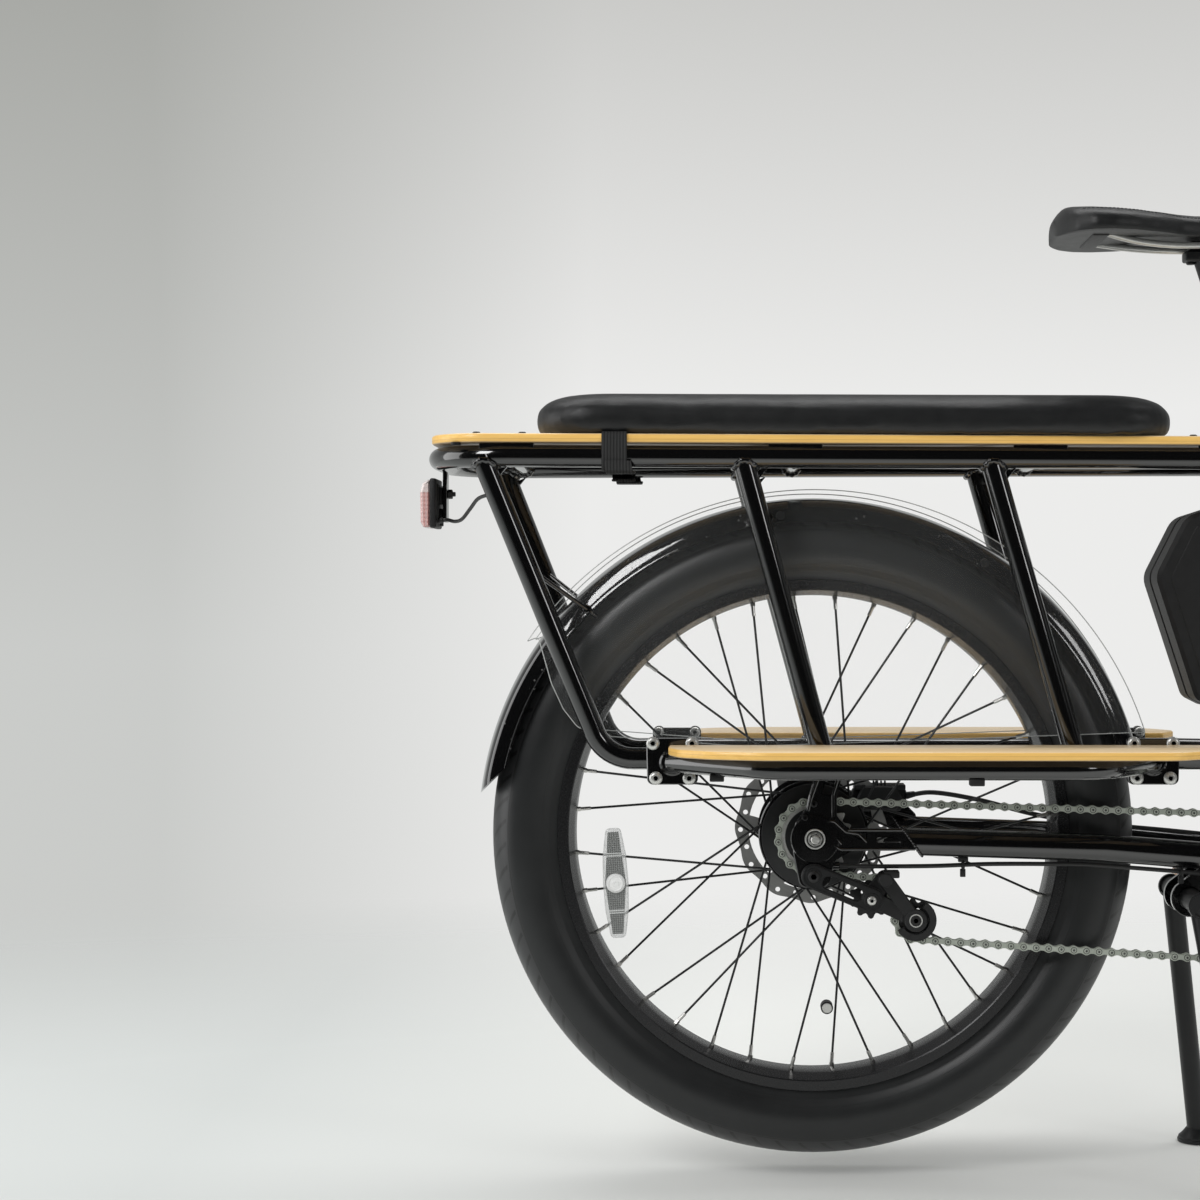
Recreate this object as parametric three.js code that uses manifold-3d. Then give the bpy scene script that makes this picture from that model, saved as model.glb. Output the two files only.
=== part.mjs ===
// Longtail cargo bike: a long rear deck with a cushion, side footboards, a chain drive with an
// internally geared rear hub, and a two-leg centre stand.
// Millimetres. +X points to the front wheel, +Y to the rider's left, +Z up.
// The origin is on the floor, under the crank spindle and half way along the bike.

import * as THREE from 'three';
import { mergeVertices } from 'three/addons/utils/BufferGeometryUtils.js';
import Module from 'manifold-3d';

const wasm = await Module();
wasm.setup();

const deg = THREE.MathUtils.degToRad;
const at = (x, y, z) => new THREE.Vector3(x, y, z);

// Layout of the whole bike
const wheelbase = 1311;
const axleToCrank = 620;
const rearAxleHeight = 351;
const crankHeight = 291;
const deckRailAboveAxle = 381;
const lowerRailAboveAxle = 81;
const deckRailHeight = rearAxleHeight + deckRailAboveAxle;
const lowerRailHeight = rearAxleHeight + lowerRailAboveAxle;
const headAngle = deg(69);
const seatAngle = deg(72);
const forkRake = 50;
const chainLine = 53;
const dropoutLine = 68.5;

// Clearances: between seated pieces, of a cutter past a face, and of vertices that are one
const seatGap = 0.3;
const cutOverrun = 6;
const weldDistance = 0.0001;

// Facets: large wheels, stout tubes, slim tubes and small round pieces
const wheelFacets = 30;
const stoutSides = 10;
const slimSides = 8;
const hubSides = 12;
const smallSides = 6;
const cableSides = 6;
const nutSides = 6;
const wireSteps = 12;
const frontHoseSteps = 28;
const rearHoseSteps = 46;
const shiftSteps = 45;
const drumSides = 24;
const grooveSides = 20;
const cornerSteps = 5;

// Wheels: 24 by 3.5 inch tyres on rims of 507 mm bead seat
const tyre = { radius: 329, halfWidth: 42, wall: 5, crownDepth: 38, beadWidth: 8 };
const tyreArch = { reach: deg(128), steps: 6 };
const rim = { seatRadius: 253.5, flange: 6.5, flangeWall: 3, depth: 9.5, halfWidth: 36, sideDepth: 4 };
const spoke = { count: 36, radius: 1.1, holeInset: 5, crossAngle: deg(40), rimOffset: 10, headOffset: 2.3 };
const rearSpokePhase = deg(4.7);
const axle = { radius: 5, nutRadius: 8.7, nutDepth: 7, washerRadius: 10, washerDepth: 2, tail: 4 };
const rearHub = { drum: 44, flange: 56, flangeWall: 3.5, right: 30, left: 33, rightEnd: 37, leftEnd: 40 };
const frontHub = { drum: 20, flange: 30, flangeWall: 3.5, right: 33, left: 26, rightEnd: 40, leftEnd: 34 };
const rotor = { radius: 80, wave: 1.6, thickness: 2, bore: 20, spider: 30, trackWidth: 15, line: 50 };
const rotorWaves = { count: 12, perWave: 2 };
const rotorWindow = { count: 6, outer: deg(42), innerFrom: deg(52), innerTo: deg(22) };

// Chain drive
const pitch = 12.7;
const roller = 3.9;
const sprocketTeeth = 18;
const chainringTeeth = 38;
const pulleyTeeth = 10;
const tooth = { tip: 2.4, thickness: 2.3 };
const pulleyTip = 0.9;
const chain = { height: 8.6, plate: 1.2, width: 7.5, web: 1.6 };
const chainStep = deg(28);
const armPivot = { ahead: -1.5, below: 37 };
const guide = { ahead: 56.5, below: 61 };
const cageReach = { ahead: 45, below: 21.7 };

// Frame tubes, by outer radius
const tubes = { head: 23, down: 24, top: 19, seat: 19, stay: 11.5, rack: 11 };
const headTube = { foot: 400, length: 165, lip: 3.5, lipDepth: 12 };
const seatTube = { foot: 66, length: 462, postInsert: 190, boreDepth: 310 };
const steererRadius = 14.3;
const postRadius = 15.8;
const motor = { rear: 58, nose: 46, noseAhead: 84, noseAbove: 26, halfWidth: 38, shell: 8 };
const dropout = { thickness: 7, eye: 25, reach: 92, depth: 40 };
const chainstay = { kneeLine: 60, kneeRise: 18, footLine: 30, bend: 120 };

// Rear rack
const deck = { rear: -1005, halfWidth: 110, frontHalfWidth: 60, bend: 70 };
const strutTops = [-941, -687.5, -445];
const strutRake = 0.2836;
const lowerRailLine = 80;
const strutBend = 60;
const board = { rear: -1004, front: -205, halfWidth: 120, thickness: 9, spacer: 2, corner: 55 };
const cushion = { rear: -903, length: 648, halfWidth: 112, height: 43, corner: 55, pull: 6 };
const strap = { station: -819, width: 25, thickness: 2.2 };
const footboard = { rear: -765, front: -238, inner: 109, outer: 220, thickness: 8.5, aboveRail: 15.3 };
const footTube = { radius: 10, line: 200, bend: 55, rung: 6, rungShares: [0.3, 0.7], rear: 93.5, front: 66 };
const bracket = { centre: -761.8, width: 51.5, height: 49, thickness: 5, sink: 1 };
const bracketBolt = { radius: 6.5, head: 3.5, topShare: 0.36, footShare: 0.3, upShare: 0.34 };
const bracketShares = { waist: 0.86, top: 0.9, front: 0.8 };

// Fenders and clear wheel guards
const fenderOverTyre = 15;
const fender = { radius: tyre.radius + fenderOverTyre, halfWidth: 48, skirt: 37, wall: 2 };
const guard = { beyondFender: 7, thickness: 2.5, foot: 105, rearAngle: deg(146), steps: 18 };
const guardRadius = fender.radius + guard.beyondFender;
const fenderStay = { radius: 3, front: 2.1, hold: 22 };
const stayReach = fender.radius - fenderStay.hold;

// Cranks, pedals and stand
const crank = { length: 170, line: 72.5, thickness: 13, hubRadius: 20, endRadius: 14, spindle: 12 };
const pedal = { length: 96, width: 98, height: 24, pin: 7, start: 90 };
const stand = { behind: 235, height: 285, footAhead: 40, spread: 140, shoulder: 72, tube: 11, foot: 22,
  sole: 17.6 };

// Steering
const fork = { crown: 372, crownHeight: 26, blade: 13, bladeEnd: 9.5, line: 69, tipLine: 62, knee: 167.4 };
const forkTab = { eyeAhead: 40, eyeUp: 38, rootAhead: 30, rootUp: 60.9 };
const stem = { start: 590, height: 42, radius: 20, neck: 16, reach: 55, rise: 90, clamp: 21 };
const bar = { radius: 11, clampRadius: 15.5, halfWidth: 345, rise: 55, sweep: 95, corner: 45,
  gripRun: 209.8 };
const barShares = { footLine: 0.209, kneeSweep: 0.12 };
const grip = { length: 120, radius: 16 };

const rearAxle = at(-axleToCrank, 0, rearAxleHeight);
const frontAxle = at(wheelbase - axleToCrank, 0, tyre.radius);
const crankAxis = at(0, 0, crankHeight);

// The steering axis leans back; the seat tube leans back from the crank spindle
const steerUp = at(-Math.cos(headAngle), 0, Math.sin(headAngle));
const steerAhead = at(Math.sin(headAngle), 0, Math.cos(headAngle));
const steerFoot = frontAxle.clone().addScaledVector(steerAhead, -forkRake);
const seatUp = at(-Math.cos(seatAngle), 0, Math.sin(seatAngle));
const seatBehind = at(-Math.sin(seatAngle), 0, -Math.cos(seatAngle));

function onSteer(ahead, side, up) {
  return steerFoot.clone().addScaledVector(steerUp, up).addScaledVector(steerAhead, ahead).setY(side);
}

function onSeat(behind, side, up) {
  return crankAxis.clone().addScaledVector(seatUp, up).addScaledVector(seatBehind, behind).setY(side);
}

// Booleans on closed geometries
function toSolid(geometry) {
  const bare = geometry.clone();
  bare.deleteAttribute('normal');
  bare.deleteAttribute('uv');
  const welded = mergeVertices(bare, weldDistance);
  const vertProperties = Float32Array.from(welded.attributes.position.array);
  const triVerts = Uint32Array.from(welded.index.array);
  const solid = new wasm.Manifold(new wasm.Mesh({ numProp: 3, vertProperties, triVerts }));
  if (solid.volume() > 0) return solid;
  const flipped = triVerts.slice().reverse();
  return new wasm.Manifold(new wasm.Mesh({ numProp: 3, vertProperties, triVerts: flipped }));
}

function toGeometry(solid) {
  const { vertProperties, triVerts } = solid.getMesh();
  const geometry = new THREE.BufferGeometry();
  geometry.setAttribute('position', new THREE.BufferAttribute(Float32Array.from(vertProperties), 3));
  geometry.setIndex(Array.from(triVerts));
  geometry.computeVertexNormals();
  return geometry;
}

function join(...pieces) {
  return toGeometry(pieces.map(toSolid).reduce((whole, piece) => whole.add(piece)));
}

function cut(body, ...cutters) {
  return toGeometry(cutters.map(toSolid).reduce((whole, cutter) => whole.subtract(cutter), toSolid(body)));
}

function common(body, other) {
  return toGeometry(toSolid(body).intersect(toSolid(other)));
}

function mirrored(geometry) {
  return toGeometry(toSolid(geometry.clone().scale(1, -1, 1)));
}

// A bore that a round piece turns in: its flats, not its corners, keep the clearance
const boreRadius = (radius, sides) => (radius + seatGap) / Math.cos(Math.PI / sides);

// A hole that a round piece is fixed in, with its flats along the piece's flats
const fitRadius = (radius, sides) => radius + seatGap / Math.cos(Math.PI / sides);

// A route of stations that a section is carried along, straight between bends
class Route extends THREE.Curve {
  constructor(stations, side = at(0, 1, 0)) {
    super();
    this.stations = stations;
    this.side = side;
  }

  getPoint(t) {
    const place = t * (this.stations.length - 1);
    const before = this.stations[Math.floor(place)];
    const after = this.stations[Math.ceil(place)];
    return before.point.clone().lerp(after.point, place - Math.floor(place));
  }

  getPointAt(t) {
    return this.getPoint(t);
  }

  computeFrenetFrames(count) {
    const tangents = this.stations.map((station) => station.tangent);
    const level = Math.abs(tangents[0].dot(this.side)) > Math.cos(deg(20)) ? at(1, 0, 0) : this.side;
    const normals = [];
    for (let i = 0; i <= count; i += 1) {
      const carried = (i ? normals[i - 1] : level).clone();
      normals.push(carried.addScaledVector(tangents[i], -carried.dot(tangents[i])).normalize());
    }
    const binormals = tangents.map((tangent, i) => tangent.clone().cross(normals[i]));
    return { tangents, normals, binormals };
  }
}

// Stations of a bent tube: straight runs through the points, with a bend of one radius at each
function bentStations(points, bend, bendStep) {
  const stations = [];
  const heading = (i) => points[i + 1].clone().sub(points[i]).normalize();
  stations.push({ point: points[0], tangent: heading(0) });
  for (let i = 1; i < points.length - 1; i += 1) {
    const before = heading(i - 1);
    const after = heading(i);
    const angle = before.angleTo(after);
    const inward = after.clone().addScaledVector(before, -Math.cos(angle)).normalize();
    const start = points[i].clone().addScaledVector(before, -bend * Math.tan(angle / 2));
    const steps = Math.max(1, Math.ceil(angle / bendStep));
    for (let j = 0; j <= steps; j += 1) {
      const turn = (angle * j) / steps;
      const point = start.clone().addScaledVector(before, bend * Math.sin(turn));
      point.addScaledVector(inward, bend * (1 - Math.cos(turn)));
      const tangent = before.clone().multiplyScalar(Math.cos(turn)).addScaledVector(inward, Math.sin(turn));
      stations.push({ point, tangent });
    }
  }
  stations.push({ point: points[points.length - 1], tangent: heading(points.length - 2) });
  return stations;
}

function polygon(radius, sides) {
  const corner = (i) => (2 * Math.PI * (i + 0.5)) / sides;
  const corners = Array.from({ length: sides }, (_, i) => i);
  return corners.map((i) => [radius * Math.cos(corner(i)), radius * Math.sin(corner(i))]);
}

function shapeOf(outline, holes = []) {
  const points = outline.map(([x, y]) => new THREE.Vector2(x, y));
  if (THREE.ShapeUtils.isClockWise(points)) points.reverse();
  const shape = new THREE.Shape(points);
  for (const hole of holes) shape.holes.push(new THREE.Path(hole.map(([x, y]) => new THREE.Vector2(x, y))));
  return shape;
}

function swept(section, stations, side) {
  const extrudePath = new Route(stations, side);
  return new THREE.ExtrudeGeometry(shapeOf(section), { steps: stations.length - 1, extrudePath });
}

const bendStep = deg(30);

function pipe(points, radius, bend, sides) {
  return swept(polygon(radius, sides), bentStations(points, bend, bendStep));
}

// A straight round bar or cone between two points
function rod(start, end, radius, sides, endRadius = radius) {
  const run = end.clone().sub(start);
  const bar = new THREE.CylinderGeometry(endRadius, radius, run.length(), sides);
  const turn = new THREE.Quaternion().setFromUnitVectors(at(0, 1, 0), run.clone().normalize());
  const middle = start.clone().add(end).divideScalar(2);
  return bar.applyQuaternion(turn).translate(middle.x, middle.y, middle.z);
}

// A round bar across the bike, between two places on Y
function crossBar(centre, from, to, radius, sides) {
  return rod(centre.clone().setY(from), centre.clone().setY(to), radius, sides);
}

// A flat plate standing along the bike: an outline in X and Z, centred on Y
function plate(outline, thickness, centre, holes = []) {
  const flat = new THREE.ExtrudeGeometry(shapeOf(outline, holes), { depth: thickness, bevelEnabled: false });
  return flat.rotateX(Math.PI / 2).translate(0, centre + thickness / 2, 0);
}

// A flat board: an outline in X and Y, from a height up
function slab(outline, thickness, bottom, holes = []) {
  const flat = new THREE.ExtrudeGeometry(shapeOf(outline, holes), { depth: thickness, bevelEnabled: false });
  return flat.translate(0, 0, bottom);
}

function block(low, high) {
  const size = high.clone().sub(low);
  const middle = low.clone().add(high).divideScalar(2);
  return new THREE.BoxGeometry(size.x, size.y, size.z).translate(middle.x, middle.y, middle.z);
}

// A piece turned about the Y axis from a profile of [radius, place along Y]
function turned(profile, sides) {
  return new THREE.LatheGeometry(profile.map(([radius, y]) => new THREE.Vector2(radius, y)), sides);
}

// A large turned ring whose flats, not its corners, lie at the stated radii
function ring(profile, phase = 0) {
  const grown = 1 / Math.cos(Math.PI / wheelFacets);
  const closed = [...profile, profile[0]];
  return turned(closed.map(([radius, y]) => [radius * grown, y]), wheelFacets)
    .rotateY(Math.PI / wheelFacets - phase);
}

// Points on an arc in the plane of the wheels, angles up from +X
function arc(centre, radius, from, to, steps) {
  const turn = (i) => from + ((to - from) * i) / steps;
  const marks = Array.from({ length: steps + 1 }, (_, i) => i);
  return marks.map((i) => [centre.x + radius * Math.cos(turn(i)), centre.z + radius * Math.sin(turn(i))]);
}

// Finishes
const finish = (color, roughness, metalness) =>
  new THREE.MeshStandardMaterial({ color, roughness, metalness });
const glossBlack = finish(0x0b0b0c, 0.18, 0.1);
const satinBlack = finish(0x161718, 0.45, 0.2);
const blackPlastic = finish(0x1b1c1e, 0.5, 0);
const tyreRubber = finish(0x1d1e20, 0.72, 0);
const bamboo = finish(0xd9a650, 0.42, 0);
const leatherette = finish(0x26282a, 0.55, 0);
const webbing = finish(0x141414, 0.85, 0);
const brightSteel = finish(0xb9b9b6, 0.3, 0.9);
const zincChain = finish(0xb4b4ae, 0.38, 0.8);
const clearPlastic = new THREE.MeshStandardMaterial(
  { color: 0xf2f6f6, roughness: 0.08, metalness: 0, transparent: true, opacity: 0.25 });
const lensPlastic = finish(0xd8453e, 0.12, 0);

const bike = new THREE.Group();

function add(parent, name, geometry, material) {
  const mesh = new THREE.Mesh(geometry, material);
  mesh.name = name;
  parent.add(mesh);
}

// Wheels
function tyreRing(phase) {
  const middle = tyre.radius - tyre.crownDepth;
  const arch = (turn, steps) => Array.from({ length: steps + 1 }, (_, i) => {
    const angle = turn * ((2 * i) / steps - 1);
    return [middle + tyre.crownDepth * Math.cos(angle), tyre.halfWidth * Math.sin(angle)];
  });
  const beadFoot = rim.seatRadius + seatGap;
  const beadFace = rim.halfWidth - rim.flangeWall - seatGap;
  const outer = arch(tyreArch.reach, tyreArch.steps);
  const beadHeel = beadFace - tyre.beadWidth;
  return ring([[beadFoot, -beadFace], ...outer, [beadFoot, beadFace], [beadFoot, beadHeel],
    [tyre.radius - tyre.wall, 0], [beadFoot, -beadHeel]], phase);
}

function rimRing(phase) {
  const inner = rim.seatRadius - rim.depth;
  const shoulder = rim.seatRadius - rim.sideDepth;
  const edge = rim.halfWidth - rim.flangeWall;
  const top = rim.seatRadius + rim.flange;
  return ring([[inner, -rim.halfWidth / 2], [shoulder, -rim.halfWidth], [top, -rim.halfWidth],
    [rim.seatRadius, -edge], [rim.seatRadius, edge], [top, rim.halfWidth], [shoulder, rim.halfWidth],
    [inner, rim.halfWidth / 2]], phase);
}

// Each spoke leans forward or back by the crossing angle, in pairs on the two flanges
function spokes(hub, phase) {
  const rods = [];
  for (let k = 0; k < spoke.count; k += 1) {
    const side = k % 2 ? 1 : -1;
    const lean = k % 4 > 1 ? 1 : -1;
    const rimAngle = phase + (2 * Math.PI * k) / spoke.count;
    const hubAngle = rimAngle + lean * spoke.crossAngle;
    const line = side > 0 ? hub.left : -hub.right;
    const hole = hub.flange - spoke.holeInset;
    const nipple = rim.seatRadius - rim.depth - seatGap;
    const start = at(hole * Math.cos(hubAngle), line + lean * spoke.headOffset, hole * Math.sin(hubAngle));
    const end = at(nipple * Math.cos(rimAngle), side * spoke.rimOffset, nipple * Math.sin(rimAngle));
    rods.push(pipe([start, end], spoke.radius, 0, 3));
  }
  return rods;
}

const axleBore = boreRadius(axle.radius, slimSides);

function hubShell(hub) {
  const half = hub.flangeWall / 2;
  const neck = hub.drum + hub.flangeWall / 2;
  const journal = rotor.bore - seatGap;
  const rotorSeat = rotor.line - rotor.thickness / 2 - seatGap;
  const boss = (rotor.bore + rotor.spider) / 2;
  return turned([[axleBore, -hub.rightEnd], [journal, -hub.rightEnd], [hub.drum, -hub.right - hub.flangeWall],
    [hub.flange, -hub.right - half], [hub.flange, -hub.right + half], [neck, -hub.right + hub.flangeWall],
    [neck, hub.left - hub.flangeWall], [hub.flange, hub.left - half], [hub.flange, hub.left + half],
    [hub.drum, hub.left + hub.flangeWall], [boss, hub.leftEnd], [boss, rotorSeat], [journal, rotorSeat],
    [journal, rotor.line + rotor.thickness], [axleBore, rotor.line + rotor.thickness],
    [axleBore, -hub.rightEnd]], hubSides);
}

function wavedDisc() {
  const corners = rotorWaves.count * rotorWaves.perWave;
  const outline = Array.from({ length: corners }, (_, i) => {
    const angle = (2 * Math.PI * i) / corners;
    const radius = rotor.radius - (i % rotorWaves.perWave === 0 ? 2 * rotor.wave : 0);
    return [radius * Math.cos(angle), radius * Math.sin(angle)];
  });
  const inner = rotor.radius - rotor.trackWidth;
  const { count, outer, innerFrom, innerTo } = rotorWindow;
  const windows = Array.from({ length: count }, (_, i) => {
    const start = (2 * Math.PI * i) / count;
    const origin = at(0, 0, 0);
    return [...arc(origin, inner, start, start + outer, 2),
      ...arc(origin, rotor.spider, start + innerFrom, start + innerTo, 1)];
  });
  const bore = polygon(boreRadius(rotor.bore - seatGap, hubSides), hubSides);
  return plate(outline, rotor.thickness, rotor.line, [bore, ...windows]);
}

function wheel(name, centre, hub, phase) {
  const group = new THREE.Group();
  group.position.copy(centre);
  add(group, `${name}_tyre`, tyreRing(phase), tyreRubber);
  add(group, `${name}_rim`, rimRing(phase), satinBlack);
  add(group, `${name}_hub`, join(hubShell(hub), ...spokes(hub, phase)), satinBlack);
  add(group, `${name}_brake_rotor`, wavedDisc(), brightSteel);
  return group;
}

function axleWithNuts(reach) {
  const washer = reach + seatGap;
  const nut = washer + axle.washerDepth;
  const end = nut + axle.nutDepth;
  const parts = [crossBar(at(0, 0, 0), -end - axle.tail, end + axle.tail, axle.radius, slimSides)];
  for (const side of [-1, 1]) {
    parts.push(crossBar(at(0, 0, 0), side * washer, side * nut, axle.washerRadius, slimSides));
    parts.push(crossBar(at(0, 0, 0), side * nut, side * end, axle.nutRadius, nutSides));
  }
  return join(...parts);
}

// A clear reflector held between spokes by a round clip. The crossed spokes turn it a little from
// square to the wheel's radius
const reflector = { reach: 208, width: 25, length: 112, thickness: 6, line: 19.2, clip: 10,
  angle: deg(194), lean: deg(11), tipShare: 0.62, waistShare: 0.8 };

function spokeReflector() {
  const half = reflector.length / 2;
  const edge = reflector.width / 2;
  const tip = edge * reflector.tipShare;
  const waist = half * reflector.waistShare;
  const outline = [[-tip, -half], [tip, -half], [edge, -waist], [edge, waist], [tip, half], [-tip, half],
    [-edge, waist], [-edge, -waist]];
  const body = plate(outline, reflector.thickness, -reflector.line);
  const clip = crossBar(at(0, 0, 0), -reflector.line - reflector.thickness, -reflector.line,
    reflector.clip, slimSides);
  return join(body, clip).rotateY(reflector.lean).translate(reflector.reach, 0, 0)
    .rotateY(-reflector.angle);
}

// Toothed wheels. The outline has a roller seat at each pitch, with a tip between seats
const pitchRadius = (teeth) => pitch / (2 * Math.sin(Math.PI / teeth));

function toothOutline(teeth, phase, tip) {
  const seat = pitchRadius(teeth) - roller;
  const top = pitchRadius(teeth) + tip;
  const halfStep = Math.PI / teeth;
  return Array.from({ length: 2 * teeth }, (_, i) => {
    const radius = i % 2 ? top : seat;
    const angle = phase + halfStep * i;
    return [radius * Math.cos(angle), radius * Math.sin(angle)];
  });
}

// The chain's path: circles with the way it turns on each, in the order that it meets them.
// It runs back along the top, round the sprocket, over the guide pulley, under the lower pulley.
const guideCentre = at(rearAxle.x + guide.ahead, 0, rearAxle.z - guide.below);
const lowerCentre = guideCentre.clone().add(at(cageReach.ahead, 0, -cageReach.below));
const loop = [
  { centre: rearAxle, teeth: sprocketTeeth, turn: 1, tip: tooth.tip },
  { centre: guideCentre, teeth: pulleyTeeth, turn: -1, tip: pulleyTip },
  { centre: lowerCentre, teeth: pulleyTeeth, turn: 1, tip: pulleyTip },
  { centre: crankAxis, teeth: chainringTeeth, turn: 1, tip: tooth.tip },
];

function headingBetween(one, two) {
  const run = two.centre.clone().sub(one.centre);
  const spread = two.turn * pitchRadius(two.teeth) - one.turn * pitchRadius(one.teeth);
  return Math.atan2(run.z, run.x) + Math.acos(spread / run.length()) - Math.PI / 2;
}

// Where the chain meets and leaves each circle, as angles, and its length so far in pitches
let travelled = 0;
for (const [i, circle] of loop.entries()) {
  const last = loop[(i + loop.length - 1) % loop.length];
  const next = loop[(i + 1) % loop.length];
  const quarter = circle.turn * (Math.PI / 2);
  const full = 2 * Math.PI;
  circle.enter = headingBetween(last, circle) - quarter;
  const leave = headingBetween(circle, next) - quarter;
  const wrap = ((((leave - circle.enter) * circle.turn) % full) + full) % full;
  circle.leave = circle.enter + circle.turn * wrap;
  const step = full / circle.teeth;
  circle.phase = circle.enter + circle.turn * step * (Math.ceil(travelled) - travelled);
  const radius = pitchRadius(circle.teeth);
  const nextRadius = pitchRadius(next.teeth);
  const gapRun = next.centre.distanceTo(circle.centre);
  const spread = next.turn * nextRadius - circle.turn * radius;
  travelled += wrap / step + Math.sqrt(gapRun * gapRun - spread * spread) / pitch;
}
const chainPitches = travelled;

// The chain as an outline moved off its path, towards the inside of the loop
function chainOutline(inward) {
  const points = [];
  for (const { centre, teeth, turn, enter, leave } of loop) {
    const radius = pitchRadius(teeth) - turn * inward;
    const steps = Math.max(3, Math.ceil(Math.abs(leave - enter) / chainStep));
    points.push(...arc(centre, radius, enter, leave, steps));
  }
  return points;
}

function chainBand() {
  const half = chain.height / 2;
  const web = chain.web / 2;
  const band = (reach, width, line) => plate(chainOutline(-reach), width, line, [chainOutline(reach)]);
  const side = (chain.width - chain.plate) / 2;
  const plates = [-side, side].map((shift) => band(half, chain.plate, -chainLine + shift));
  const room = tooth.thickness / 2 + seatGap;
  const flatRadius = (circle) => pitchRadius(circle.teeth) + circle.tip + 2 * seatGap;
  const grooves = loop.map((circle) => crossBar(circle.centre, -chainLine - room, -chainLine + room,
    flatRadius(circle) / Math.cos(Math.PI / grooveSides), grooveSides));
  return cut(join(...plates, band(web, chain.width - chain.plate, -chainLine)), ...grooves);
}

function sprocket() {
  const disc = plate(toothOutline(sprocketTeeth, loop[0].phase, tooth.tip), tooth.thickness, -chainLine);
  const sleeveRadius = rotor.bore - axle.radius / 2;
  const sleeve = crossBar(at(0, 0, 0), -rearHub.rightEnd - seatGap, -chainLine, sleeveRadius, drumSides);
  const bore = crossBar(at(0, 0, 0), -chainLine - cutOverrun, cutOverrun, axleBore, slimSides);
  return cut(join(disc, sleeve), bore);
}

const pulleyPin = 4;

function pulley(circle) {
  const disc = plate(toothOutline(pulleyTeeth, circle.phase, pulleyTip), tooth.thickness, -chainLine);
  const bore = crossBar(at(0, 0, 0), -chainLine - cutOverrun, -chainLine + cutOverrun,
    boreRadius(pulleyPin, smallSides), smallSides);
  return cut(disc, bore);
}

// The tensioner: a fixed slotted arm from the dropout, and a sprung cage that carries two pulleys
const tensioner = { arm: 6, armHalf: 12.5, cage: 4, cageHalf: 11, guard: 21, knob: 8, head: 6, headDepth: 4 };
const armSlotShares = [0.34, 0.68];
const armLine = dropoutLine + dropout.thickness / 2 + seatGap + tensioner.arm / 2;
const cageLine = chainLine + chain.width / 2 + 2 * seatGap + tensioner.cage / 2;
const armPivotPoint = at(rearAxle.x + armPivot.ahead, 0, rearAxle.z - armPivot.below);

// A flat link with round ends, from one centre to another
function link(from, to, fromRadius, toRadius) {
  const aim = Math.atan2(to.z - from.z, to.x - from.x);
  return [...arc(from, fromRadius, aim + Math.PI / 2, aim + 1.5 * Math.PI, 5),
    ...arc(to, toRadius, aim - Math.PI / 2, aim + Math.PI / 2, 5)];
}

function tensionerArm() {
  const outer = link(armPivotPoint, guideCentre, tensioner.armHalf, tensioner.armHalf);
  const [first, second] = armSlotShares.map((share) => armPivotPoint.clone().lerp(guideCentre, share));
  const slot = link(first, second, tensioner.armHalf / 3, tensioner.armHalf / 3);
  const strip = plate(outer, tensioner.arm, -armLine, [slot]);
  const face = armLine + tensioner.arm / 2;
  const bolt = crossBar(armPivotPoint, -dropoutLine + dropout.thickness, -face - tensioner.headDepth,
    tensioner.head, slimSides);
  const inner = cageLine - tensioner.cage / 2 - seatGap;
  const pin = crossBar(guideCentre, -inner + tooth.thickness + chain.width, -face - tensioner.headDepth,
    pulleyPin, smallSides);
  return join(strip, bolt, pin);
}

function tensionerCage() {
  const strip = plate(link(guideCentre, lowerCentre, tensioner.armHalf, tensioner.guard), tensioner.cage,
    -cageLine);
  const knobCentre = guideCentre.clone().add(at(cageReach.ahead / 2, 0, tensioner.knob * 2));
  const arm = plate(link(guideCentre, knobCentre, tensioner.knob, tensioner.knob), tensioner.cage, -cageLine);
  const knob = crossBar(knobCentre, -cageLine, -armLine, tensioner.knob, slimSides);
  const pin = crossBar(lowerCentre, -cageLine - tensioner.headDepth, -chainLine + chain.width / 2,
    pulleyPin, smallSides);
  const bore = crossBar(guideCentre, -cageLine - cutOverrun, -cageLine + cutOverrun,
    boreRadius(pulleyPin, smallSides), smallSides);
  return cut(join(strip, arm, knob, pin), bore);
}

// Cranks. The right arm carries the spindle and the chainring; each arm carries its pedal pin
function crankArm(side, reach) {
  const end = at(reach, 0, 0);
  const arm = plate(link(at(0, 0, 0), end, crank.hubRadius, crank.endRadius), crank.thickness,
    side * crank.line);
  const pin = crossBar(end, side * crank.line, side * (pedal.start + pedal.width - cutOverrun),
    pedal.pin, slimSides);
  return join(arm, pin);
}

function rightCrank() {
  const spindle = crossBar(at(0, 0, 0), -crank.line, crank.line + crank.thickness / 2, crank.spindle,
    slimSides);
  return join(crankArm(-1, crank.length), spindle);
}

function leftCrank() {
  const bore = crossBar(at(0, 0, 0), crank.line - crank.thickness, crank.line + crank.thickness,
    fitRadius(crank.spindle, slimSides), slimSides);
  return cut(crankArm(1, -crank.length), bore);
}

const ringSpider = { rim: 62, arm: 26 };
const ringWindow = { count: 5, outerFrom: deg(9), outerTo: deg(63), innerFrom: deg(50), innerTo: deg(22) };

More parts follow.
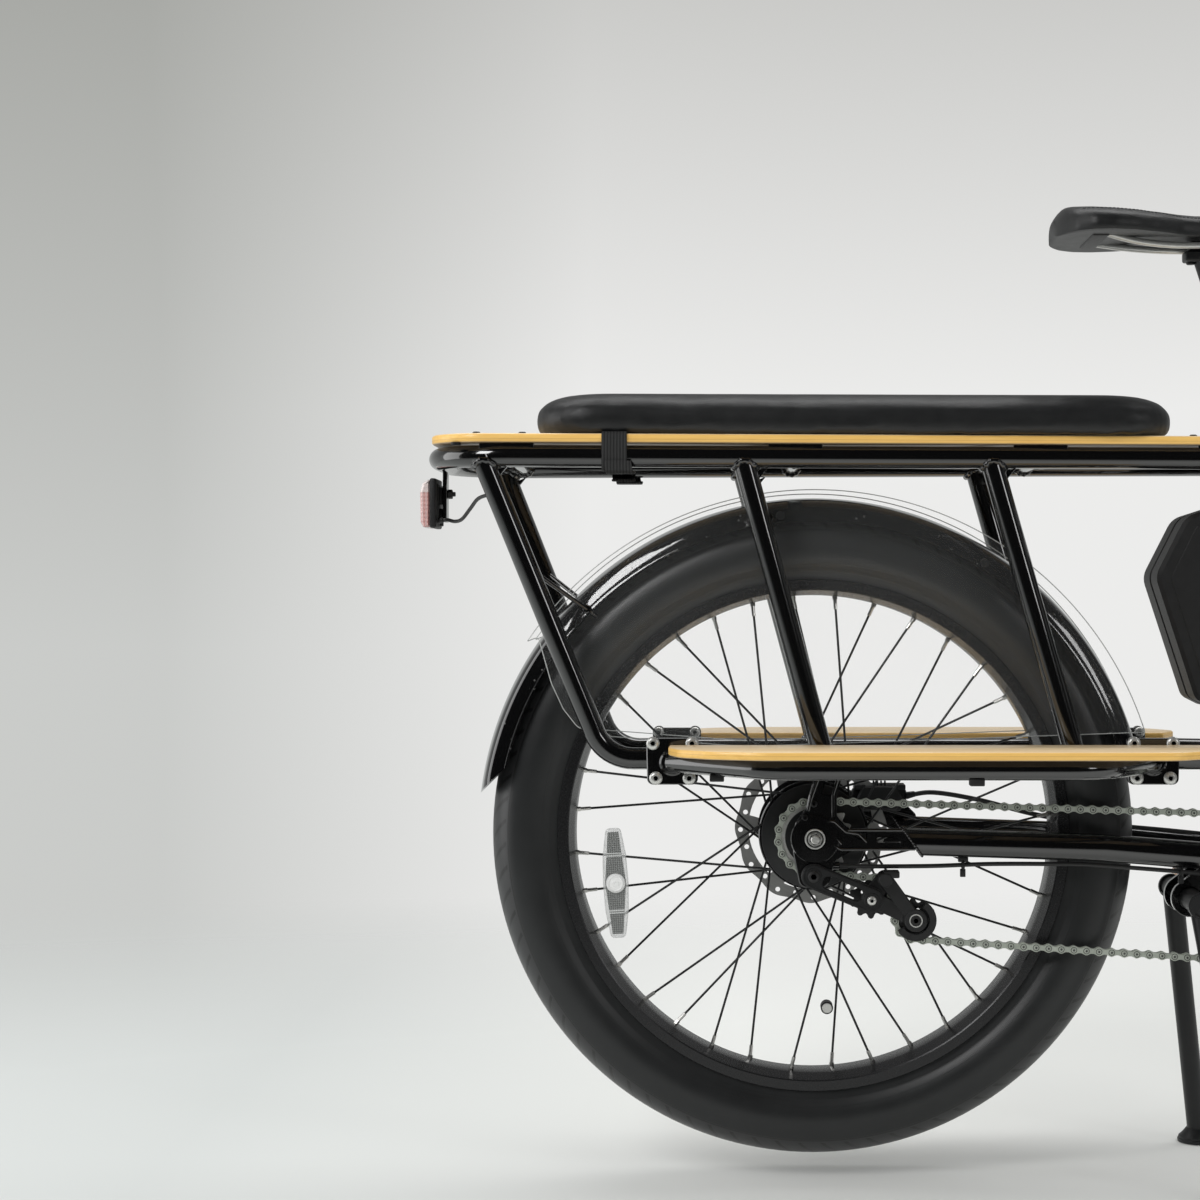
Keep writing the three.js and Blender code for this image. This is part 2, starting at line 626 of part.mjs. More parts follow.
function chainring() {
  const { count, outerFrom, outerTo, innerFrom, innerTo } = ringWindow;
  const windows = Array.from({ length: count }, (_, i) => {
    const start = (2 * Math.PI * i) / count;
    const origin = at(0, 0, 0);
    return [...arc(origin, ringSpider.rim, start + outerFrom, start + outerTo, 3),
      ...arc(origin, ringSpider.arm + tooth.thickness, start + innerFrom, start + innerTo, 1)];
  });
  const outline = toothOutline(chainringTeeth, loop[3].phase, tooth.tip);
  const disc = plate(outline, tooth.thickness, -chainLine, windows);
  const boss = crossBar(at(0, 0, 0), -crank.line + crank.thickness / 2 + seatGap, -chainLine,
    crank.hubRadius, slimSides);
  const through = crossBar(at(0, 0, 0), -crank.line, 0,
    fitRadius(crank.spindle, slimSides), slimSides);
  return cut(join(disc, boss), through);
}

function pedalBody(side) {
  const half = pedal.length / 2;
  const wall = pedal.height / 3;
  const inner = side > 0 ? pedal.start : -pedal.start - pedal.width;
  const corner = pedal.height;
  const frame = (inset) => {
    const x = half - inset;
    const low = inner + inset;
    const high = inner + pedal.width - inset;
    return [[-x + corner, low], [x - corner, low], [x, low + corner], [x, high - corner],
      [x - corner, high], [-x + corner, high], [-x, high - corner], [-x, low + corner]];
  };
  const rails = slab(frame(0), pedal.height, -pedal.height / 2, [frame(wall)]);
  const core = crossBar(at(0, 0, 0), inner, inner + pedal.width, pedal.pin + wall / 2 + seatGap, slimSides);
  const bore = crossBar(at(0, 0, 0), inner - cutOverrun, inner + pedal.width + cutOverrun,
    boreRadius(pedal.pin, slimSides), slimSides);
  return cut(join(rails, core), bore);
}

// Cables and hoses, by radius, and the stop where the shift cable's outer ends at the right dropout.
// Each leaves its lever or shifter straight, for its own run
const cable = { hose: 2.6, wire: 1.6, shift: 2.3, stopLength: 12, stopRadius: 4, stopDrop: 1.1,
  hoseRun: 32, shiftRun: 40 };
const cableStop = { x: rearAxle.x + dropout.eye, z: rearAxle.z - dropout.eye * cable.stopDrop,
  line: dropoutLine - dropout.thickness / 2 - cable.stopRadius / 2 };

// Main frame
const motorNose = at(motor.noseAhead, 0, crankHeight + motor.noseAbove);

function motorOutline(grow) {
  return link(crankAxis, motorNose, motor.rear + grow, motor.nose + grow);
}

function motorBody() {
  const body = plate(motorOutline(0), 2 * motor.halfWidth, 0);
  const boss = crossBar(crankAxis, -motor.halfWidth - motor.shell / 2, motor.halfWidth + motor.shell,
    motor.rear / 2, drumSides);
  const bore = crossBar(crankAxis, -chainLine, chainLine, boreRadius(crank.spindle, slimSides), slimSides);
  return cut(join(body, boss), bore);
}

// Where the tubes meet: shares of the motor's nose, of a tube's radius or of the seat tube's length
const frameShares = { downFoot: 0.7, headJoint: 1.6, topFoot: 0.55, standLift: 1.7, bridge: 4, cradle: 0.6 };
const downFoot = at(motor.noseAhead * frameShares.downFoot, 0, crankHeight + motor.noseAbove);
const downTop = onSteer(0, 0, headTube.foot + tubes.down * frameShares.headJoint);

// A place on the seat tube's centre line at a height
function seatTubeAt(height, behind = 0) {
  return onSeat(behind, 0, (height - crankHeight + behind * Math.cos(seatAngle)) / Math.sin(seatAngle));
}

const deckHalfWidth = (x) => {
  const taper = (x - deck.rear) / (railFront.x - deck.rear);
  return deck.halfWidth + (deck.frontHalfWidth - deck.halfWidth) * taper;
};
const railFront = seatTubeAt(deckRailHeight, tubes.seat - tubes.rack / 2);

// The deck rails: one bent loop, open at the front, where a cross tube joins the seat tube
function railPoints(side) {
  const middle = at(deck.rear, 0, deckRailHeight);
  const corner = middle.clone().setY(side * deck.halfWidth);
  return [middle, corner, at(railFront.x, side * deck.frontHalfWidth, deckRailHeight)];
}

function railTube(side, grow) {
  return pipe(railPoints(side), tubes.rack + grow, deck.bend, slimSides);
}

const seatTubeSpace = (grow) => rod(onSeat(0, 0, seatTube.foot),
  onSeat(0, 0, seatTube.foot + seatTube.length), tubes.seat + grow, stoutSides);

const crossTube = { stations: [-925, -640, -395], radius: 8.25 };
const lightPlate = { width: 22, drop: 62, thickness: 4, inset: 7 };
const lightPlateX = deck.rear + lightPlate.inset;

function rackDeckFrame() {
  const parts = [railTube(-1, 0), railTube(1, 0)];
  parts.push(crossBar(railFront, -deck.frontHalfWidth, deck.frontHalfWidth, tubes.rack, slimSides));
  for (const x of crossTube.stations) {
    const reach = deckHalfWidth(x);
    parts.push(crossBar(at(x, 0, deckRailHeight), -reach, reach, crossTube.radius, slimSides));
    for (const side of [-1, 1]) {
      const low = at(x - board.corner / 2, side * reach - tubes.rack / 2, deckRailHeight);
      const high = at(x + board.corner / 2, side * reach + tubes.rack / 2,
        deckRailHeight + tubes.rack + board.spacer - seatGap);
      parts.push(block(low, high));
    }
  }
  const plateHigh = at(lightPlateX + lightPlate.thickness / 2, lightPlate.width / 2, deckRailHeight);
  const plateSize = at(lightPlate.thickness, lightPlate.width, lightPlate.drop);
  parts.push(block(plateHigh.clone().sub(plateSize), plateHigh));
  return cut(join(...parts), seatTubeSpace(seatGap));
}

// One side of the rack: three raking struts and the low rail that they stand on
const strutFoot = (top) => top + strutRake * (deckRailHeight - lowerRailHeight);
const lowerRailEnd = { ahead: -235, inward: 13 };

function strutPoints(top, side) {
  return [at(top, side * deckHalfWidth(top), deckRailHeight),
    at(strutFoot(top), side * lowerRailLine, lowerRailHeight)];
}

function rackSidePipes(side, grow) {
  const radius = tubes.rack + grow;
  const end = seatTubeAt(lowerRailHeight);
  const rearRun = [...strutPoints(strutTops[0], side),
    at(lowerRailEnd.ahead, side * lowerRailLine, lowerRailHeight),
    at(end.x, side * lowerRailEnd.inward, lowerRailHeight)];
  return [pipe(rearRun, radius, strutBend, slimSides),
    pipe(strutPoints(strutTops[1], side), radius, 0, slimSides),
    pipe(strutPoints(strutTops[2], side), radius, 0, slimSides)];
}

const lugLine = lowerRailLine + tubes.rack - bracket.sink;
const frontBracket = lowerRailEnd.ahead - bracket.width;
const bracketPlaces = [bracket.centre, frontBracket];

function bracketOutline(centre) {
  const half = bracket.width / 2;
  const tall = bracket.height / 2;
  const { waist, top, front } = bracketShares;
  const corners = [[-1, waist], [-top, top], [top, top], [1, front], [waist, -1], [-waist, -1]];
  return corners.map(([across, up]) => [centre + half * across, lowerRailHeight + tall * up]);
}

function rackSide(side) {
  const lugs = bracketPlaces.map((centre) =>
    plate(bracketOutline(centre), bracket.thickness, side * (lugLine + bracket.thickness / 2)));
  const whole = join(...rackSidePipes(side, 0), ...lugs);
  return cut(whole, railTube(side, seatGap), seatTubeSpace(seatGap));
}

// Where the chainstays run: from the dropouts, past the tyre, in to the motor cradle
function stayPoints(side) {
  return [at(rearAxle.x + dropout.reach - cutOverrun, side * dropoutLine, rearAxleHeight - cutOverrun),
    at(rearAxle.x + tyre.radius - motor.shell * 5, side * chainstay.kneeLine,
      (rearAxleHeight + crankHeight) / 2 + chainstay.kneeRise),
    at(-motor.rear / 2, side * chainstay.footLine, crankHeight + motor.nose / 2)];
}

// Dropout plates. Across and up are in eye radii from the axle, unless they name another size
const dropoutShares = {
  heel: { low: 0.6, high: 0.7, inset: 0.9 },
  neck: { back: 0.1, front: 1.3, foot: 1.5 },
  nose: { neck: 1.9, top: 1.5, front: 0.5, low: 0.9 },
  belly: { along: 0.6, low: 0.95, hanger: 0.75 },
  hanger: { ahead: 0.5, behind: 0.6, drop: 0.6 },
  window: { low: 1.2, high: 2, across: [0.4, 0.2, 0.9, 1] },
  slot: { low: -0.1, high: 0.5, back: 1.6, along: 0.75 },
};

function dropoutPlate(side) {
  const { eye, reach } = dropout;
  const { heel, neck, nose, belly, hanger, window, slot } = dropoutShares;
  const half = dropout.depth / 2;
  const railTop = lowerRailHeight - tubes.rack / 2 - rearAxle.z;
  const foot = -armPivot.below - half * hanger.drop;
  const fromAxle = (corners) => corners.map(([across, up]) => [rearAxle.x + across, rearAxle.z + up]);
  const outline = fromAxle([
    [-eye, -eye * heel.low], [-eye * heel.inset, eye * heel.high],
    [-eye * neck.back, railTop], [eye * neck.front, railTop], [eye * neck.foot, half * nose.neck],
    [reach, half * nose.top], [reach + half, half * nose.front], [reach + half, -half * nose.low],
    [reach * belly.along, -half * belly.low], [eye * belly.hanger, -eye * belly.low],
    [eye * hanger.ahead, foot], [-eye * hanger.behind, foot]]);
  const heights = [window.low, window.high, window.high, window.low];
  const opening = fromAxle(window.across.map((across, i) => [eye * across, eye * heights[i]]));
  const slit = fromAxle([[eye * slot.back, eye * slot.low], [eye * slot.back, eye * slot.high],
    [reach * slot.along, eye * slot.high], [reach * slot.along, eye * slot.low]]);
  return plate(outline, dropout.thickness, side * dropoutLine, [opening, slit]);
}

const standPivot = at(-stand.behind, 0, stand.height);

function mainFrame() {
  const headFoot = onSteer(0, 0, headTube.foot);
  const headTop = onSteer(0, 0, headTube.foot + headTube.length);
  const topTop = onSteer(0, 0, headTube.foot + headTube.length - tubes.top * frameShares.headJoint);
  const seatTop = onSeat(0, 0, seatTube.foot + seatTube.length);
  const collarFoot = onSeat(0, 0, seatTube.foot + seatTube.length - headTube.lipDepth * 2);
  const cradle = common(plate(motorOutline(motor.shell), 2 * (motor.halfWidth - motor.shell), 0),
    block(at(-2 * motor.rear, -lugLine, crankHeight), at(2 * motor.noseAhead, lugLine, 2 * crankHeight)));
  const standRise = tubes.seat * frameShares.standLift;
  const bridgeHalf = tubes.stay * frameShares.bridge;
  const parts = [
    rod(headFoot, headTop, tubes.head, stoutSides),
    rod(headFoot, onSteer(0, 0, headTube.foot + headTube.lipDepth), tubes.head + headTube.lip, stoutSides),
    rod(onSteer(0, 0, headTube.foot + headTube.length - headTube.lipDepth), headTop,
      tubes.head + headTube.lip, stoutSides),
    rod(downFoot, downTop, tubes.down, stoutSides),
    rod(onSeat(0, 0, seatTube.length * frameShares.topFoot), topTop, tubes.top, stoutSides),
    rod(onSeat(0, 0, seatTube.foot - motor.shell), seatTop, tubes.seat, stoutSides),
    rod(collarFoot, seatTop, tubes.seat + headTube.lip, stoutSides),
    cradle,
    batteryCradle(),
  ];
  for (const side of [-1, 1]) {
    parts.push(pipe(stayPoints(side), tubes.stay, chainstay.bend, slimSides), dropoutPlate(side));
    const ear = side * (stand.tube + motor.shell);
    parts.push(plate(link(standPivot, standPivot.clone().add(at(motor.rear / 2, 0, standRise)),
      stand.tube + motor.shell, stand.tube), motor.shell, ear));
  }
  const bridgeX = -stand.behind + motor.rear / 2;
  parts.push(crossBar(at(bridgeX, 0, stand.height + standRise), -bridgeHalf, bridgeHalf, tubes.rack,
    slimSides));
  parts.push(rod(at(cableStop.x - cable.stopLength, -cableStop.line, cableStop.z),
    at(cableStop.x, -cableStop.line, cableStop.z), cable.stopRadius, smallSides));
  const whole = join(...parts);
  const postBore = rod(onSeat(0, 0, seatTube.foot + seatTube.length - seatTube.boreDepth),
    onSeat(0, 0, seatTube.foot + seatTube.length + cutOverrun), postRadius + seatGap, stoutSides);
  const headBore = rod(onSteer(0, 0, headTube.foot - cutOverrun),
    onSteer(0, 0, headTube.foot + headTube.length + cutOverrun), boreRadius(steererRadius, stoutSides),
    stoutSides);
  const axleHole = crossBar(rearAxle, -lowerRailLine, lowerRailLine, axle.radius + seatGap, slimSides);
  const standBore = crossBar(standPivot, -bridgeHalf, bridgeHalf, boreRadius(stand.tube, stoutSides),
    stoutSides);
  const motorSpace = plate(motorOutline(seatGap), 2 * (motor.halfWidth + cutOverrun), 0);
  const armBoltHole = crossBar(armPivotPoint, -lowerRailLine, -dropoutLine + dropout.thickness,
    tensioner.head + seatGap, slimSides);
  const crownSpace = rod(onSteer(0, 0, fork.crown), headFoot, tubes.head * 2, stoutSides);
  return cut(whole, crownSpace, postBore, headBore, axleHole, standBore, motorSpace, armBoltHole,
    ...rackSidePipes(-1, seatGap), ...rackSidePipes(1, seatGap));
}

// Boards
function roundedPlan(x0, x1, half0, half1, corner, steps) {
  const along = [[x1, half1], [x0, half0]];
  const points = [];
  const corners = [[x1, -half1, -90], [x1, half1, 0], [x0, half0, 90], [x0, -half0, 180]];
  for (const [x, y, from] of corners) {
    const cx = x - Math.sign(x - (along[0][0] + along[1][0]) / 2) * corner;
    const cy = y - Math.sign(y) * corner;
    for (let i = 0; i <= steps; i += 1) {
      const angle = deg(from + (90 * i) / steps);
      points.push([cx + corner * Math.cos(angle), cy + corner * Math.sin(angle)]);
    }
  }
  return points;
}

const boardBottom = deckRailHeight + tubes.rack + board.spacer;

function deckBoard() {
  const front = deckHalfWidth(board.front) + board.halfWidth - deck.halfWidth;
  return slab(roundedPlan(board.rear, board.front, board.halfWidth, front, board.corner, cornerSteps),
    board.thickness, boardBottom);
}

// The cushion: crowned on top, with sides that draw in above the board. Each row is a share of its
// height, and how many pulls its outline is drawn in
const cushionRows = [[0, 1], [0.08, 1 / 3], [0.45, 0], [0.75, 1 / 4], [0.93, 1.6], [0.985, 4], [1, 8]];

function cushionPad() {
  const rows = cushionRows.map(([share, pulls]) => [share, cushion.pull * pulls]);
  const bottom = boardBottom + board.thickness + seatGap;
  const middle = cushion.rear + cushion.length / 2;
  const outlineAt = (inset) => roundedPlan(cushion.rear + inset, cushion.rear + cushion.length - inset,
    cushion.halfWidth - inset, cushion.halfWidth - inset - deck.bend / 4, cushion.corner, cornerSteps);
  const count = outlineAt(0).length;
  const positions = [];
  for (const [share, inset] of rows) {
    for (const [x, y] of outlineAt(inset)) positions.push(x, y, bottom + cushion.height * share);
  }
  const faces = [];
  for (let row = 0; row < rows.length - 1; row += 1) {
    for (let i = 0; i < count; i += 1) {
      const next = (i + 1) % count;
      const low = row * count;
      const high = low + count;
      faces.push(low + i, low + next, high + next, low + i, high + next, high + i);
    }
  }
  const foot = positions.length / 3;
  positions.push(middle, 0, bottom, middle, 0, bottom + cushion.height);
  const top = (rows.length - 1) * count;
  for (let i = 0; i < count; i += 1) {
    const next = (i + 1) % count;
    faces.push(foot, next, i, foot + 1, top + i, top + next);
  }
  const geometry = new THREE.BufferGeometry();
  geometry.setAttribute('position', new THREE.Float32BufferAttribute(positions, 3));
  geometry.setIndex(faces);
  return geometry;
}

// The elastic strap: a flat loop round the board, the rails and the cushion's foot
function cushionStrap() {
  const half = deckHalfWidth(strap.station) + tubes.rack + seatGap;
  const boardHalf = board.halfWidth + seatGap;
  const low = deckRailHeight - tubes.rack - seatGap;
  const t = strap.thickness;
  const top = boardBottom + board.thickness + seatGap;
  const seam = cushion.halfWidth + t;
  const inside = [[seam, top], [boardHalf, top], [boardHalf, boardBottom - t], [half, deckRailHeight],
    [half, low + t], [half - t * 2, low]];
  const outside = [[half, low - t], [half + t, low], [half + t, deckRailHeight],
    [boardHalf + t, boardBottom - t], [boardHalf + t, top + t], [seam, top + t]];
  const onRight = (corners) => corners.map(([across, up]) => [-across, up]);
  const outline = [...inside, ...onRight(inside).reverse(), ...onRight(outside).reverse(), ...outside];
  const flat = new THREE.ExtrudeGeometry(shapeOf(outline), { depth: strap.width, bevelEnabled: false });
  return flat.rotateX(Math.PI / 2).rotateZ(Math.PI / 2).translate(strap.station - strap.width / 2, 0, 0);
}

// A footboard's corners, in widths: ahead of its rear or front end, and out from its inner edge
const footboardShares = {
  rear: [[0.8, 1], [0.36, 0.84], [0.096, 0.6], [0, 0.3], [0, 0]],
  front: [[0, 0], [0.18, 0.35], [0, 0.7], [-0.4, 1]],
};

function footboardSlab() {
  const { rear, front, inner, outer, thickness, aboveRail } = footboard;
  const top = lowerRailHeight + aboveRail;
  const width = outer - inner;
  const corners = (end, shares) => shares.map(([past, out]) => [end + width * past, -inner - width * out]);
  const outline = [...corners(front, footboardShares.front), ...corners(rear, footboardShares.rear)];
  return slab(outline, thickness, top - thickness);
}

function footTubeFrame() {
  const underside = lowerRailHeight + footboard.aboveRail - footboard.thickness - seatGap;
  const height = underside - footTube.radius * Math.cos(Math.PI / slimSides);
  const face = lugLine + bracket.thickness + seatGap;
  const start = face + bracket.thickness / 2;
  const run = [at(bracket.centre, -start, height),
    at(bracket.centre + footTube.rear, -footTube.line, height),
    at(frontBracket - footTube.front, -footTube.line, height), at(frontBracket, -start, height)];
  const parts = [pipe(run, footTube.radius, footTube.bend, slimSides)];
  for (const centre of bracketPlaces) {
    parts.push(plate(bracketOutline(centre), bracket.thickness, -face - bracket.thickness / 2));
    for (const across of [-1, 1]) {
      for (const up of [-1, 1]) {
        const outward = up > 0 ? bracketBolt.topShare : bracketBolt.footShare;
        const bolt = at(centre + across * bracket.width * outward, 0,
          lowerRailHeight + up * bracket.height * bracketBolt.upShare);
        parts.push(crossBar(bolt, -face, -face - bracket.thickness - bracketBolt.head, bracketBolt.radius,
          nutSides));
      }
    }
  }
  const span = frontBracket - bracket.centre;
  for (const share of footTube.rungShares) {
    const x = bracket.centre + span * share;
    parts.push(crossBar(at(x, 0, height), -footboard.inner, -footTube.line, footTube.rung, smallSides));
  }
  const lugSpace = block(at(2 * deck.rear, -face, 0), at(0, 0, deckRailHeight));
  return cut(join(...parts), lugSpace);
}

// Fenders: a crowned strip with side skirts, on a part of a circle
const fenderShares = { hip: 0.42, crown: 0.1, shoulder: 0.62 };

function fenderSection(wall) {
  const { radius, halfWidth, skirt } = fender;
  const side = (inset) => [[radius - skirt, halfWidth - inset],
    [radius - skirt * fenderShares.hip - inset / 2, halfWidth - inset],
    [radius - skirt * fenderShares.crown - inset, halfWidth * fenderShares.shoulder - inset / 2]];
  const half = (inset) => [...side(inset), [radius - inset, 0],
    ...side(inset).reverse().map(([r, y]) => [r, -y])];
  return [...half(0), ...half(wall).reverse()];
}

// Carry a wheel-plane section of [radius, y] round a centre between two angles
function bowed(section, centre, from, to, steps) {
  const stations = Array.from({ length: steps + 1 }, (_, i) => {
    const turn = from + ((to - from) * i) / steps;
    return { point: centre.clone(), tangent: at(-Math.sin(turn), 0, Math.cos(turn)) };
  });
  return swept(section.map(([r, y]) => [y, -r]), stations, at(0, 1, 0));
}

const rearFenderArc = { from: deg(14), to: deg(172.5), steps: 12 };

// Short rods that hold the rear fender to the two rear struts on a side: each one's strut, its height
// there as a share of the fender's radius, and the angle that it meets the fender at
const fenderStayPlaces = [
  { strut: 0, share: 0.791, angle: deg(135) },
  { strut: 1, share: 0.985, angle: deg(98) },
];

function fenderStays(side, grow) {
  return fenderStayPlaces.map(({ strut, share, angle }) => {
    const [top, foot] = strutPoints(strutTops[strut], side);
    const height = rearAxle.z + fender.radius * share;
    const hold = top.clone().lerp(foot, (deckRailHeight - height) / (deckRailHeight - lowerRailHeight));
    const line = side * (fender.halfWidth - fender.wall / 2);
    const [[x, z]] = arc(rearAxle, stayReach, angle, angle, 1);
    return rod(hold, at(x, line, z), fenderStay.radius + grow, smallSides);
  });
}

function rearFender() {
  const { from, to, steps } = rearFenderArc;
  const strip = bowed(fenderSection(fender.wall), rearAxle, from, to, steps);
  const nose = fender.radius + fenderStay.radius - fender.wall;
  const front = at(rearAxle.x + nose * Math.cos(from), 0, rearAxle.z + nose * Math.sin(from));
  const bridge = crossBar(front, -lowerRailLine, lowerRailLine, fenderStay.radius, smallSides);
  const whole = join(strip, bridge, ...fenderStays(-1, 0), ...fenderStays(1, 0));
  return cut(whole, ...rackSidePipes(-1, seatGap), ...rackSidePipes(1, seatGap));
}

// Clear side guard: the part of a disc above the footboards. Its lower corners are shares of its
// radius behind the axle and of its foot's height above that foot
const guardCorners = [[0.72, 0.2], [0.66, 0], [0.2, -0.14]];

function wheelGuard(side) {
  const foot = Math.asin(guard.foot / guardRadius);
  const low = rearAxle.z + guard.foot;
  const corners = guardCorners.map(([behind, up]) =>
    [rearAxle.x - guardRadius * behind, low + guard.foot * up]);
  const outline = [...arc(rearAxle, guardRadius, foot, guard.rearAngle, guard.steps), ...corners];
  const sheet = plate(outline, guard.thickness, side * (fender.halfWidth + seatGap + guard.thickness / 2));
  return cut(sheet, ...fenderStays(side, seatGap));
}

// Tail light on its hanger
const light = { length: 21.8, height: 50, width: 52, lens: 8, bracket: 9, belowRail: 18 };
const lightTop = deckRailHeight - light.belowRail;

function tailLightHousing() {
  const front = lightPlateX - lightPlate.thickness / 2 - seatGap;
  const back = front - light.length + light.lens + seatGap;
  const half = light.width / 2;
  const body = block(at(back, -half, lightTop - light.height),
    at(front - light.bracket / 2, half, lightTop));
  const neck = block(at(back, -lightPlate.width / 2, lightTop - light.height / 2),
    at(front, lightPlate.width / 2, lightTop - light.height / 8));
  return join(body, neck);
}

function tailLightLens() {
  const face = lightPlateX - lightPlate.thickness / 2 - light.length;
  const half = light.width / 2;
  const outline = [[-half, lightTop - light.height], [half, lightTop - light.height], [half, lightTop],
    [-half, lightTop]];
  const depth = light.lens - seatGap;
  const front = new THREE.ExtrudeGeometry(shapeOf(outline), { depth, bevelEnabled: false });
  return front.rotateX(Math.PI / 2).rotateZ(Math.PI / 2).translate(face, 0, 0);
}

// Battery pack behind the seat tube, on a cradle plate; it slides out to the left
const battery = { start: 245, length: 195, cradle: 6, sink: 2, depth: 135, width: 84, corner: 16,
  lock: 11.2, lockShare: 0.3 };

function batteryPack() {
  const low = battery.start;
  const high = battery.start + battery.length;
  const near = tubes.seat + battery.cradle + seatGap;
  const far = near + battery.depth;
  const c = battery.corner;
  const places = [[near, low], [far - c, low], [far, low + c], [far, high - c * 3], [far - c * 3, high],
    [near, high]];
  const outline = places.map(([behind, up]) => {
    const point = onSeat(behind, 0, up);
    return [point.x, point.z];
  });
  const core = plate(outline, battery.width, 0);
  const lockCentre = onSeat(near + battery.depth * battery.lockShare, 0, high - c * 2);
  const lock = crossBar(lockCentre, battery.width / 2 - c / 2, battery.width, battery.lock, smallSides);
  return cut(core, lock);
}

function batteryCradle() {
  const near = tubes.seat - battery.sink;
  const far = tubes.seat + battery.cradle;
  const places = [[near, battery.start], [far, battery.start], [far, battery.start + battery.length],
    [near, battery.start + battery.length]];
  const outline = places.map(([behind, up]) => {
    const point = onSeat(behind, 0, up);
    return [point.x, point.z];
  });
  return plate(outline, battery.width * frameShares.cradle, 0);
}

// Centre stand: a cross tube with a leg and a flat foot at each end
function centreStand() {
  const reach = stand.shoulder + stand.tube;
  const parts = [crossBar(standPivot, -reach, reach, stand.tube, stoutSides)];
  for (const side of [-1, 1]) {
    const top = standPivot.clone().setY(side * stand.shoulder);
    const foot = at(standPivot.x + stand.footAhead, side * stand.spread, stand.foot / 2);
    parts.push(rod(top, foot, stand.tube, slimSides));
    parts.push(rod(foot.clone().setZ(0), foot, stand.foot, slimSides, stand.sole));
  }
  return join(...parts);
}

// Disc calipers: a block that straddles the rotor
const caliper = { length: 58, height: 30, slot: 3.6, inner: 11, tab: 5 };
const caliperFace = dropoutLine - dropout.thickness / 2 - seatGap;

function caliperBlock() {
  const half = caliper.length / 2;
  const tall = caliper.height / 2;
  const c = tall / 2;
  const outline = [[-half + c, -tall], [half - c, -tall], [half, -tall + c], [half, tall - c],
    [half - c, tall], [-half + c, tall], [-half, tall - c], [-half, -tall + c]];
  const inside = rotor.line - caliper.slot / 2 - caliper.inner;
  return plate(outline, caliperFace - inside, (caliperFace + inside) / 2);
}

const rearCaliperPlace = { ahead: 72, above: 31 };

const rotorSpace = () => crossBar(at(0, 0, 0), rotor.line - caliper.slot / 2, rotor.line + caliper.slot / 2,
  rotor.radius + caliper.slot / 2, drumSides);

function rearCaliper() {
  const body = caliperBlock().translate(rearCaliperPlace.ahead, 0, rearCaliperPlace.above);
  return cut(body, rotorSpace()).translate(rearAxle.x, 0, rearAxle.z);
}

// Saddle on its post
const saddle = { up: 690, length: 262, halfWidth: 85, nose: 19, thickness: 34, lift: 12, setBack: 30 };

function seatPost() {
  const start = seatTube.foot + seatTube.length - seatTube.postInsert + cutOverrun;
  const top = onSeat(0, 0, saddle.up);
  const head = rod(top.clone().add(at(-saddle.lift * 2, 0, 0)), top.clone().add(at(saddle.lift * 2, 0, 0)),
    saddle.lift, smallSides);
  return join(rod(onSeat(0, 0, start), top, postRadius, stoutSides), head);
}

// The saddle's sections from its rear end to its nose: where each lies, its half width, and how far
// its edge sinks, as shares of the length, the half width and the thickness
const saddleRings = [[1, 0.3, -0.02], [0.93, 0.86, -0.025], [0.8, 1, -0.03], [0.62, 0.84, -0.024],
  [0.45, 0.42, -0.007], [0.22, 0.26, 0.019], [0.04, 0.22, 0.12], [0, 0.12, 0.12]];
const saddleShares = { edge: 0.25, crown: 0.7, hem: 0.8, hemRise: 0.05 };
const saddleSteps = 8;

function saddleShell() {
  const top = onSeat(0, 0, saddle.up).add(at(-saddle.setBack, 0, saddle.lift + seatGap));
  const { edge, crown, hem, hemRise } = saddleShares;
  const marks = Array.from({ length: saddleSteps + 1 }, (_, i) => (Math.PI * i) / saddleSteps);
  const height = (share) => top.z + saddle.thickness * share;
  const stations = saddleRings.map(([along, wide, sink]) => {
    const x = top.x + saddle.length * (0.5 - along);
    const half = saddle.halfWidth * wide;
    const arch = marks.map((turn) =>
      [x, half * Math.cos(turn), height(edge - sink + crown * Math.sin(turn))]);
    return [...arch, [x, -half * hem, height(hemRise)], [x, 0, top.z], [x, half * hem, height(hemRise)]];
  });
  const count = stations[0].length;
  const positions = stations.flat(2);
  const faces = [];
  for (let s = 0; s < stations.length - 1; s += 1) {
    for (let i = 0; i < count; i += 1) {
      const next = (i + 1) % count;
      const a = s * count;
      const b = a + count;
      faces.push(a + i, a + next, b + next, a + i, b + next, b + i);
    }
  }
  for (let i = 1; i < count - 1; i += 1) {
    const last = (stations.length - 1) * count;
    faces.push(0, i + 1, i, last, last + i, last + i + 1);
  }
  const geometry = new THREE.BufferGeometry();
  geometry.setAttribute('position', new THREE.Float32BufferAttribute(positions, 3));
  geometry.setIndex(faces);
  return toGeometry(toSolid(geometry));
}

// Steering, in its own frame: Z along the steering axis, X ahead of it.
// The front axle is clamped in the fork's tips, so it is part of the fork.
const frontCaliperPlace = { behind: 62, up: 44 };

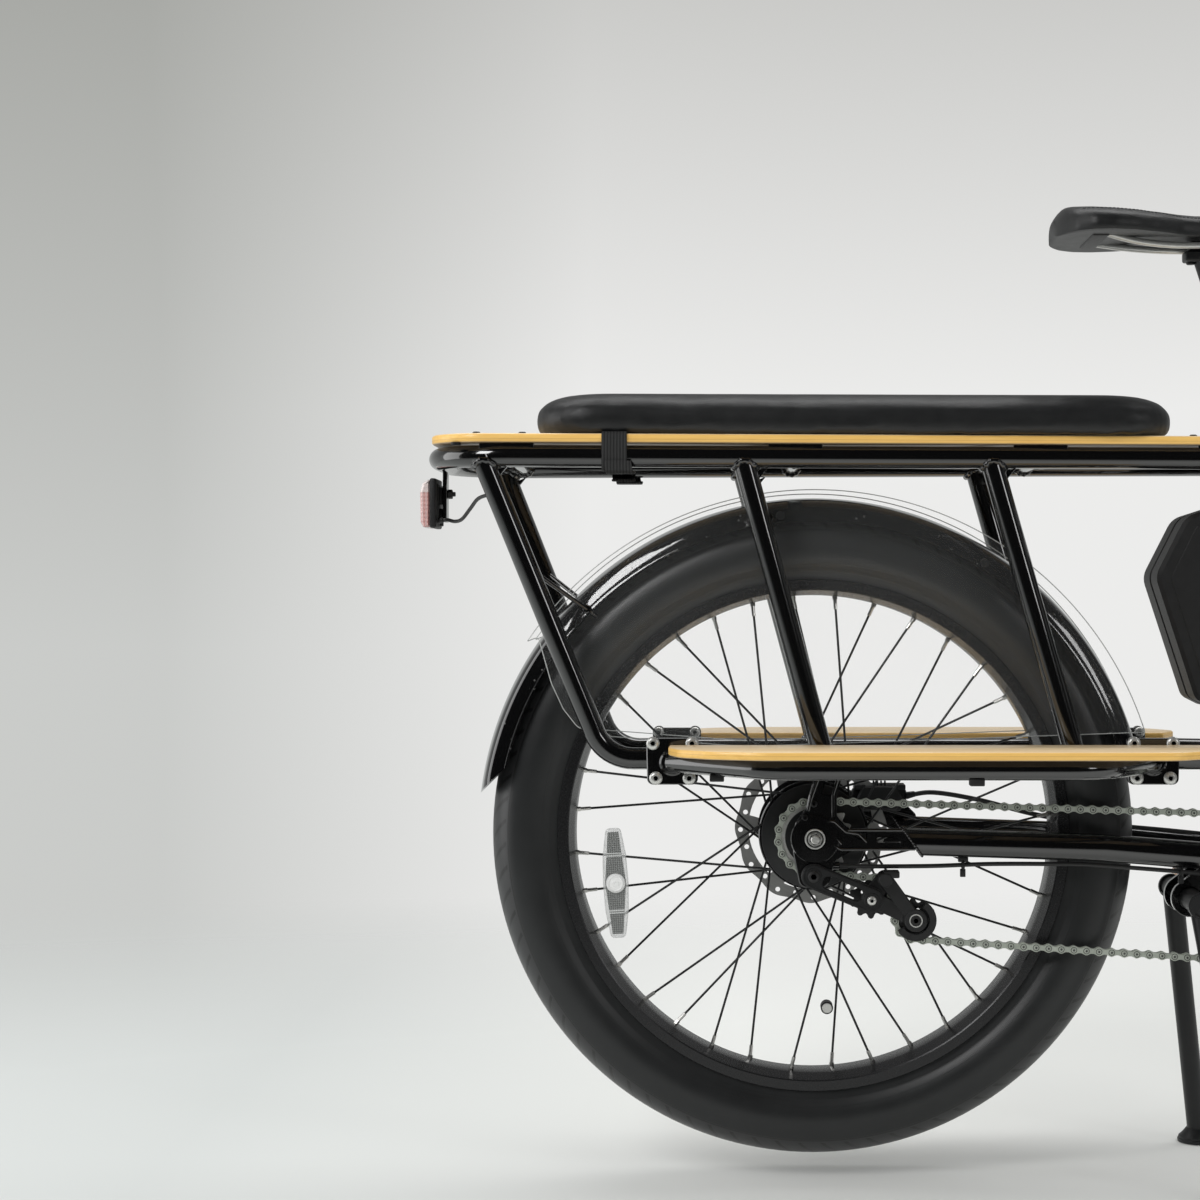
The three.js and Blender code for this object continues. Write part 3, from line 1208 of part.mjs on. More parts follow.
function forkBody() {
  const top = stem.start + stem.height + seatGap;
  const parts = [
    rod(at(0, 0, fork.crown), at(0, 0, top), steererRadius, stoutSides),
    rod(at(0, 0, fork.crown), at(0, 0, headTube.foot - seatGap), tubes.head + headTube.lip, stoutSides),
    block(at(-tubes.head, -fork.line, fork.crown - fork.crownHeight / 2),
      at(tubes.head, fork.line, fork.crown + fork.crownHeight / 2)),
    axleWithNuts(fork.tipLine + dropout.thickness / 2 - seatGap).translate(forkRake, 0, 0),
  ];
  for (const side of [-1, 1]) {
    const shoulder = at(0, side * fork.line, fork.crown + fork.crownHeight / 2);
    const knee = at(0, side * fork.line, fork.knee);
    const tip = at(forkRake, side * fork.line, axle.nutRadius * 2);
    parts.push(pipe([shoulder, knee, tip], fork.blade, fork.crown / 2, slimSides));
    const eye = link(at(forkRake, 0, 0), at(forkTab.eyeAhead, 0, forkTab.eyeUp), fork.blade, fork.bladeEnd);
    parts.push(plate(eye, dropout.thickness, side * fork.tipLine));
  }
  const held = at(forkRake - frontCaliperPlace.behind, 0, frontCaliperPlace.up);
  const root = at(forkTab.rootAhead, 0, forkTab.rootUp);
  parts.push(plate(link(held, root, caliper.height / 3, fork.bladeEnd), caliper.tab,
    caliperFace + seatGap + caliper.tab / 2));
  return join(...parts);
}

const barCentre = at(stem.reach, 0, stem.start + stem.rise);

function stemBody() {
  const clampFoot = at(0, 0, headTube.foot + headTube.length + seatGap);
  const clampTop = at(0, 0, stem.start + stem.height);
  const collar = rod(clampFoot, clampTop, stem.radius, stoutSides);
  const neck = rod(at(0, 0, stem.start + stem.height / 2), barCentre, stem.neck, stoutSides);
  const clamp = crossBar(barCentre, -stem.clamp, stem.clamp, stem.clamp, stoutSides);
  const bore = rod(clampFoot.clone().setZ(clampFoot.z - cutOverrun), at(0, 0, clampTop.z + 2 * seatGap),
    steererRadius + seatGap, stoutSides);
  const barBore = crossBar(barCentre, -stem.clamp - cutOverrun, stem.clamp + cutOverrun,
    bar.clampRadius + seatGap, stoutSides);
  return cut(join(collar, neck, clamp), bore, barBore);
}

// One half of the bar: out from the clamp, up, and back to the grip
function barPoints(side) {
  const { footLine, kneeSweep } = barShares;
  const half = side * bar.halfWidth;
  const knee = at(-bar.sweep * kneeSweep, half - side * bar.gripRun, bar.rise);
  return [barCentre.clone(), barCentre.clone().setY(half * footLine), barCentre.clone().add(knee),
    barCentre.clone().add(at(-bar.sweep, half, bar.rise))];
}

function gripFrame(side) {
  const points = barPoints(side);
  const end = points[3];
  const along = points[2].clone().sub(end).normalize();
  return { end, along };
}

function handlebarTube() {
  const middle = crossBar(barCentre, -stem.clamp - cutOverrun, stem.clamp + cutOverrun, bar.clampRadius,
    stoutSides);
  return join(middle, pipe(barPoints(-1), bar.radius, bar.corner, slimSides),
    pipe(barPoints(1), bar.radius, bar.corner, slimSides));
}

// A sleeve on the bar between two distances from its end
function barSleeve(side, from, to, radius, sides) {
  const { end, along } = gripFrame(side);
  const start = end.clone().addScaledVector(along, from);
  const stop = end.clone().addScaledVector(along, to);
  const inner = rod(start.clone().addScaledVector(along, -cutOverrun),
    stop.clone().addScaledVector(along, cutOverrun), boreRadius(bar.radius, slimSides), slimSides);
  return cut(rod(start, stop, radius, sides), inner);
}

// Controls on the bar: the twist shifter with its cable's nozzle, and the brake perches and levers
const control = { shifter: 46, shifterRadius: 18.5, nozzle: 3.2, nozzleEnd: 182, nozzleDrop: 21.5 };
const perch = { length: 34, radius: 16, reach: 38.4, body: 9.92, neck: 12.8 };
const tank = { radius: 12, before: 6.8, beyond: 51 };
const lever = { length: 128, blade: 5, bow: 6, kneeShare: 0.3, bendShare: 0.4, tipShare: 1.4 };
const leverAhead = at(Math.cos(deg(25)), 0, -Math.sin(deg(25)));

function perchPlaces(side) {
  const inboard = grip.length + (side < 0 ? control.shifter : 0) + 2 * seatGap;
  const { end, along } = gripFrame(side);
  const middle = end.clone().addScaledVector(along, inboard + perch.length / 2);
  const pivot = middle.clone().addScaledVector(leverAhead, perch.reach);
  return { middle, pivot, along, end };
}

// The nozzle that the shift cable comes out of, under the right perch, and its neck
function shifterNozzle() {
  const { end, along } = gripFrame(-1);
  const onBar = end.clone().addScaledVector(along, control.nozzleEnd - perch.length / 4);
  const middle = onBar.clone().add(at(0, 0, -control.nozzleDrop));
  return [rod(middle, middle.clone().addScaledVector(along, perch.length / 4), control.nozzle, smallSides),
    rod(onBar.clone().add(at(0, 0, -perch.neck)), middle, control.nozzle, smallSides)];
}

function brakePerch(side) {
  const { middle, pivot, along } = perchPlaces(side);
  const alongBar = (from, to, radius, centre) => rod(centre.clone().addScaledVector(along, from),
    centre.clone().addScaledVector(along, to), radius, slimSides);
  const sleeve = alongBar(-perch.length / 2, perch.length / 2, perch.radius, middle);
  const body = rod(middle, pivot, perch.body, smallSides);
  const fluidTank = alongBar(-tank.before, tank.beyond, tank.radius, pivot);
  const bore = alongBar(-perch.length, perch.length, boreRadius(bar.radius, slimSides), middle);
  const parts = [sleeve, body, fluidTank];
  if (side < 0) parts.push(...shifterNozzle());
  return cut(join(...parts), bore);
}

function brakeLever(side) {
  const { pivot, along } = perchPlaces(side);
  const { length, blade, bow, kneeShare, bendShare, tipShare } = lever;
  const root = pivot.clone().addScaledVector(leverAhead, tank.radius + blade + 2 * seatGap);
  const knee = root.clone().addScaledVector(along, -length * kneeShare).addScaledVector(leverAhead, bow);
  const tip = root.clone().addScaledVector(along, -length);
  const run = [root.clone().addScaledVector(along, blade), knee, tip];
  const knob = rod(tip, tip.clone().addScaledVector(along, -blade), blade * tipShare, smallSides);
  return join(pipe(run, blade, length * bendShare, smallSides), knob);
}

const headlight = { radius: 27, back: 21.6, length: 44, ahead: 62, up: 470, bracket: 7 };

function headlightBody() {
  const lampBack = at(headlight.ahead, 0, headlight.up);
  const aim = at(Math.sin(headAngle), 0, -Math.cos(headAngle));
  const lampFront = lampBack.clone().addScaledVector(aim, headlight.length);
  const lamp = rod(lampBack, lampFront, headlight.back, stoutSides, headlight.radius);
  const armHeight = fork.crown - headlight.bracket - seatGap;
  const armRun = [at(tubes.head + seatGap, 0, armHeight), at(headlight.ahead, 0, armHeight), lampBack];
  return join(lamp, pipe(armRun, headlight.bracket, headlight.radius / 2, smallSides));
}

const frontFenderArc = { from: deg(24), to: deg(190), steps: 12 };

function frontFender() {
  const strip = bowed(fenderSection(fender.wall), at(forkRake, 0, 0), frontFenderArc.from, frontFenderArc.to,
    frontFenderArc.steps);
  const crownSpace = block(at(-2 * tubes.head, -2 * fork.line, fork.crown - fork.crownHeight / 2 - seatGap),
    at(2 * tubes.head, 2 * fork.line, fork.crown * 2));
  const stays = [-1, 1].map((side) => {
    const foot = at(forkRake - fork.blade / 2, side * (fork.tipLine - dropout.thickness), fork.blade);
    const end = at(forkRake - stayReach, side * fender.halfWidth, 0);
    return rod(foot, end, fenderStay.front, smallSides);
  });
  return cut(join(strip, ...stays), crownSpace);
}

function frontCaliper() {
  const { behind, up } = frontCaliperPlace;
  const body = caliperBlock().rotateY(Math.PI / 2).translate(-behind, 0, up);
  return cut(body, rotorSpace()).translate(forkRake, 0, 0);
}

// The height of the chainstays' centre line at a place along the bike
function stayHeight(x) {
  const [back, knee, front] = stayPoints(1);
  const [from, to] = x < knee.x ? [back, knee] : [knee, front];
  return from.z + ((to.z - from.z) * (x - from.x)) / (to.x - from.x);
}

const besideStay = ([x, side, above]) => at(x, side, stayHeight(x) + above);

// The routes of the cables and hoses, as points chosen by hand in millimetres. Those beside the
// chainstays are X, side and the height above the stay's centre line.
const tailLightRoute = [[0.5, -16, 59], [11, -18, 60], [20, -30, 62], [29, -45, 60], [39, -60, 50],
  [49, -80, 41], [62, -99.4, 37.6]];
const tailLightWire = tailLightRoute.map(([ahead, side, below]) =>
  at(deck.rear + ahead, side, deckRailHeight - below));

// Places beside the down tube, from its foot up
const downTubeShares = [0.17, 0.35, 0.55, 0.72, 0.86];

function besideDownTube(side, radius) {
  const line = side * (tubes.down + radius + seatGap);
  return downTubeShares.map((share) => downFoot.clone().lerp(downTop, share).setY(line));
}

// Where a hose leaves the end of a lever's fluid tank, or the shift cable its nozzle
function leverExit(side, beyond) {
  const { pivot, along } = perchPlaces(side);
  return pivot.clone().addScaledVector(along, tank.beyond + beyond);
}

function shifterExit(beyond) {
  const { end, along } = gripFrame(-1);
  return end.clone().addScaledVector(along, control.nozzleEnd + beyond).add(at(0, 0, -control.nozzleDrop));
}

const toWorld = (point) => onSteer(point.x, point.y, point.z);

const hoseOverStay = [[-518.6, 51, 39.5], [-490, 55, 43.3], [-442, 58, 36.7], [-385, 60, 23.4],
  [-331, 59.5, 16], [-250, 51, 15.7], [-180, 45.5, 15.5], [-120, 43, 19.5], [-60, 42.5, 31.4]];
const rearBrakeHose = [...hoseOverStay.map(besideStay), at(0, 42, 356), at(50, 38, 366), at(84, 34, 376),
  ...besideDownTube(1, cable.hose), at(462, 36, 706), at(505, 46, 775), at(515, 38, 860), at(508, 0, 940),
  at(495, -50, 990), toWorld(leverExit(-1, cable.hoseRun)), toWorld(leverExit(-1, seatGap))];

const frontBrakeHose = [at(-12, 51, 73.4), at(-14, 53, 95), at(-18, 66, 128), at(-16, 82, 165),
  at(-3, 87, 215), at(0, 86.5, 290), at(12, 88, 345), at(32, 80, 400), at(58, 52, 480),
  at(85, 50, 590), at(92, 85, 675), leverExit(1, cable.hoseRun), leverExit(1, seatGap)];

const cableUnderStay = [[-560, -62.5, -23.3], [-500, -63, -21], [-440, -63, -17.2], [-360, -61.5, -15.4],
  [-331, -60, -16], [-260, -54, -16.1], [-200, -52, -16.2], [-150, -55.5, -7], [-112, -53, 8.1],
  [-75, -46, 25.2], [-40, -44, 37.1]];
const shiftCable = [at(cableStop.x + seatGap, -cableStop.line, cableStop.z),
  ...cableUnderStay.map(besideStay), at(10, -43, 360), at(55, -38, 368), at(84, -34, 376),
  ...besideDownTube(-1, cable.shift), at(462, -36, 706), at(500, -48, 775),
  toWorld(at(52, -50, 570)), toWorld(at(58, -90, 672)), toWorld(shifterExit(cable.shiftRun)),
  toWorld(shifterExit(seatGap))];

function corded(points, radius, steps) {
  const extrudePath = new THREE.CatmullRomCurve3(points, false, 'centripetal');
  return new THREE.ExtrudeGeometry(shapeOf(polygon(radius, cableSides)), { steps, extrudePath });
}

// The frame and everything fixed to it
add(bike, 'main_frame', mainFrame(), glossBlack);
add(bike, 'rack_deck_frame', rackDeckFrame(), glossBlack);
add(bike, 'rack_side_right', rackSide(-1), glossBlack);
add(bike, 'rack_side_left', rackSide(1), glossBlack);
add(bike, 'deck_board', deckBoard(), bamboo);
add(bike, 'deck_cushion', cushionPad(), leatherette);
add(bike, 'cushion_strap', cushionStrap(), webbing);
add(bike, 'footboard_right', footboardSlab(), bamboo);
add(bike, 'footboard_left', mirrored(footboardSlab()), bamboo);
add(bike, 'footboard_frame_right', footTubeFrame(), glossBlack);
add(bike, 'footboard_frame_left', mirrored(footTubeFrame()), glossBlack);
add(bike, 'rear_fender', rearFender(), glossBlack);
add(bike, 'wheel_guard_right', wheelGuard(-1), clearPlastic);
add(bike, 'wheel_guard_left', wheelGuard(1), clearPlastic);
add(bike, 'tail_light_housing', tailLightHousing(), blackPlastic);
add(bike, 'tail_light_lens', tailLightLens(), lensPlastic);
add(bike, 'tail_light_cable', corded(tailLightWire, cable.wire, wireSteps), blackPlastic);
add(bike, 'motor', motorBody(), satinBlack);
add(bike, 'battery', batteryPack(), blackPlastic);
add(bike, 'rear_caliper', rearCaliper(), satinBlack);
add(bike, 'tensioner_arm', tensionerArm(), satinBlack);
add(bike, 'chain', chainBand(), zincChain);
add(bike, 'kickstand', centreStand(), satinBlack);
add(bike, 'seat_post', seatPost(), satinBlack);
add(bike, 'saddle', saddleShell(), leatherette);
add(bike, 'tensioner_cage', tensionerCage(), satinBlack);

function addAt(parent, name, geometry, material, place) {
  const group = new THREE.Group();
  group.position.copy(place);
  add(group, name, geometry, material);
  parent.add(group);
}

addAt(bike, 'rear_axle', axleWithNuts(dropoutLine + dropout.thickness / 2), brightSteel, rearAxle);
addAt(bike, 'sprocket', sprocket(), brightSteel, rearAxle);
addAt(bike, 'guide_pulley', pulley(loop[1]), blackPlastic, guideCentre);
addAt(bike, 'tension_pulley', pulley(loop[2]), blackPlastic, lowerCentre);
addAt(bike, 'chainring', chainring(), satinBlack, crankAxis);
addAt(bike, 'crank_right', rightCrank(), satinBlack, crankAxis);
addAt(bike, 'crank_left', leftCrank(), satinBlack, crankAxis);
addAt(bike, 'pedal_right', pedalBody(-1), blackPlastic, crankAxis.clone().add(at(crank.length, 0, 0)));
addAt(bike, 'pedal_left', pedalBody(1), blackPlastic, crankAxis.clone().add(at(-crank.length, 0, 0)));

const rearWheel = wheel('rear', rearAxle, rearHub, rearSpokePhase);
add(rearWheel, 'spoke_reflector', spokeReflector(), clearPlastic);
bike.add(rearWheel);

const steering = new THREE.Group();
steering.position.copy(steerFoot);
steering.rotation.y = headAngle - Math.PI / 2;
add(steering, 'fork', forkBody(), glossBlack);
add(steering, 'stem', stemBody(), satinBlack);
add(steering, 'handlebar', handlebarTube(), satinBlack);
add(steering, 'grip_right', barSleeve(-1, 0, grip.length, grip.radius, slimSides), tyreRubber);
add(steering, 'grip_left', barSleeve(1, 0, grip.length, grip.radius, slimSides), tyreRubber);
add(steering, 'twist_shifter', barSleeve(-1, grip.length + seatGap, grip.length + seatGap + control.shifter,
  control.shifterRadius, stoutSides), blackPlastic);
add(steering, 'brake_perch_right', brakePerch(-1), satinBlack);
add(steering, 'brake_perch_left', brakePerch(1), satinBlack);
add(steering, 'brake_lever_right', brakeLever(-1), satinBlack);
add(steering, 'brake_lever_left', brakeLever(1), satinBlack);
add(steering, 'headlight', headlightBody(), blackPlastic);
add(steering, 'front_brake_hose', corded(frontBrakeHose, cable.hose, frontHoseSteps), blackPlastic);
bike.add(steering);

add(bike, 'rear_brake_hose', corded(rearBrakeHose, cable.hose, rearHoseSteps), blackPlastic);
add(bike, 'shift_cable', corded(shiftCable, cable.shift, shiftSteps), blackPlastic);

const frontWheel = wheel('front', at(forkRake, 0, 0), frontHub, 0);
frontWheel.rotation.y = -steering.rotation.y;
steering.add(frontWheel);
add(steering, 'front_fender', frontFender(), glossBlack);
add(steering, 'front_caliper', frontCaliper(), satinBlack);

export default bike;
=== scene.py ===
import math

import bmesh
import bpy
from mathutils import Matrix, Vector
from mathutils.geometry import tessellate_polygon


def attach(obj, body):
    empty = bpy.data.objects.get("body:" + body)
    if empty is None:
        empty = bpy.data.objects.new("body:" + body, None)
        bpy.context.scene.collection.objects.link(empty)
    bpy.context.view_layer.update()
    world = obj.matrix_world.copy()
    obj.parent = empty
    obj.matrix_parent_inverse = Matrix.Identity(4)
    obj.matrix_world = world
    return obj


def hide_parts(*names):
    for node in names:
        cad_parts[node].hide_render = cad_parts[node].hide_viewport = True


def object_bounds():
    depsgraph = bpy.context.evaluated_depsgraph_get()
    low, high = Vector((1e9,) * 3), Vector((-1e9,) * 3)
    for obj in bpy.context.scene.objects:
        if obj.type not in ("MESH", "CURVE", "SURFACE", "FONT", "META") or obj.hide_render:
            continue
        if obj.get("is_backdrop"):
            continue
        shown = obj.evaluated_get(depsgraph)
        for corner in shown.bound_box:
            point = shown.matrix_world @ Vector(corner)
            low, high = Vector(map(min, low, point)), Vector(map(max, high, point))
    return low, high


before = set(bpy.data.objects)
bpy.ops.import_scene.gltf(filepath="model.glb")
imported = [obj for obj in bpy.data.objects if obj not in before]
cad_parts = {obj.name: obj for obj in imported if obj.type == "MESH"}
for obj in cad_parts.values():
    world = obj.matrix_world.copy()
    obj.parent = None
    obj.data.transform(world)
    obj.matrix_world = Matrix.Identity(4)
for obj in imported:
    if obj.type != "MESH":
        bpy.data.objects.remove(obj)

cad_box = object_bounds()
scene = bpy.context.scene

# Camera. The photograph is taken level and square to the bike, with its frame moved towards the
# tail, so the camera's shift does the same. Its lengths and the lamps' are in metres, most others
# in the CAD's millimetres.
camera_data = bpy.data.cameras.new("camera")
camera_data.lens = 70
camera_data.sensor_width = 36
frame_side = 1200
optical_centre = 730
camera_data.shift_x = (frame_side / 2 - optical_centre) / frame_side
camera = bpy.data.objects.new("camera", camera_data)
camera.location = (-0.705, -2.406, 0.59)
camera.rotation_euler = (math.pi / 2, 0, 0)
scene.collection.objects.link(camera)
scene.camera = camera
scene.view_settings.view_transform = "Standard"


class Flow:
    """A socket in a material. Sums and products with it add the nodes that work them out."""

    def __init__(self, finish, socket):
        self.finish = finish
        self.socket = socket

    def do(self, operation, *others, first=None):
        operands = [self, *others] if first is None else [first, self]
        kind = "Math"
        if self.socket.type in ("VECTOR", "RGBA"):
            kind = "VectorMath"
            operands = [(n, n, n) if isinstance(n, (int, float)) else n for n in operands]
        return self.finish.node(kind, dict(enumerate(operands)), operation=operation)

    def __add__(self, other):
        return self.do("ADD", other)

    def __sub__(self, other):
        return self.do("SUBTRACT", other)

    def __mul__(self, other):
        return self.do("MULTIPLY", other)

    def __truediv__(self, other):
        return self.do("DIVIDE", other)

    def __rsub__(self, other):
        return self.do("SUBTRACT", first=other)

    def __gt__(self, other):
        return self.do("GREATER_THAN", other)

    def __lt__(self, other):
        return self.do("LESS_THAN", other)

    __radd__ = __add__
    __rmul__ = __mul__

    def sine(self):
        return self.do("SINE")

    def size(self):
        return self.do("ABSOLUTE")

    def power(self, exponent):
        return self.do("POWER", exponent)

    def clamped(self):
        return self.do("MINIMUM", 1.0).do("MAXIMUM", 0.0)

    def part(self):
        return self.do("FRACT")

    def ramp(self, low, high):
        """0 below low, 1 above high, even between them."""
        return ((self - low) * (1 / (high - low))).clamped()

    def axes(self):
        return [self.finish.node("SeparateXYZ", {0: self}, output=n) for n in range(3)]


class Finish:
    """A procedural material. Its slot is the name of the finish in the part's record."""

    def __init__(self, name, slot=None, **constants):
        self.slot = slot or name
        self.material = bpy.data.materials.new(name)
        self.material.use_nodes = True
        self.tree = self.material.node_tree
        self.shader = self.tree.nodes["Principled BSDF"]
        self.set(**constants)

    def feed(self, socket, value):
        if isinstance(value, Flow):
            self.tree.links.new(value.socket, socket)
        elif socket.type == "RGBA" and len(value) == 3:
            socket.default_value = (*value, 1)
        else:
            socket.default_value = value

    def node(self, kind, inputs=(), output=0, **settings):
        made = self.tree.nodes.new("ShaderNode" + kind)
        for key, value in settings.items():
            setattr(made, key, value)
        for key, value in dict(inputs).items():
            self.feed(made.inputs[key], value)
        return Flow(self, made.outputs[output])

    def set(self, **values):
        for key, value in values.items():
            words = key.replace("_", " ").title().replace("Ior", "IOR")
            self.feed(self.shader.inputs[words], value)

    def spot(self, *stretch):
        """The place on the piece, in millimetres, stretched along each axis."""
        place = self.node("TexCoord", output="Object") * 1000
        return place * stretch if stretch else place

    def noise(self, size, detail=2.0, roughness=0.5, stretch=()):
        inputs = {"Vector": self.spot(*stretch), "Scale": 1 / size, "Detail": detail,
                  "Roughness": roughness}
        return self.node("TexNoise", inputs)

    def cells(self, size, feature="F1"):
        inputs = {"Vector": self.spot(), "Scale": 1 / size}
        return self.node("TexVoronoi", inputs, feature=feature)

    def mix(self, share, one, two):
        made = self.tree.nodes.new("ShaderNodeMix")
        made.data_type = "RGBA"
        for place, value in ((0, share), (6, one), (7, two)):
            self.feed(made.inputs[place], value)
        return Flow(self, made.outputs[2])

    def turn_round(self, centre):
        """The distance from an axle's line and the angle round it, up from +X."""
        x, y, z = self.spot().axes()
        across = x - centre[0]
        up = z - centre[2]
        return (across * across + up * up).power(0.5), up.do("ARCTAN2", across), y

    def bump(self, height, depth):
        """Raise the surface by a height of 0 to 1 times a depth in millimetres."""
        inputs = {"Height": height, "Distance": depth / 1000, "Strength": 1.0}
        self.set(Normal=self.node("Bump", inputs))


class Form:
    """A closed mesh in the making. All its lengths are in the CAD's millimetres."""

    def __init__(self):
        self.mesh = bmesh.new()

    def rings(self, rings, looped=False):
        """Join rings of points, in order, with faces, and close the ends or the loop."""
        rows = [[self.mesh.verts.new(p) for p in ring] for ring in rings]
        pairs = list(zip(rows, rows[1:]))
        if looped:
            pairs.append((rows[-1], rows[0]))
        for one, two in pairs:
            for n in range(len(one)):
                m = (n + 1) % len(one)
                self.mesh.faces.new((one[n], one[m], two[m], two[n]))
        if not looped:
            self.mesh.faces.new(rows[0][::-1])
            self.mesh.faces.new(rows[-1])
        return self

    def tube(self, points, radius, bend=0.0, sides=32, looped=False, flat=1.0):
        """Sweep a circle along a line of points, with its corners rounded to a bend radius."""
        path = rounded([Vector(p) for p in points], bend)
        radii = radius if isinstance(radius, (list, tuple)) else [radius] * len(path)
        rows = []
        side = None
        for n, point in enumerate(path):
            after = path[(n + 1) % len(path)] if looped or n + 1 < len(path) else point
            before = path[n - 1] if looped or n else point
            along = (after - before).normalized()
            if side is None:
                side = along.orthogonal().normalized() if abs(along.y) > 0.9 else Vector((0, 1, 0))
            side = (side - along * side.dot(along)).normalized()
            other = along.cross(side)
            rows.append([point + radii[n] * (side * math.cos(a) + other * math.sin(a) * flat)
                         for a in circle(sides)])
        return self.rings(rows, looped)

    def rod(self, start, end, radius, end_radius=None, edge=0.0, sides=32):
        """A round bar or cone with a bevel at each end."""
        start, end = Vector(start), Vector(end)
        along = (end - start).normalized()
        last = radius if end_radius is None else end_radius
        spots = [(start, radius - edge), (start + along * edge, radius),
                 (end - along * edge, last), (end, last - edge)]
        chosen = spots if edge else [spots[0], spots[3]]
        side = along.orthogonal().normalized()
        other = along.cross(side)
        rows = [[p + r * (side * math.cos(a) + other * math.sin(a)) for a in circle(sides)]
                for p, r in chosen]
        return self.rings(rows)

    def turned(self, profile, centre=(0, 0, 0), sides=96, looped=False, phase=0.0, side=1):
        """Turn a profile of (radius, place on Y) about a line along Y, on either side."""
        rows = [[(centre[0] + max(r, 0.01) * math.cos(a + phase), centre[1] + side * y,
                  centre[2] + max(r, 0.01) * math.sin(a + phase)) for a in circle(sides)]
                for r, y in profile]
        return self.rings(rows, looped)

    def plate(self, outline, low, high, holes=(), edge=0.6, flat=False, side=1):
        """A sheet with bevelled edges. The outline is in X and Z, or in X and Y if it lies flat."""
        def lift(point, level):
            return (point[0], point[1], level) if flat else (point[0], level, point[1])

        if side < 0:
            low, high = -high, -low
        levels = [(low, edge), (low + edge, 0), (high - edge, 0), (high, edge)]
        faces = []
        for loop in [outline, *holes]:
            area = sum(a[0] * b[1] - b[0] * a[1] for a, b in zip(loop, [*loop[1:], loop[0]]))
            inward = 1 if (area > 0) == (loop is outline) else -1
            rows = []
            for level, inset in levels:
                moved = inset_by(loop, inset * inward)
                rows.append([self.mesh.verts.new(lift(p, level)) for p in moved])
            for one, two in zip(rows, rows[1:]):
                for n in range(len(one)):
                    m = (n + 1) % len(one)
                    self.mesh.faces.new((one[n], one[m], two[m], two[n]))
            faces.append((rows[0], rows[-1]))
        for side in (0, 1):
            loops = [pair[side] for pair in faces]
            corners = [v for loop in loops for v in loop]
            for a, b, c in tessellate_polygon([[v.co for v in loop] for loop in loops]):
                if len({a, b, c}) == 3:
                    self.mesh.faces.new((corners[a], corners[b], corners[c]))
        return self

    def block(self, low, high, edge=1.0):
        """A box with bevelled edges."""
        made = bmesh.ops.create_cube(self.mesh, size=1)["verts"]
        low, high = Vector(low), Vector(high)
        for v in made:
            v.co = [(low[n] + high[n]) / 2 + v.co[n] * (high[n] - low[n]) for n in range(3)]
        lines = list(dict.fromkeys(line for v in made for line in v.link_edges))
        bmesh.ops.bevel(self.mesh, geom=lines, offset=edge, segments=3, profile=0.5,
                        affect="EDGES")
        return self

    def moved(self, matrix, since=0):
        """Move everything made after the given number of vertices."""
        self.mesh.verts.ensure_lookup_table()
        bmesh.ops.transform(self.mesh, matrix=matrix, verts=self.mesh.verts[since:])
        return self

    def count(self):
        return len(self.mesh.verts)

    def place(self, name, body, finish, *nodes, turn=None, soft=40):
        """Turn the form into a piece that rides on a body and stands for some CAD nodes."""
        bmesh.ops.recalc_face_normals(self.mesh, faces=self.mesh.faces)
        if turn:
            self.moved(turn)
        self.moved(Matrix.Scale(0.001, 4))
        mesh = bpy.data.meshes.new(name)
        self.mesh.to_mesh(mesh)
        self.mesh.free()
        mesh.shade_smooth()
        mesh.set_sharp_from_angle(angle=math.radians(soft))
        mesh.materials.append(finish.material)
        piece = bpy.data.objects.new(name, mesh)
        scene.collection.objects.link(piece)
        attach(piece, body)
        if nodes:
            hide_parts(*nodes)
        return piece


def circle(sides):
    return [2 * math.pi * n / sides for n in range(sides)]


def arc(centre, radius, start, end, steps=12):
    """Points on an arc in a plane, between two angles in degrees."""
    turns = [math.radians(start + (end - start) * n / steps) for n in range(steps + 1)]
    return [(centre[0] + radius * math.cos(t), centre[1] + radius * math.sin(t)) for t in turns]


def inset_by(loop, inset):
    """Move a closed outline to its left by a distance."""
    if not inset:
        return loop
    moved = []
    for n, point in enumerate(loop):
        here = Vector(point)
        before = (here - Vector(loop[n - 1])).normalized()
        after = (Vector(loop[(n + 1) % len(loop)]) - here).normalized()
        normal = Vector((-before.y - after.y, before.x + after.x)).normalized()
        reach = inset / max(0.5, normal.dot(Vector((-before.y, before.x))))
        moved.append(tuple(here + normal * reach))
    return moved


def rounded(points, bend, step=7):
    """Round the corners of a line to a radius, with a point every few degrees."""
    if not bend:
        return points
    path = [points[0]]
    for before, here, after in zip(points, points[1:], points[2:]):
        back, ahead = (before - here).normalized(), (after - here).normalized()
        turn = math.pi - back.angle(ahead)
        reach = bend * math.tan(turn / 2)
        limit = 0.49 * min((before - here).length, (after - here).length)
        radius = bend * min(1, limit / max(reach, 0.001))
        reach = radius * math.tan(turn / 2)
        start, end = here + back * reach, here + ahead * reach
        steps = max(2, round(math.degrees(turn) / step))
        middle = here + (back + ahead).normalized() * (radius / math.cos(turn / 2))
        for n in range(steps + 1):
            share = turn * n / steps
            along = (start - middle) * math.cos(share) - back * radius * math.sin(share)
            path.append(middle + along)
    path.append(points[-1])
    return path


def smooth_line(points, steps=8):
    """A smooth curve through points, for cables."""
    spots = [Vector(p) for p in points]
    spots = [2 * spots[0] - spots[1], *spots, 2 * spots[-1] - spots[-2]]
    path = []
    for a, b, c, d in zip(spots, spots[1:], spots[2:], spots[3:]):
        for n in range(steps):
            t = n / steps
            path.append(0.5 * (2 * b + (c - a) * t + (2 * a - 5 * b + 4 * c - d) * t * t
                               + (3 * b - 3 * c + d - a) * t ** 3))
    return [*path, spots[-2]]


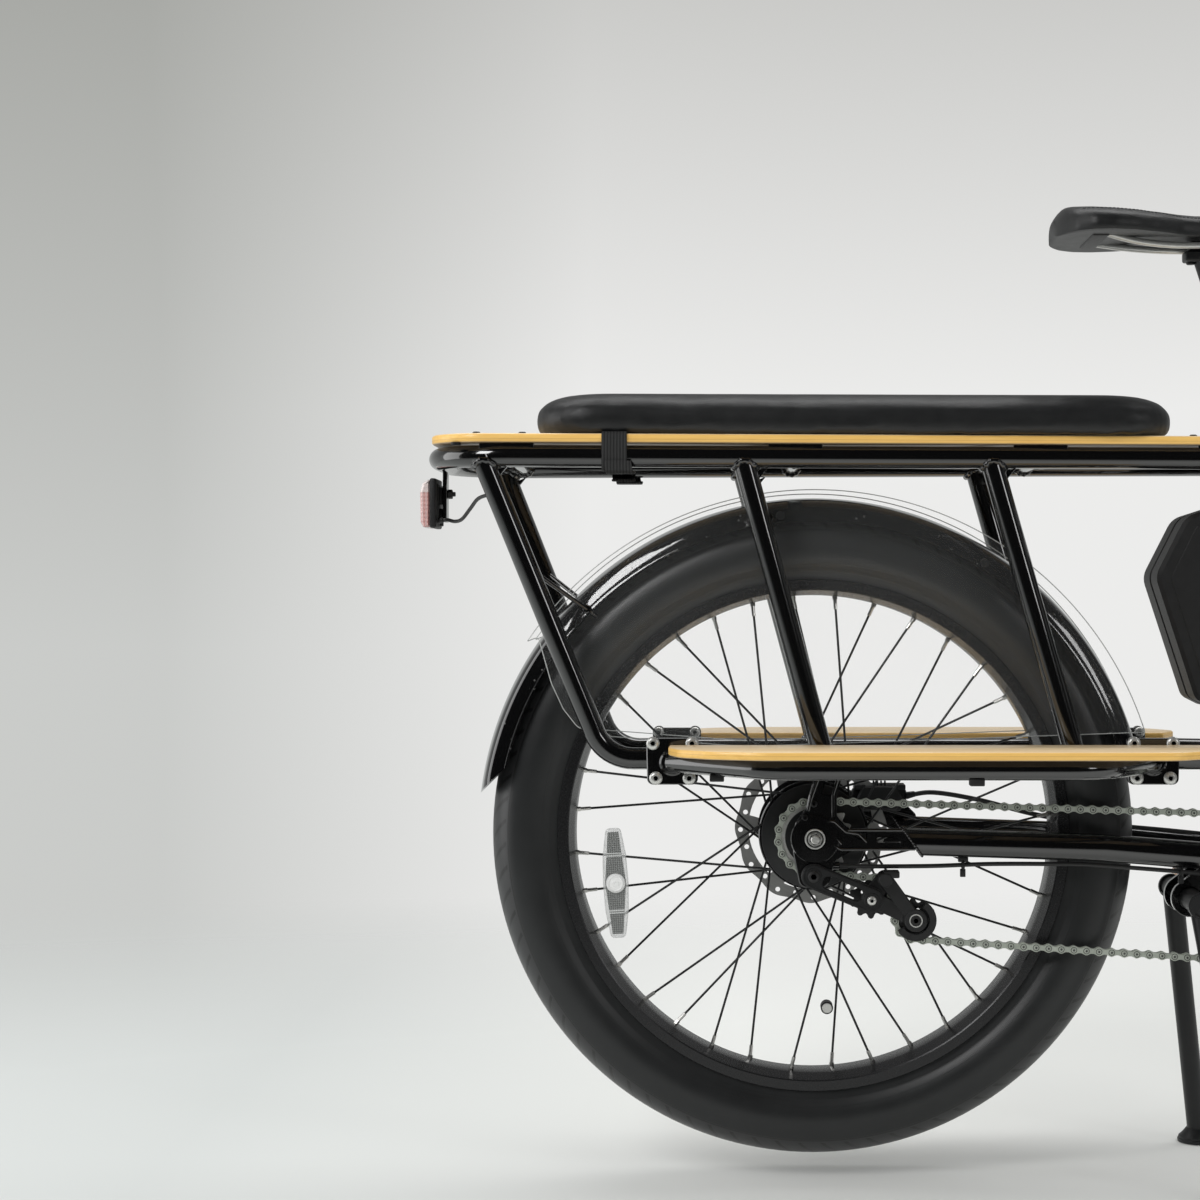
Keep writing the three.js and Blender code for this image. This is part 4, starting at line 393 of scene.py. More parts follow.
def round_slot(start, end, radius, end_radius=None, steps=10):
    """The outline of a flat link with round ends."""
    last = radius if end_radius is None else end_radius
    aim = math.degrees(math.atan2(end[1] - start[1], end[0] - start[0]))
    near = arc(start, radius, aim + 90, aim + 270, steps)
    return near + arc(end, last, aim - 90, aim + 90, steps)


def disc(centre, radius, sides=16):
    return [(centre[0] + radius * math.cos(a), centre[1] + radius * math.sin(a))
            for a in circle(sides)]


def beside(centre, radius, degrees, y=0.0):
    """The place at a distance and an angle from an axle's line, up from +X."""
    turn = math.radians(degrees)
    return Vector((centre.x + radius * math.cos(turn), y, centre.z + radius * math.sin(turn)))


def flat_point(point):
    return point.x, point.z


# Studio. A pale floor that fades out into a pale backdrop, with one broad light overhead, two from
# the left and a weak one from the right, as the highlights on the gloss black tubes show.
floor = Finish("studio_floor", Roughness=0.9)
x, y, z = floor.spot().axes()
# The floor is painted darker towards the left: painted shade.
floor.set(Base_Color=floor.mix(x.ramp(-1300, -700), (0.585, 0.603, 0.59), (0.765, 0.77, 0.747)))
away = ((x + 100).power(2) / 4 + y * y).power(0.5)
fade_start, fade_end = 900, 2300
see_through = floor.node("BsdfTransparent")
painted = Flow(floor, floor.shader.outputs[0])
shown = floor.node("MixShader", {0: away.ramp(fade_start, fade_end), 1: painted, 2: see_through})
floor.tree.links.new(shown.socket, floor.tree.nodes["Material Output"].inputs[0])
floor_size, floor_drop = 16, 0.0005
bpy.ops.mesh.primitive_plane_add(size=floor_size, location=(0, 0, -floor_drop))
ground = bpy.context.object
ground.name = "floor"
ground.data.materials.append(floor.material)
ground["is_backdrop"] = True


def lamp(name, place, aim, width, height, power):
    data = bpy.data.lights.new(name, "AREA")
    data.shape = "RECTANGLE"
    data.size, data.size_y, data.energy = width, height, power
    made = bpy.data.objects.new(name, data)
    made.location = place
    made.rotation_euler = (Vector(aim) - Vector(place)).to_track_quat("-Z", "Y").to_euler()
    scene.collection.objects.link(made)


lamp("overhead", (-0.3, 0.8, 3.2), (-0.3, 0, 0.2), 4.5, 0.9, 46)
lamp("left", (-3.6, -0.2, 1.0), (-0.6, 0, 0.5), 1.6, 2.4, 24)
lamp("front_left", (-2.5, -2.3, 2.5), (-0.6, 0, 0.4), 1.0, 1.4, 42)
lamp("front_right", (2.6, -2.8, 1.9), (0, 0, 0.4), 0.8, 1.2, 14)

world = bpy.data.worlds.new("studio")
scene.world = world
world.use_nodes = True
sky = Finish.__new__(Finish)
sky.tree = world.node_tree
lit = sky.tree.nodes["Background"]
across, ahead, up = sky.node("TexCoord", output="Generated").axes()
# The backdrop seen by the camera is painted darker towards the top, more so on the left: painted
# shade.
left = sky.mix(up.ramp(-0.02, 0.26), (0.59, 0.60, 0.585), (0.38, 0.385, 0.365))
right = sky.mix(up.ramp(0.08, 0.26), (0.84, 0.84, 0.83), (0.58, 0.58, 0.565))
backdrop = sky.mix(across.ramp(-0.235, -0.06), left, right)
rays = [sky.node("LightPath", output=name) for name in ("Is Camera Ray", "Is Glossy Ray")]
pale_sides = sky.mix(up.ramp(-0.1, 0.7), (0.50, 0.51, 0.50), (0.16, 0.16, 0.16))
mirrored_sky = sky.mix(ahead.ramp(-0.35, 0.25), (0.012, 0.012, 0.012), pale_sides)
shade = sky.mix(rays[1], (0.67, 0.68, 0.68), mirrored_sky)
sky.feed(lit.inputs["Color"], sky.mix(rays[0], shade, backdrop))
lit.inputs["Strength"].default_value = 1.0

# Finishes that several pieces share
gloss_paint = Finish("gloss_black_paint", Base_Color=(0.0015, 0.0015, 0.0017), Coat_Weight=1.0,
                     Coat_Roughness=0.02, Coat_IOR=1.62)
orange_peel = gloss_paint.noise(2.2, 3)
gloss_paint.set(Roughness=gloss_paint.noise(30, 4) * 0.08 + 0.12)
gloss_paint.bump(orange_peel, 0.02)

satin = Finish("satin_black_metal", Metallic=0.25)
speck = satin.noise(0.6, 3)
satin.set(Base_Color=satin.mix(satin.noise(25, 4), (0.007, 0.0075, 0.008), (0.016, 0.0165, 0.017)),
          Roughness=speck * 0.16 + 0.34)
satin.bump(speck, 0.05)

plastic = Finish("black_plastic")
grain = plastic.cells(0.5)
plastic.set(Base_Color=plastic.mix(plastic.noise(12, 3), (0.006, 0.006, 0.0065),
                                   (0.014, 0.014, 0.0145)), Roughness=grain * 0.14 + 0.42)
plastic.bump(grain, 0.08)

steel = Finish("bright_steel", Metallic=0.75)
lathed = steel.noise(1.2, 3, stretch=(1, 6, 1))
steel.set(Base_Color=steel.mix(lathed, (0.50, 0.50, 0.48), (0.80, 0.80, 0.77)),
          Roughness=lathed * 0.2 + 0.22)
steel.bump(lathed, 0.03)

jacket = Finish("cable_jacket")
jacket.set(Base_Color=jacket.mix(jacket.noise(4, 3), (0.010, 0.010, 0.010), (0.020, 0.020, 0.020)),
           Roughness=jacket.noise(2, 3) * 0.15 + 0.34)
jacket.bump(jacket.noise(0.8), 0.03)

rear_axle = Vector((-620, 0, 351))
front_axle = Vector((691, 0, 329))
crank_axis = Vector((0, 0, 291))
crank_spot = flat_point(crank_axis)


def studs(form, places, radius, depth, face, out=-1, socket=0.5):
    """Button-head bolts with a hexagon socket, on a face across the bike."""
    for px, pz in places:
        dome = [(radius, 0), (radius, depth * 0.35), (radius * 0.86, depth * 0.75),
                (radius * 0.6, depth), (radius * socket, depth)]
        form.turned([(r, face + out * d) for r, d in dome], (px, 0, pz), 24)
        well = [(radius * socket, depth), (radius * socket * 0.96, depth * 0.3), (0, depth * 0.3)]
        form.turned([(r, face + out * d) for r, d in well], (px, 0, pz), 6)


# Tyres and rims. Black rubber balloon tyres, smooth on the side, with a slick tread cut by thin
# slanted grooves, on black brushed rims. The grooves and mould lines are in the tyres' finish.
def tyre_finish(name, centre):
    made = Finish(name, "tyre_rubber")
    reach, turn, y = made.turn_round(centre)
    side = y.size()
    tread = reach.ramp(309, 312)
    groove_count, groove_lean = 84, 0.045
    slant = (turn * (groove_count / (2 * math.pi)) + side * groove_lean).part()
    groove = (slant > 0.8) * (side > 5) * (side < 34) * tread
    centre_line = ((side - 6).size() < 0.7) * tread
    shoulder = ((reach - 310.5).size() < 0.6) * 1.0
    mould = ((reach - 276).size() < 0.35) + ((reach - 268).size() < 0.35)
    cuts = (groove + centre_line + shoulder).clamped()
    dust = made.noise(35, 5, 0.6)
    fine = made.noise(0.9, 3)
    grey = made.mix(dust, (0.007, 0.0076, 0.008), (0.015, 0.016, 0.0165))
    worn = made.mix(tread * 0.6, grey, (0.033, 0.033, 0.034))
    made.set(Base_Color=made.mix(cuts, worn, (0.008, 0.008, 0.008)),
             Roughness=fine * 0.1 + dust * 0.1 + 0.29)
    made.bump(fine * 0.04 + mould * 0.25 - cuts * 1.0, 1.6)
    return made


def tyre_and_rim(prefix, centre, body):
    middle, depth, half, reach, steps = 291, 38, 41.6, 127, 48
    angles = [math.radians(-reach + 2 * reach * n / steps) for n in range(steps + 1)]
    arch = [(middle + depth * math.cos(a), half * math.sin(a)) for a in angles]
    bead = [(254, 32.5), (262, 30), (300, 36), (322, 16), (322, -16), (300, -36), (262, -30),
            (254, -32.5)]
    Form().turned(arch + bead, centre, 180, looped=True).place(
        prefix + "_tyre_fine", body, tyre_finish(prefix + "_rubber", centre), prefix + "_tyre")
    hooks = [(259.6, 35.9), (260.4, 35.2), (260.2, 33.6), (253.8, 32.8), (253.4, 20), (248, 8),
             (248, -8), (253.4, -20), (253.8, -32.8), (260.2, -33.6), (260.4, -35.2),
             (259.6, -35.9), (250.2, -35.9), (249, -35.2), (244.6, -19), (244, -16.5), (244, 16.5),
             (244.6, 19), (249, 35.2), (250.2, 35.9)]
    Form().turned(hooks, centre, 180, looped=True).place(
        prefix + "_rim_fine", body, rim_black, prefix + "_rim", soft=24)


rim_black = Finish("rim_black", Metallic=0.55)
brushed = rim_black.noise(1.5, 3, stretch=(1, 4, 1))
rim_black.set(Base_Color=rim_black.mix(brushed, (0.014, 0.014, 0.015), (0.030, 0.030, 0.031)),
              Roughness=brushed * 0.12 + 0.2)
rim_black.bump(brushed, 0.04)
tyre_and_rim("rear", rear_axle, "rear_wheel")
tyre_and_rim("front", front_axle, "front_wheel")


# Spokes. Thirty-six black stainless spokes on each wheel, crossed, with silver nipples at the rim
# and their heads in the holes of the hub's flanges. The hub is turned and painted black.
nipple_steel = Finish("nipple_steel", "bright_steel", Metallic=1.0)
facet = nipple_steel.noise(1.5, 3)
nipple_steel.set(Base_Color=nipple_steel.mix(facet, (0.40, 0.40, 0.39), (0.66, 0.65, 0.62)),
                 Roughness=facet * 0.2 + 0.2)


spoke_count, spoke_radius, spoke_cross, rim_reach = 36, 1.2, 40, 243.6


def spokes_and_hub(prefix, centre, body, phase, hub):
    wires = Form()
    nipples = Form()
    holes = Form()
    for k in range(spoke_count):
        side = 1 if k % 2 else -1
        lean = 1 if k % 4 > 1 else -1
        rim_turn = math.radians(phase + 360 / spoke_count * k)
        hub_turn = rim_turn + math.radians(spoke_cross) * lean
        line = hub["left"] if side > 0 else -hub["right"]
        reach = hub["flange"] - 5
        start = Vector((reach * math.cos(hub_turn), line + lean * 2.3, reach * math.sin(hub_turn)))
        end = Vector((rim_reach * math.cos(rim_turn), side * 10, rim_reach * math.sin(rim_turn)))
        along = (end - start).normalized()
        wires.rod(centre + start, centre + end, spoke_radius, sides=8)
        nipples.rod(centre + end - along * 13.5, centre + end - along * 2, 1.9, edge=0.5, sides=8)
        nipples.rod(centre + end - along * 3, centre + end + along * 1.4, 2.6, sides=6)
        head = centre + start
        holes.rod(head - Vector((0, lean * 3, 0)), head + Vector((0, lean * 0.8, 0)), 2.2,
                  edge=0.7, sides=12)
    left, right, drum, flange = (hub[key] for key in ("left", "right", "drum", "flange"))
    seat = 48.7
    shell = [(5.2, -hub["right_end"]), (16, -hub["right_end"]), (18, 0.8 - hub["right_end"]),
             (drum - 5, -right - 4), (drum - 1, -right - 3.4), (drum + 1, -right - 2),
             (flange - 1, -right - 1.9), (flange, -right - 1), (flange, -right + 1),
             (flange - 1, -right + 1.9), (drum + 4, -right + 2.2), (drum + 1, -right + 6),
             (drum, -right + 9), (drum, -4), (drum + 0.8, -3), (drum + 0.8, 3), (drum, 4),
             (drum, left - 9), (drum + 1, left - 6), (drum + 4, left - 2.2),
             (flange - 1, left - 1.9), (flange, left - 1), (flange, left + 1),
             (flange - 1, left + 1.9), (drum + 1, left + 2), (drum - 2, left + 3.4),
             (26, hub["left_end"]), (25, seat), (19.7, seat), (19.7, 52), (5.2, 52)]
    Form().turned(shell, centre, 96, looped=True).place(
        prefix + "_hub_shell", body, gloss_paint, prefix + "_hub", soft=24)
    wires.place(prefix + "_spokes", body, satin)
    nipples.place(prefix + "_nipples", body, nipple_steel)
    holes.place(prefix + "_spoke_heads", body, satin)


rear_hub = {"drum": 44, "flange": 56, "right": 30, "left": 33, "right_end": 37, "left_end": 40}
front_hub = {"drum": 20, "flange": 30, "right": 33, "left": 26, "right_end": 40, "left_end": 34}
rear_phase = 4.7
spokes_and_hub("rear", rear_axle, "rear_wheel", rear_phase, rear_hub)
spokes_and_hub("front", front_axle, "front_wheel", 0, front_hub)

# Disc rotors. Stamped steel with a waved edge, drilled track and slotted arms, on the left ends of
# the hubs. They are cut through, as the light between their holes shows in the photograph.
rotor_steel = Finish("rotor_steel", "bright_steel", Metallic=0.7)
reach, turn, _ = rotor_steel.turn_round(rear_axle)
brushing = rotor_steel.noise(1.5, 4)
swept_track = rotor_steel.node("TexNoise", {"Vector": rotor_steel.node(
    "CombineXYZ", {0: reach * 2.2, 1: turn * 3}), "Scale": 1.0, "Detail": 3.0})
rotor_steel.set(Base_Color=rotor_steel.mix(swept_track, (0.24, 0.24, 0.235), (0.40, 0.40, 0.39)),
                Roughness=brushing * 0.2 + 0.3)
rotor_steel.bump(swept_track, 0.05)


def rotor(prefix, centre, body):
    def ring_point(radius, degrees):
        return flat_point(beside(centre, radius, degrees))

    mean, wave, waves = 78.6, 1.4, 12
    edge = [ring_point(mean + wave * math.cos(math.radians(waves * d)), d)
            for d in range(0, 360, 2)]
    holes = [disc(flat_point(centre), 19.9, 40)]
    for n in range(6):
        start = 60 * n
        outer = [ring_point(65.5, start + 4 + d) for d in range(0, 50, 5)]
        inner = [ring_point(r, start + d) for r, d in ((40, 52), (31, 46), (27, 34), (33, 25),
                                                       (46, 16))]
        holes.append(outer + inner)
        for radius, shift in ((74, 2), (70.5, 17), (74, 32), (70.5, 47)):
            holes.append(disc(ring_point(radius, start + shift), 2.6, 10))
        holes.append(disc(ring_point(24.5, start + 52), 2.3, 8))
    form = Form().plate(edge, 49.05, 50.95, holes, 0.25)
    studs(form, [ring_point(22, 60 * n + 20) for n in range(6)], 3.2, 1.4, 50.9, 1)
    form.place(prefix + "_rotor_fine", body, rotor_steel, prefix + "_brake_rotor")


rotor("rear", rear_axle, "rear_wheel")
rotor("front", front_axle, "front_wheel")


# Axles. A threaded steel axle with a chrome washer and a nut on each side of the dropouts. The
# front one is a part of the fork in the CAD.
def axle(name, centre, reach, body, *nodes):
    form = Form()
    for side in (-1, 1):
        washer, nut, end = reach + 0.3, reach + 1.1, reach + 7.3
        form.turned([(5.2, washer), (9.8, washer), (10.4, washer + 0.7), (10.2, washer + 1.8),
                     (9.5, washer + 2.2), (8.3, washer + 2), (8, nut), (5.2, nut)], centre, 48,
                    looped=True, side=side)
        form.turned([(5.5, nut), (7.5, nut), (7.5, end - 1.3), (6.6, end), (5.9, end),
                     (5.5, end - 2.5)], centre, 6, looped=True, phase=0.3, side=side)
        threads = [(4.6 if n % 2 else 4.2, end - 3 + 0.5 * n) for n in range(13)]
        form.turned([*threads, (3.4, end + 3.6)], centre, 32, side=side)
    form.turned([(4.9, -reach - 2), (4.9, reach + 2)], centre, 32)
    form.place(name, body, steel, *nodes, soft=30)
    seats = Form()
    for side in (-1, 1):
        seats.turned([(7.5, reach + 1), (7.5, reach + 2.4), (8.5, reach + 2.7), (8.8, reach + 1)],
                     centre, 40, looped=True, side=side)
        seats.turned([(4.7, reach + 5), (4.7, reach + 7.2), (5.7, reach + 7.2), (5.7, reach + 5)],
                     centre, 32, looped=True, side=side)
    seats.place(name + "_seats", body, plastic)


axle("rear_axle_nuts", rear_axle, 72, "frame", "rear_axle")
axle("front_axle_nuts", front_axle, 65.2, "steering")

# Chain. 129 half-inch pitches of zinc-plated roller chain, with waisted plates and riveted pins.
# It runs in from the chainring, round the sprocket, over the guide pulley and under the sprung one.
pitch = 12.7
link_count = 129
sprocket_teeth, pulley_teeth, chainring_teeth = 18, 10, 38
chain_line = -53
chain_middle = Vector((0, chain_line, 0))
guide_centre = Vector((-563.5, 0, 290))
lower_centre = Vector((-518.5, 0, 268.3))
circles = [(rear_axle, sprocket_teeth, 1), (guide_centre, pulley_teeth, -1),
           (lower_centre, pulley_teeth, 1), (crank_axis, chainring_teeth, 1)]


def pitch_radius(teeth):
    return pitch / (2 * math.sin(math.pi / teeth))


def straight_run(one, two):
    """The direction and length of the chain's run from one circle to the next."""
    apart = two[0] - one[0]
    spread = two[2] * pitch_radius(two[1]) - one[2] * pitch_radius(one[1])
    heading = math.atan2(apart.z, apart.x) + math.acos(spread / apart.length) - math.pi / 2
    return heading, math.sqrt(apart.length_squared - spread * spread)


chain_path = []
tooth_starts = []
pitches = 0.0
for n, (centre, teeth, way) in enumerate(circles):
    arriving, _ = straight_run(circles[n - 1], circles[n])
    leaving, length = straight_run(circles[n], circles[(n + 1) % 4])
    enter = arriving - way * math.pi / 2
    wrap = ((leaving - arriving) * way) % (2 * math.pi)
    step = 2 * math.pi / teeth
    chain_path.append((centre, teeth, enter, enter + way * wrap))
    tooth_starts.append(enter + way * step * (math.ceil(pitches) - pitches))
    pitches += wrap / step + length / pitch


def chain_spots():
    """Each pin's place, spaced evenly along the path and counted from the sprocket's top."""
    line = []
    for centre, teeth, enter, leave in chain_path:
        steps = max(6, round(abs(leave - enter) * teeth * 2))
        turns = [enter + (leave - enter) * n / steps for n in range(steps + 1)]
        line += [Vector((centre.x + pitch_radius(teeth) * math.cos(t), 0,
                         centre.z + pitch_radius(teeth) * math.sin(t))) for t in turns]
    line.append(line[0])
    runs = [(b - a).length for a, b in zip(line, line[1:])]
    gap = sum(runs) / link_count
    spots, travelled, n = [], 0.0, 0
    for k in range(link_count):
        while travelled + runs[n] < k * gap:
            travelled += runs[n]
            n += 1
        spots.append(line[n].lerp(line[n + 1], (k * gap - travelled) / runs[n]))
    return spots


zinc = Finish("zinc_chain", Metallic=0.35)
mark = zinc.noise(2.5, 4)
zinc.set(Base_Color=zinc.mix(mark, (0.33, 0.36, 0.31), (0.50, 0.53, 0.47)),
         Roughness=mark * 0.2 + 0.3)
zinc.bump(mark, 0.05)
# The rings round the pins and the pin ends get a dark finish: painted shade at the pin heads.
pin_shade = Finish("painted_pin_shade", "zinc_chain", Roughness=0.4)
pin_shade.set(Base_Color=pin_shade.mix(pin_shade.noise(1), (0.02, 0.02, 0.02), (0.07, 0.07, 0.065)))
links = Form()
marks = Form()
pins = chain_spots()
for k, spot in enumerate(pins):
    run = pins[(k + 1) % link_count] - spot
    middle = spot + run / 2
    aim = Matrix.Rotation(-math.atan2(run.z, run.x), 4, "Y")
    made = links.count()
    half = pitch / 2
    round_end = arc((half, 0), 4.3, -122, 122, 10)
    waist = [(1.4, 2.5), (-1.4, 2.5), *[(-x, z) for x, z in reversed(round_end)], (-1.4, -2.5),
             (1.4, -2.5)]
    outline = round_end + waist
    lines = (2.75, 3.7) if k % 2 else (1.65, 2.65)
    for side in (-1, 1):
        links.plate(outline, *lines, edge=0.2, side=side)
    links.rod((-half, -2.3, 0), (-half, 2.3, 0), 3.8, sides=10)
    links.moved(Matrix.Translation(middle + chain_middle) @ aim, made)
    pin = spot + chain_middle
    links.rod(pin - Vector((0, 4.2, 0)), pin + Vector((0, 4.2, 0)), 2.1, edge=0.4, sides=12)
    for side in (-1, 1):
        marks.turned([(2.6, 3.7), (2.7, 3.7 + 0.25), (3.2, 3.7 + 0.25), (3.3, 3.7)], pin, 12,
                     looped=True, side=side)
        marks.rod(pin + Vector((0, side * 4.1, 0)), pin + Vector((0, side * 4.35, 0)), 1.2, sides=8)
links.place("chain_links", "frame", zinc, "chain", soft=30)
marks.place("chain_pin_shade", "frame", pin_shade, soft=30)


# Toothed wheels. The sprocket is plated steel in a black dish, the pulleys are black plastic and
# the chainring is black anodised with five arms.
def toothed(teeth, start, tip):
    outline = []
    seat, seat_depth, seat_share = pitch_radius(teeth), 3.95, 0.31
    for n in range(teeth):
        turn = start + 2 * math.pi * n / teeth
        step = 2 * math.pi / teeth
        for share in (-0.3, -0.17, 0, 0.17, 0.3):
            dip = seat_depth * (1 - (share / seat_share) ** 2)
            outline.append((turn + step * share, seat - max(dip, 0.2)))
        outline += [(turn + step * 0.42, seat + tip * 0.75), (turn + step * 0.5, seat + tip),
                    (turn + step * 0.58, seat + tip * 0.75)]
    return [(r * math.cos(a), r * math.sin(a)) for a, r in outline]


def wheel_plate(form, centre, outline, holes):
    made = form.count()
    form.plate(outline, -tooth_half, tooth_half, holes, 0.4)
    form.moved(Matrix.Translation((centre.x, chain_line, centre.z)), made)


tooth_half, steel_tip, plastic_tip = 1.1, 2.3, 0.9
cog = Form()
wheel_plate(cog, rear_axle, toothed(sprocket_teeth, tooth_starts[0], steel_tip),
            [disc((0, 0), 17, 32)])
cog.turned([(17.4, 1.2), (17.4, 15.6), (5.3, 15.6), (5.3, -1.2), (16, -1.2)],
           rear_axle + chain_middle, 48, looped=True)
cog.place("sprocket_fine", "sprocket", steel, "sprocket", soft=30)
dish = Form()
dish.turned([(20, 4.2), (30, 5.2), (46, 9.5), (52.5, 10.6), (53.2, 11.6), (52.4, 12.4), (45, 11.4),
             (30, 7.2), (20, 6.2)], rear_axle + chain_middle, 96, looped=True)
dish.turned([(18, -1.8), (29, -1.8), (29.6, -1), (29, 1), (18, 1)], rear_axle + chain_middle, 64,
            looped=True)
dish.place("sprocket_dish", "sprocket", satin)
for name, centre, start in (("guide_pulley", guide_centre, tooth_starts[1]),
                            ("tension_pulley", lower_centre, tooth_starts[2])):
    wheel = Form()
    slots = [disc((9.5 * math.cos(a), 9.5 * math.sin(a)), 2, 8) for a in circle(5)]
    wheel_plate(wheel, centre, toothed(pulley_teeth, start, plastic_tip),
                [disc((0, 0), 4.4, 20), *slots])
    wheel.turned([(4.4, -2.6), (7, -2.6), (7, 2.6), (4.4, 2.6)], centre + chain_middle, 24,
                 looped=True)
    wheel.place(name + "_fine", name, plastic, name, soft=30)
ring = Form()
windows = []
for n in range(5):
    start = 72 * n
    outer = arc((0, 0), 62, start + 9, start + 63, 8)
    windows.append(outer + arc((0, 0), 28, start + 50, start + 22, 3))
wheel_plate(ring, crank_axis, toothed(chainring_teeth, tooth_starts[3], steel_tip),
            [disc((0, 0), 12.4, 32), *windows])
ring.turned([(12.6, tooth_half), (12.6, -12.4), (19, -12.4), (20, -11.4), (20, tooth_half)],
            crank_axis + chain_middle, 48, looped=True)
bolt_circle, bolt_turn = 70, 0.63
studs(ring, [(bolt_circle * math.cos(a + bolt_turn),
              crank_axis.z + bolt_circle * math.sin(a + bolt_turn)) for a in circle(5)],
      4.4, 1.6, chain_line - tooth_half)
ring.place("chainring_fine", "crank", satin, "chainring", soft=30)

# Chain tensioner. A slotted black arm bolted to the dropout holds a sprung cage with the lower
# pulley, behind a C-shaped guard. Its bolts have hexagon sockets: black ones at the dropout and at
# the lower pulley, and a zinc-plated one between.
arm_pivot = Vector((-621.5, 0, 314))
arm_line = 75.3
cage_line = 59.35


def between(one, two, share):
    return flat_point(one.lerp(two, share))


arm = Form()
slot = round_slot(between(arm_pivot, guide_centre, 0.26), between(arm_pivot, guide_centre, 0.745),
                  6.2)
arm.plate(round_slot(flat_point(arm_pivot), flat_point(guide_centre), 12.5, steps=16),
          -arm_line - 3, -arm_line + 3, [slot], 1.1)
ridge = round_slot(flat_point(arm_pivot), flat_point(guide_centre), 11, steps=16)
inner = round_slot(flat_point(arm_pivot), flat_point(guide_centre), 9.6, steps=16)
arm.plate(ridge, -arm_line - 3.6, -arm_line - 2, [inner], 0.3)
arm.rod((arm_pivot.x, -62, arm_pivot.z), (arm_pivot.x, -79, arm_pivot.z), 8.6, edge=1, sides=40)
arm.rod((guide_centre.x, -50, guide_centre.z), (guide_centre.x, -79, guide_centre.z), 8.2, edge=1,
        sides=40)
arm.place("tensioner_arm_fine", "frame", satin, "tensioner_arm", soft=30)
black_bolt = Form()
studs(black_bolt, [flat_point(arm_pivot)], 6, 2.6, -78.9)
black_bolt.place("tensioner_pivot_bolt", "frame", plastic, soft=30)
zinc_bolt = Form()
studs(zinc_bolt, [flat_point(guide_centre)], 4.6, 2.4, -78.9, socket=0.4)
zinc_bolt.place("guide_pulley_bolt", "frame", steel, soft=30)

cage = Form()
elbow = guide_centre + Vector((14, 0, 20))
spine = [flat_point(guide_centre), flat_point(elbow), flat_point(lower_centre)]
cage.plate(round_slot(spine[0], spine[2], 8.5, 7.4, 14), -cage_line - 2, -cage_line + 2,
           [disc(spine[0], 4.5, 20)], 0.7)
cage.plate(round_slot(spine[1], spine[2], 7.6, 6.6, 14), -cage_line - 6.6, -cage_line - 1.6, (), 1)
cage.plate(arc(spine[2], 21, -150, 62, 30) + arc(spine[2], 13.4, 62, -150, 24), -cage_line - 5,
           -cage_line + 1.6, (), 0.9)
cage.plate(arc(spine[2], 15, 100, 190, 12) + arc(spine[2], 6, 190, 100, 8), -cage_line - 3,
           -cage_line + 1.6, (), 0.7)
cage.plate(round_slot(spine[0], spine[1], 9.6, 8.6, 14), -cage_line - 1.8, -cage_line + 1.8,
           [disc(spine[0], 4.5, 20)], 0.7)
cage.rod((elbow.x, -cage_line, elbow.z), (elbow.x, -arm_line - 2, elbow.z), 7.4, edge=1.2, sides=32)
cage.block((elbow.x - 2, -arm_line - 1, elbow.z + 2), (elbow.x + 14, -cage_line, elbow.z + 9), 1.4)
cage.turned([(4.2, -cage_line - 7.6), (10.4, -cage_line - 7.6), (11.4, -cage_line - 6.8),
             (11.4, -cage_line - 2), (4.2, -cage_line - 2)],
            (lower_centre.x, 0, lower_centre.z), 40, looped=True)
cage.place("tensioner_cage_fine", "tensioner", plastic, "tensioner_cage", soft=30)
lower_bolt = Form()
studs(lower_bolt, [spine[2]], 5.2, 1.8, -cage_line - 6.2)
lower_bolt.place("tension_pulley_bolt", "tensioner", plastic, soft=30)
collar = [(5.6, -cage_line - 8), (6.7, -cage_line - 8), (6.9, -cage_line - 6),
          (5.4, -cage_line - 6)]
Form().turned(collar, (lower_centre.x, 0, lower_centre.z), 40, looped=True).place(
    "tension_pulley_collar", "tensioner", steel, soft=30)


# Rack. Gloss black 22 mm tubes: a deck loop, three raking struts a side and the two low rails.
# Every joint has a weld bead with its ripples.
deck_end, deck_length, deck_taper = -1005, 847.5, 50


def deck_half(x):
    return 110 - deck_taper * (x - deck_end) / deck_length


def weld(form, start, end, radius, rail_point, rail_way, rail_radius, bead=3):
    """A rippled bead where a tube from start to end meets the side of another tube."""
    start, end, rail = Vector(start), Vector(end), Vector(rail_point)
    along = (end - start).normalized()
    way = Vector(rail_way).normalized()
    side = along.orthogonal().normalized()
    other = along.cross(side)
    feet, reaches = [], []
    steps, window = 72, 7
    for turn in circle(steps):
        foot = start + (side * math.cos(turn) + other * math.sin(turn)) * (radius + 0.3) - rail
        flat = foot - way * foot.dot(way)
        step = along - way * along.dot(way)
        a, b, c = step.dot(step), 2 * flat.dot(step), flat.dot(flat) - (rail_radius + 0.2) ** 2
        feet.append(foot + rail)
        reaches.append((-b - math.sqrt(max(b * b - 4 * a * c, 0))) / (2 * a))
    even = [sum(reaches[(n + k) % steps] for k in range(-window, window + 1)) / (2 * window + 1)
            for n in range(steps)]
    path = [foot + along * (reach - 0.6) for foot, reach in zip(feet, even)]
    form.tube(path, [bead + 0.45 * math.sin(n * math.pi / 3) for n in range(steps)], sides=10,
              looped=True)


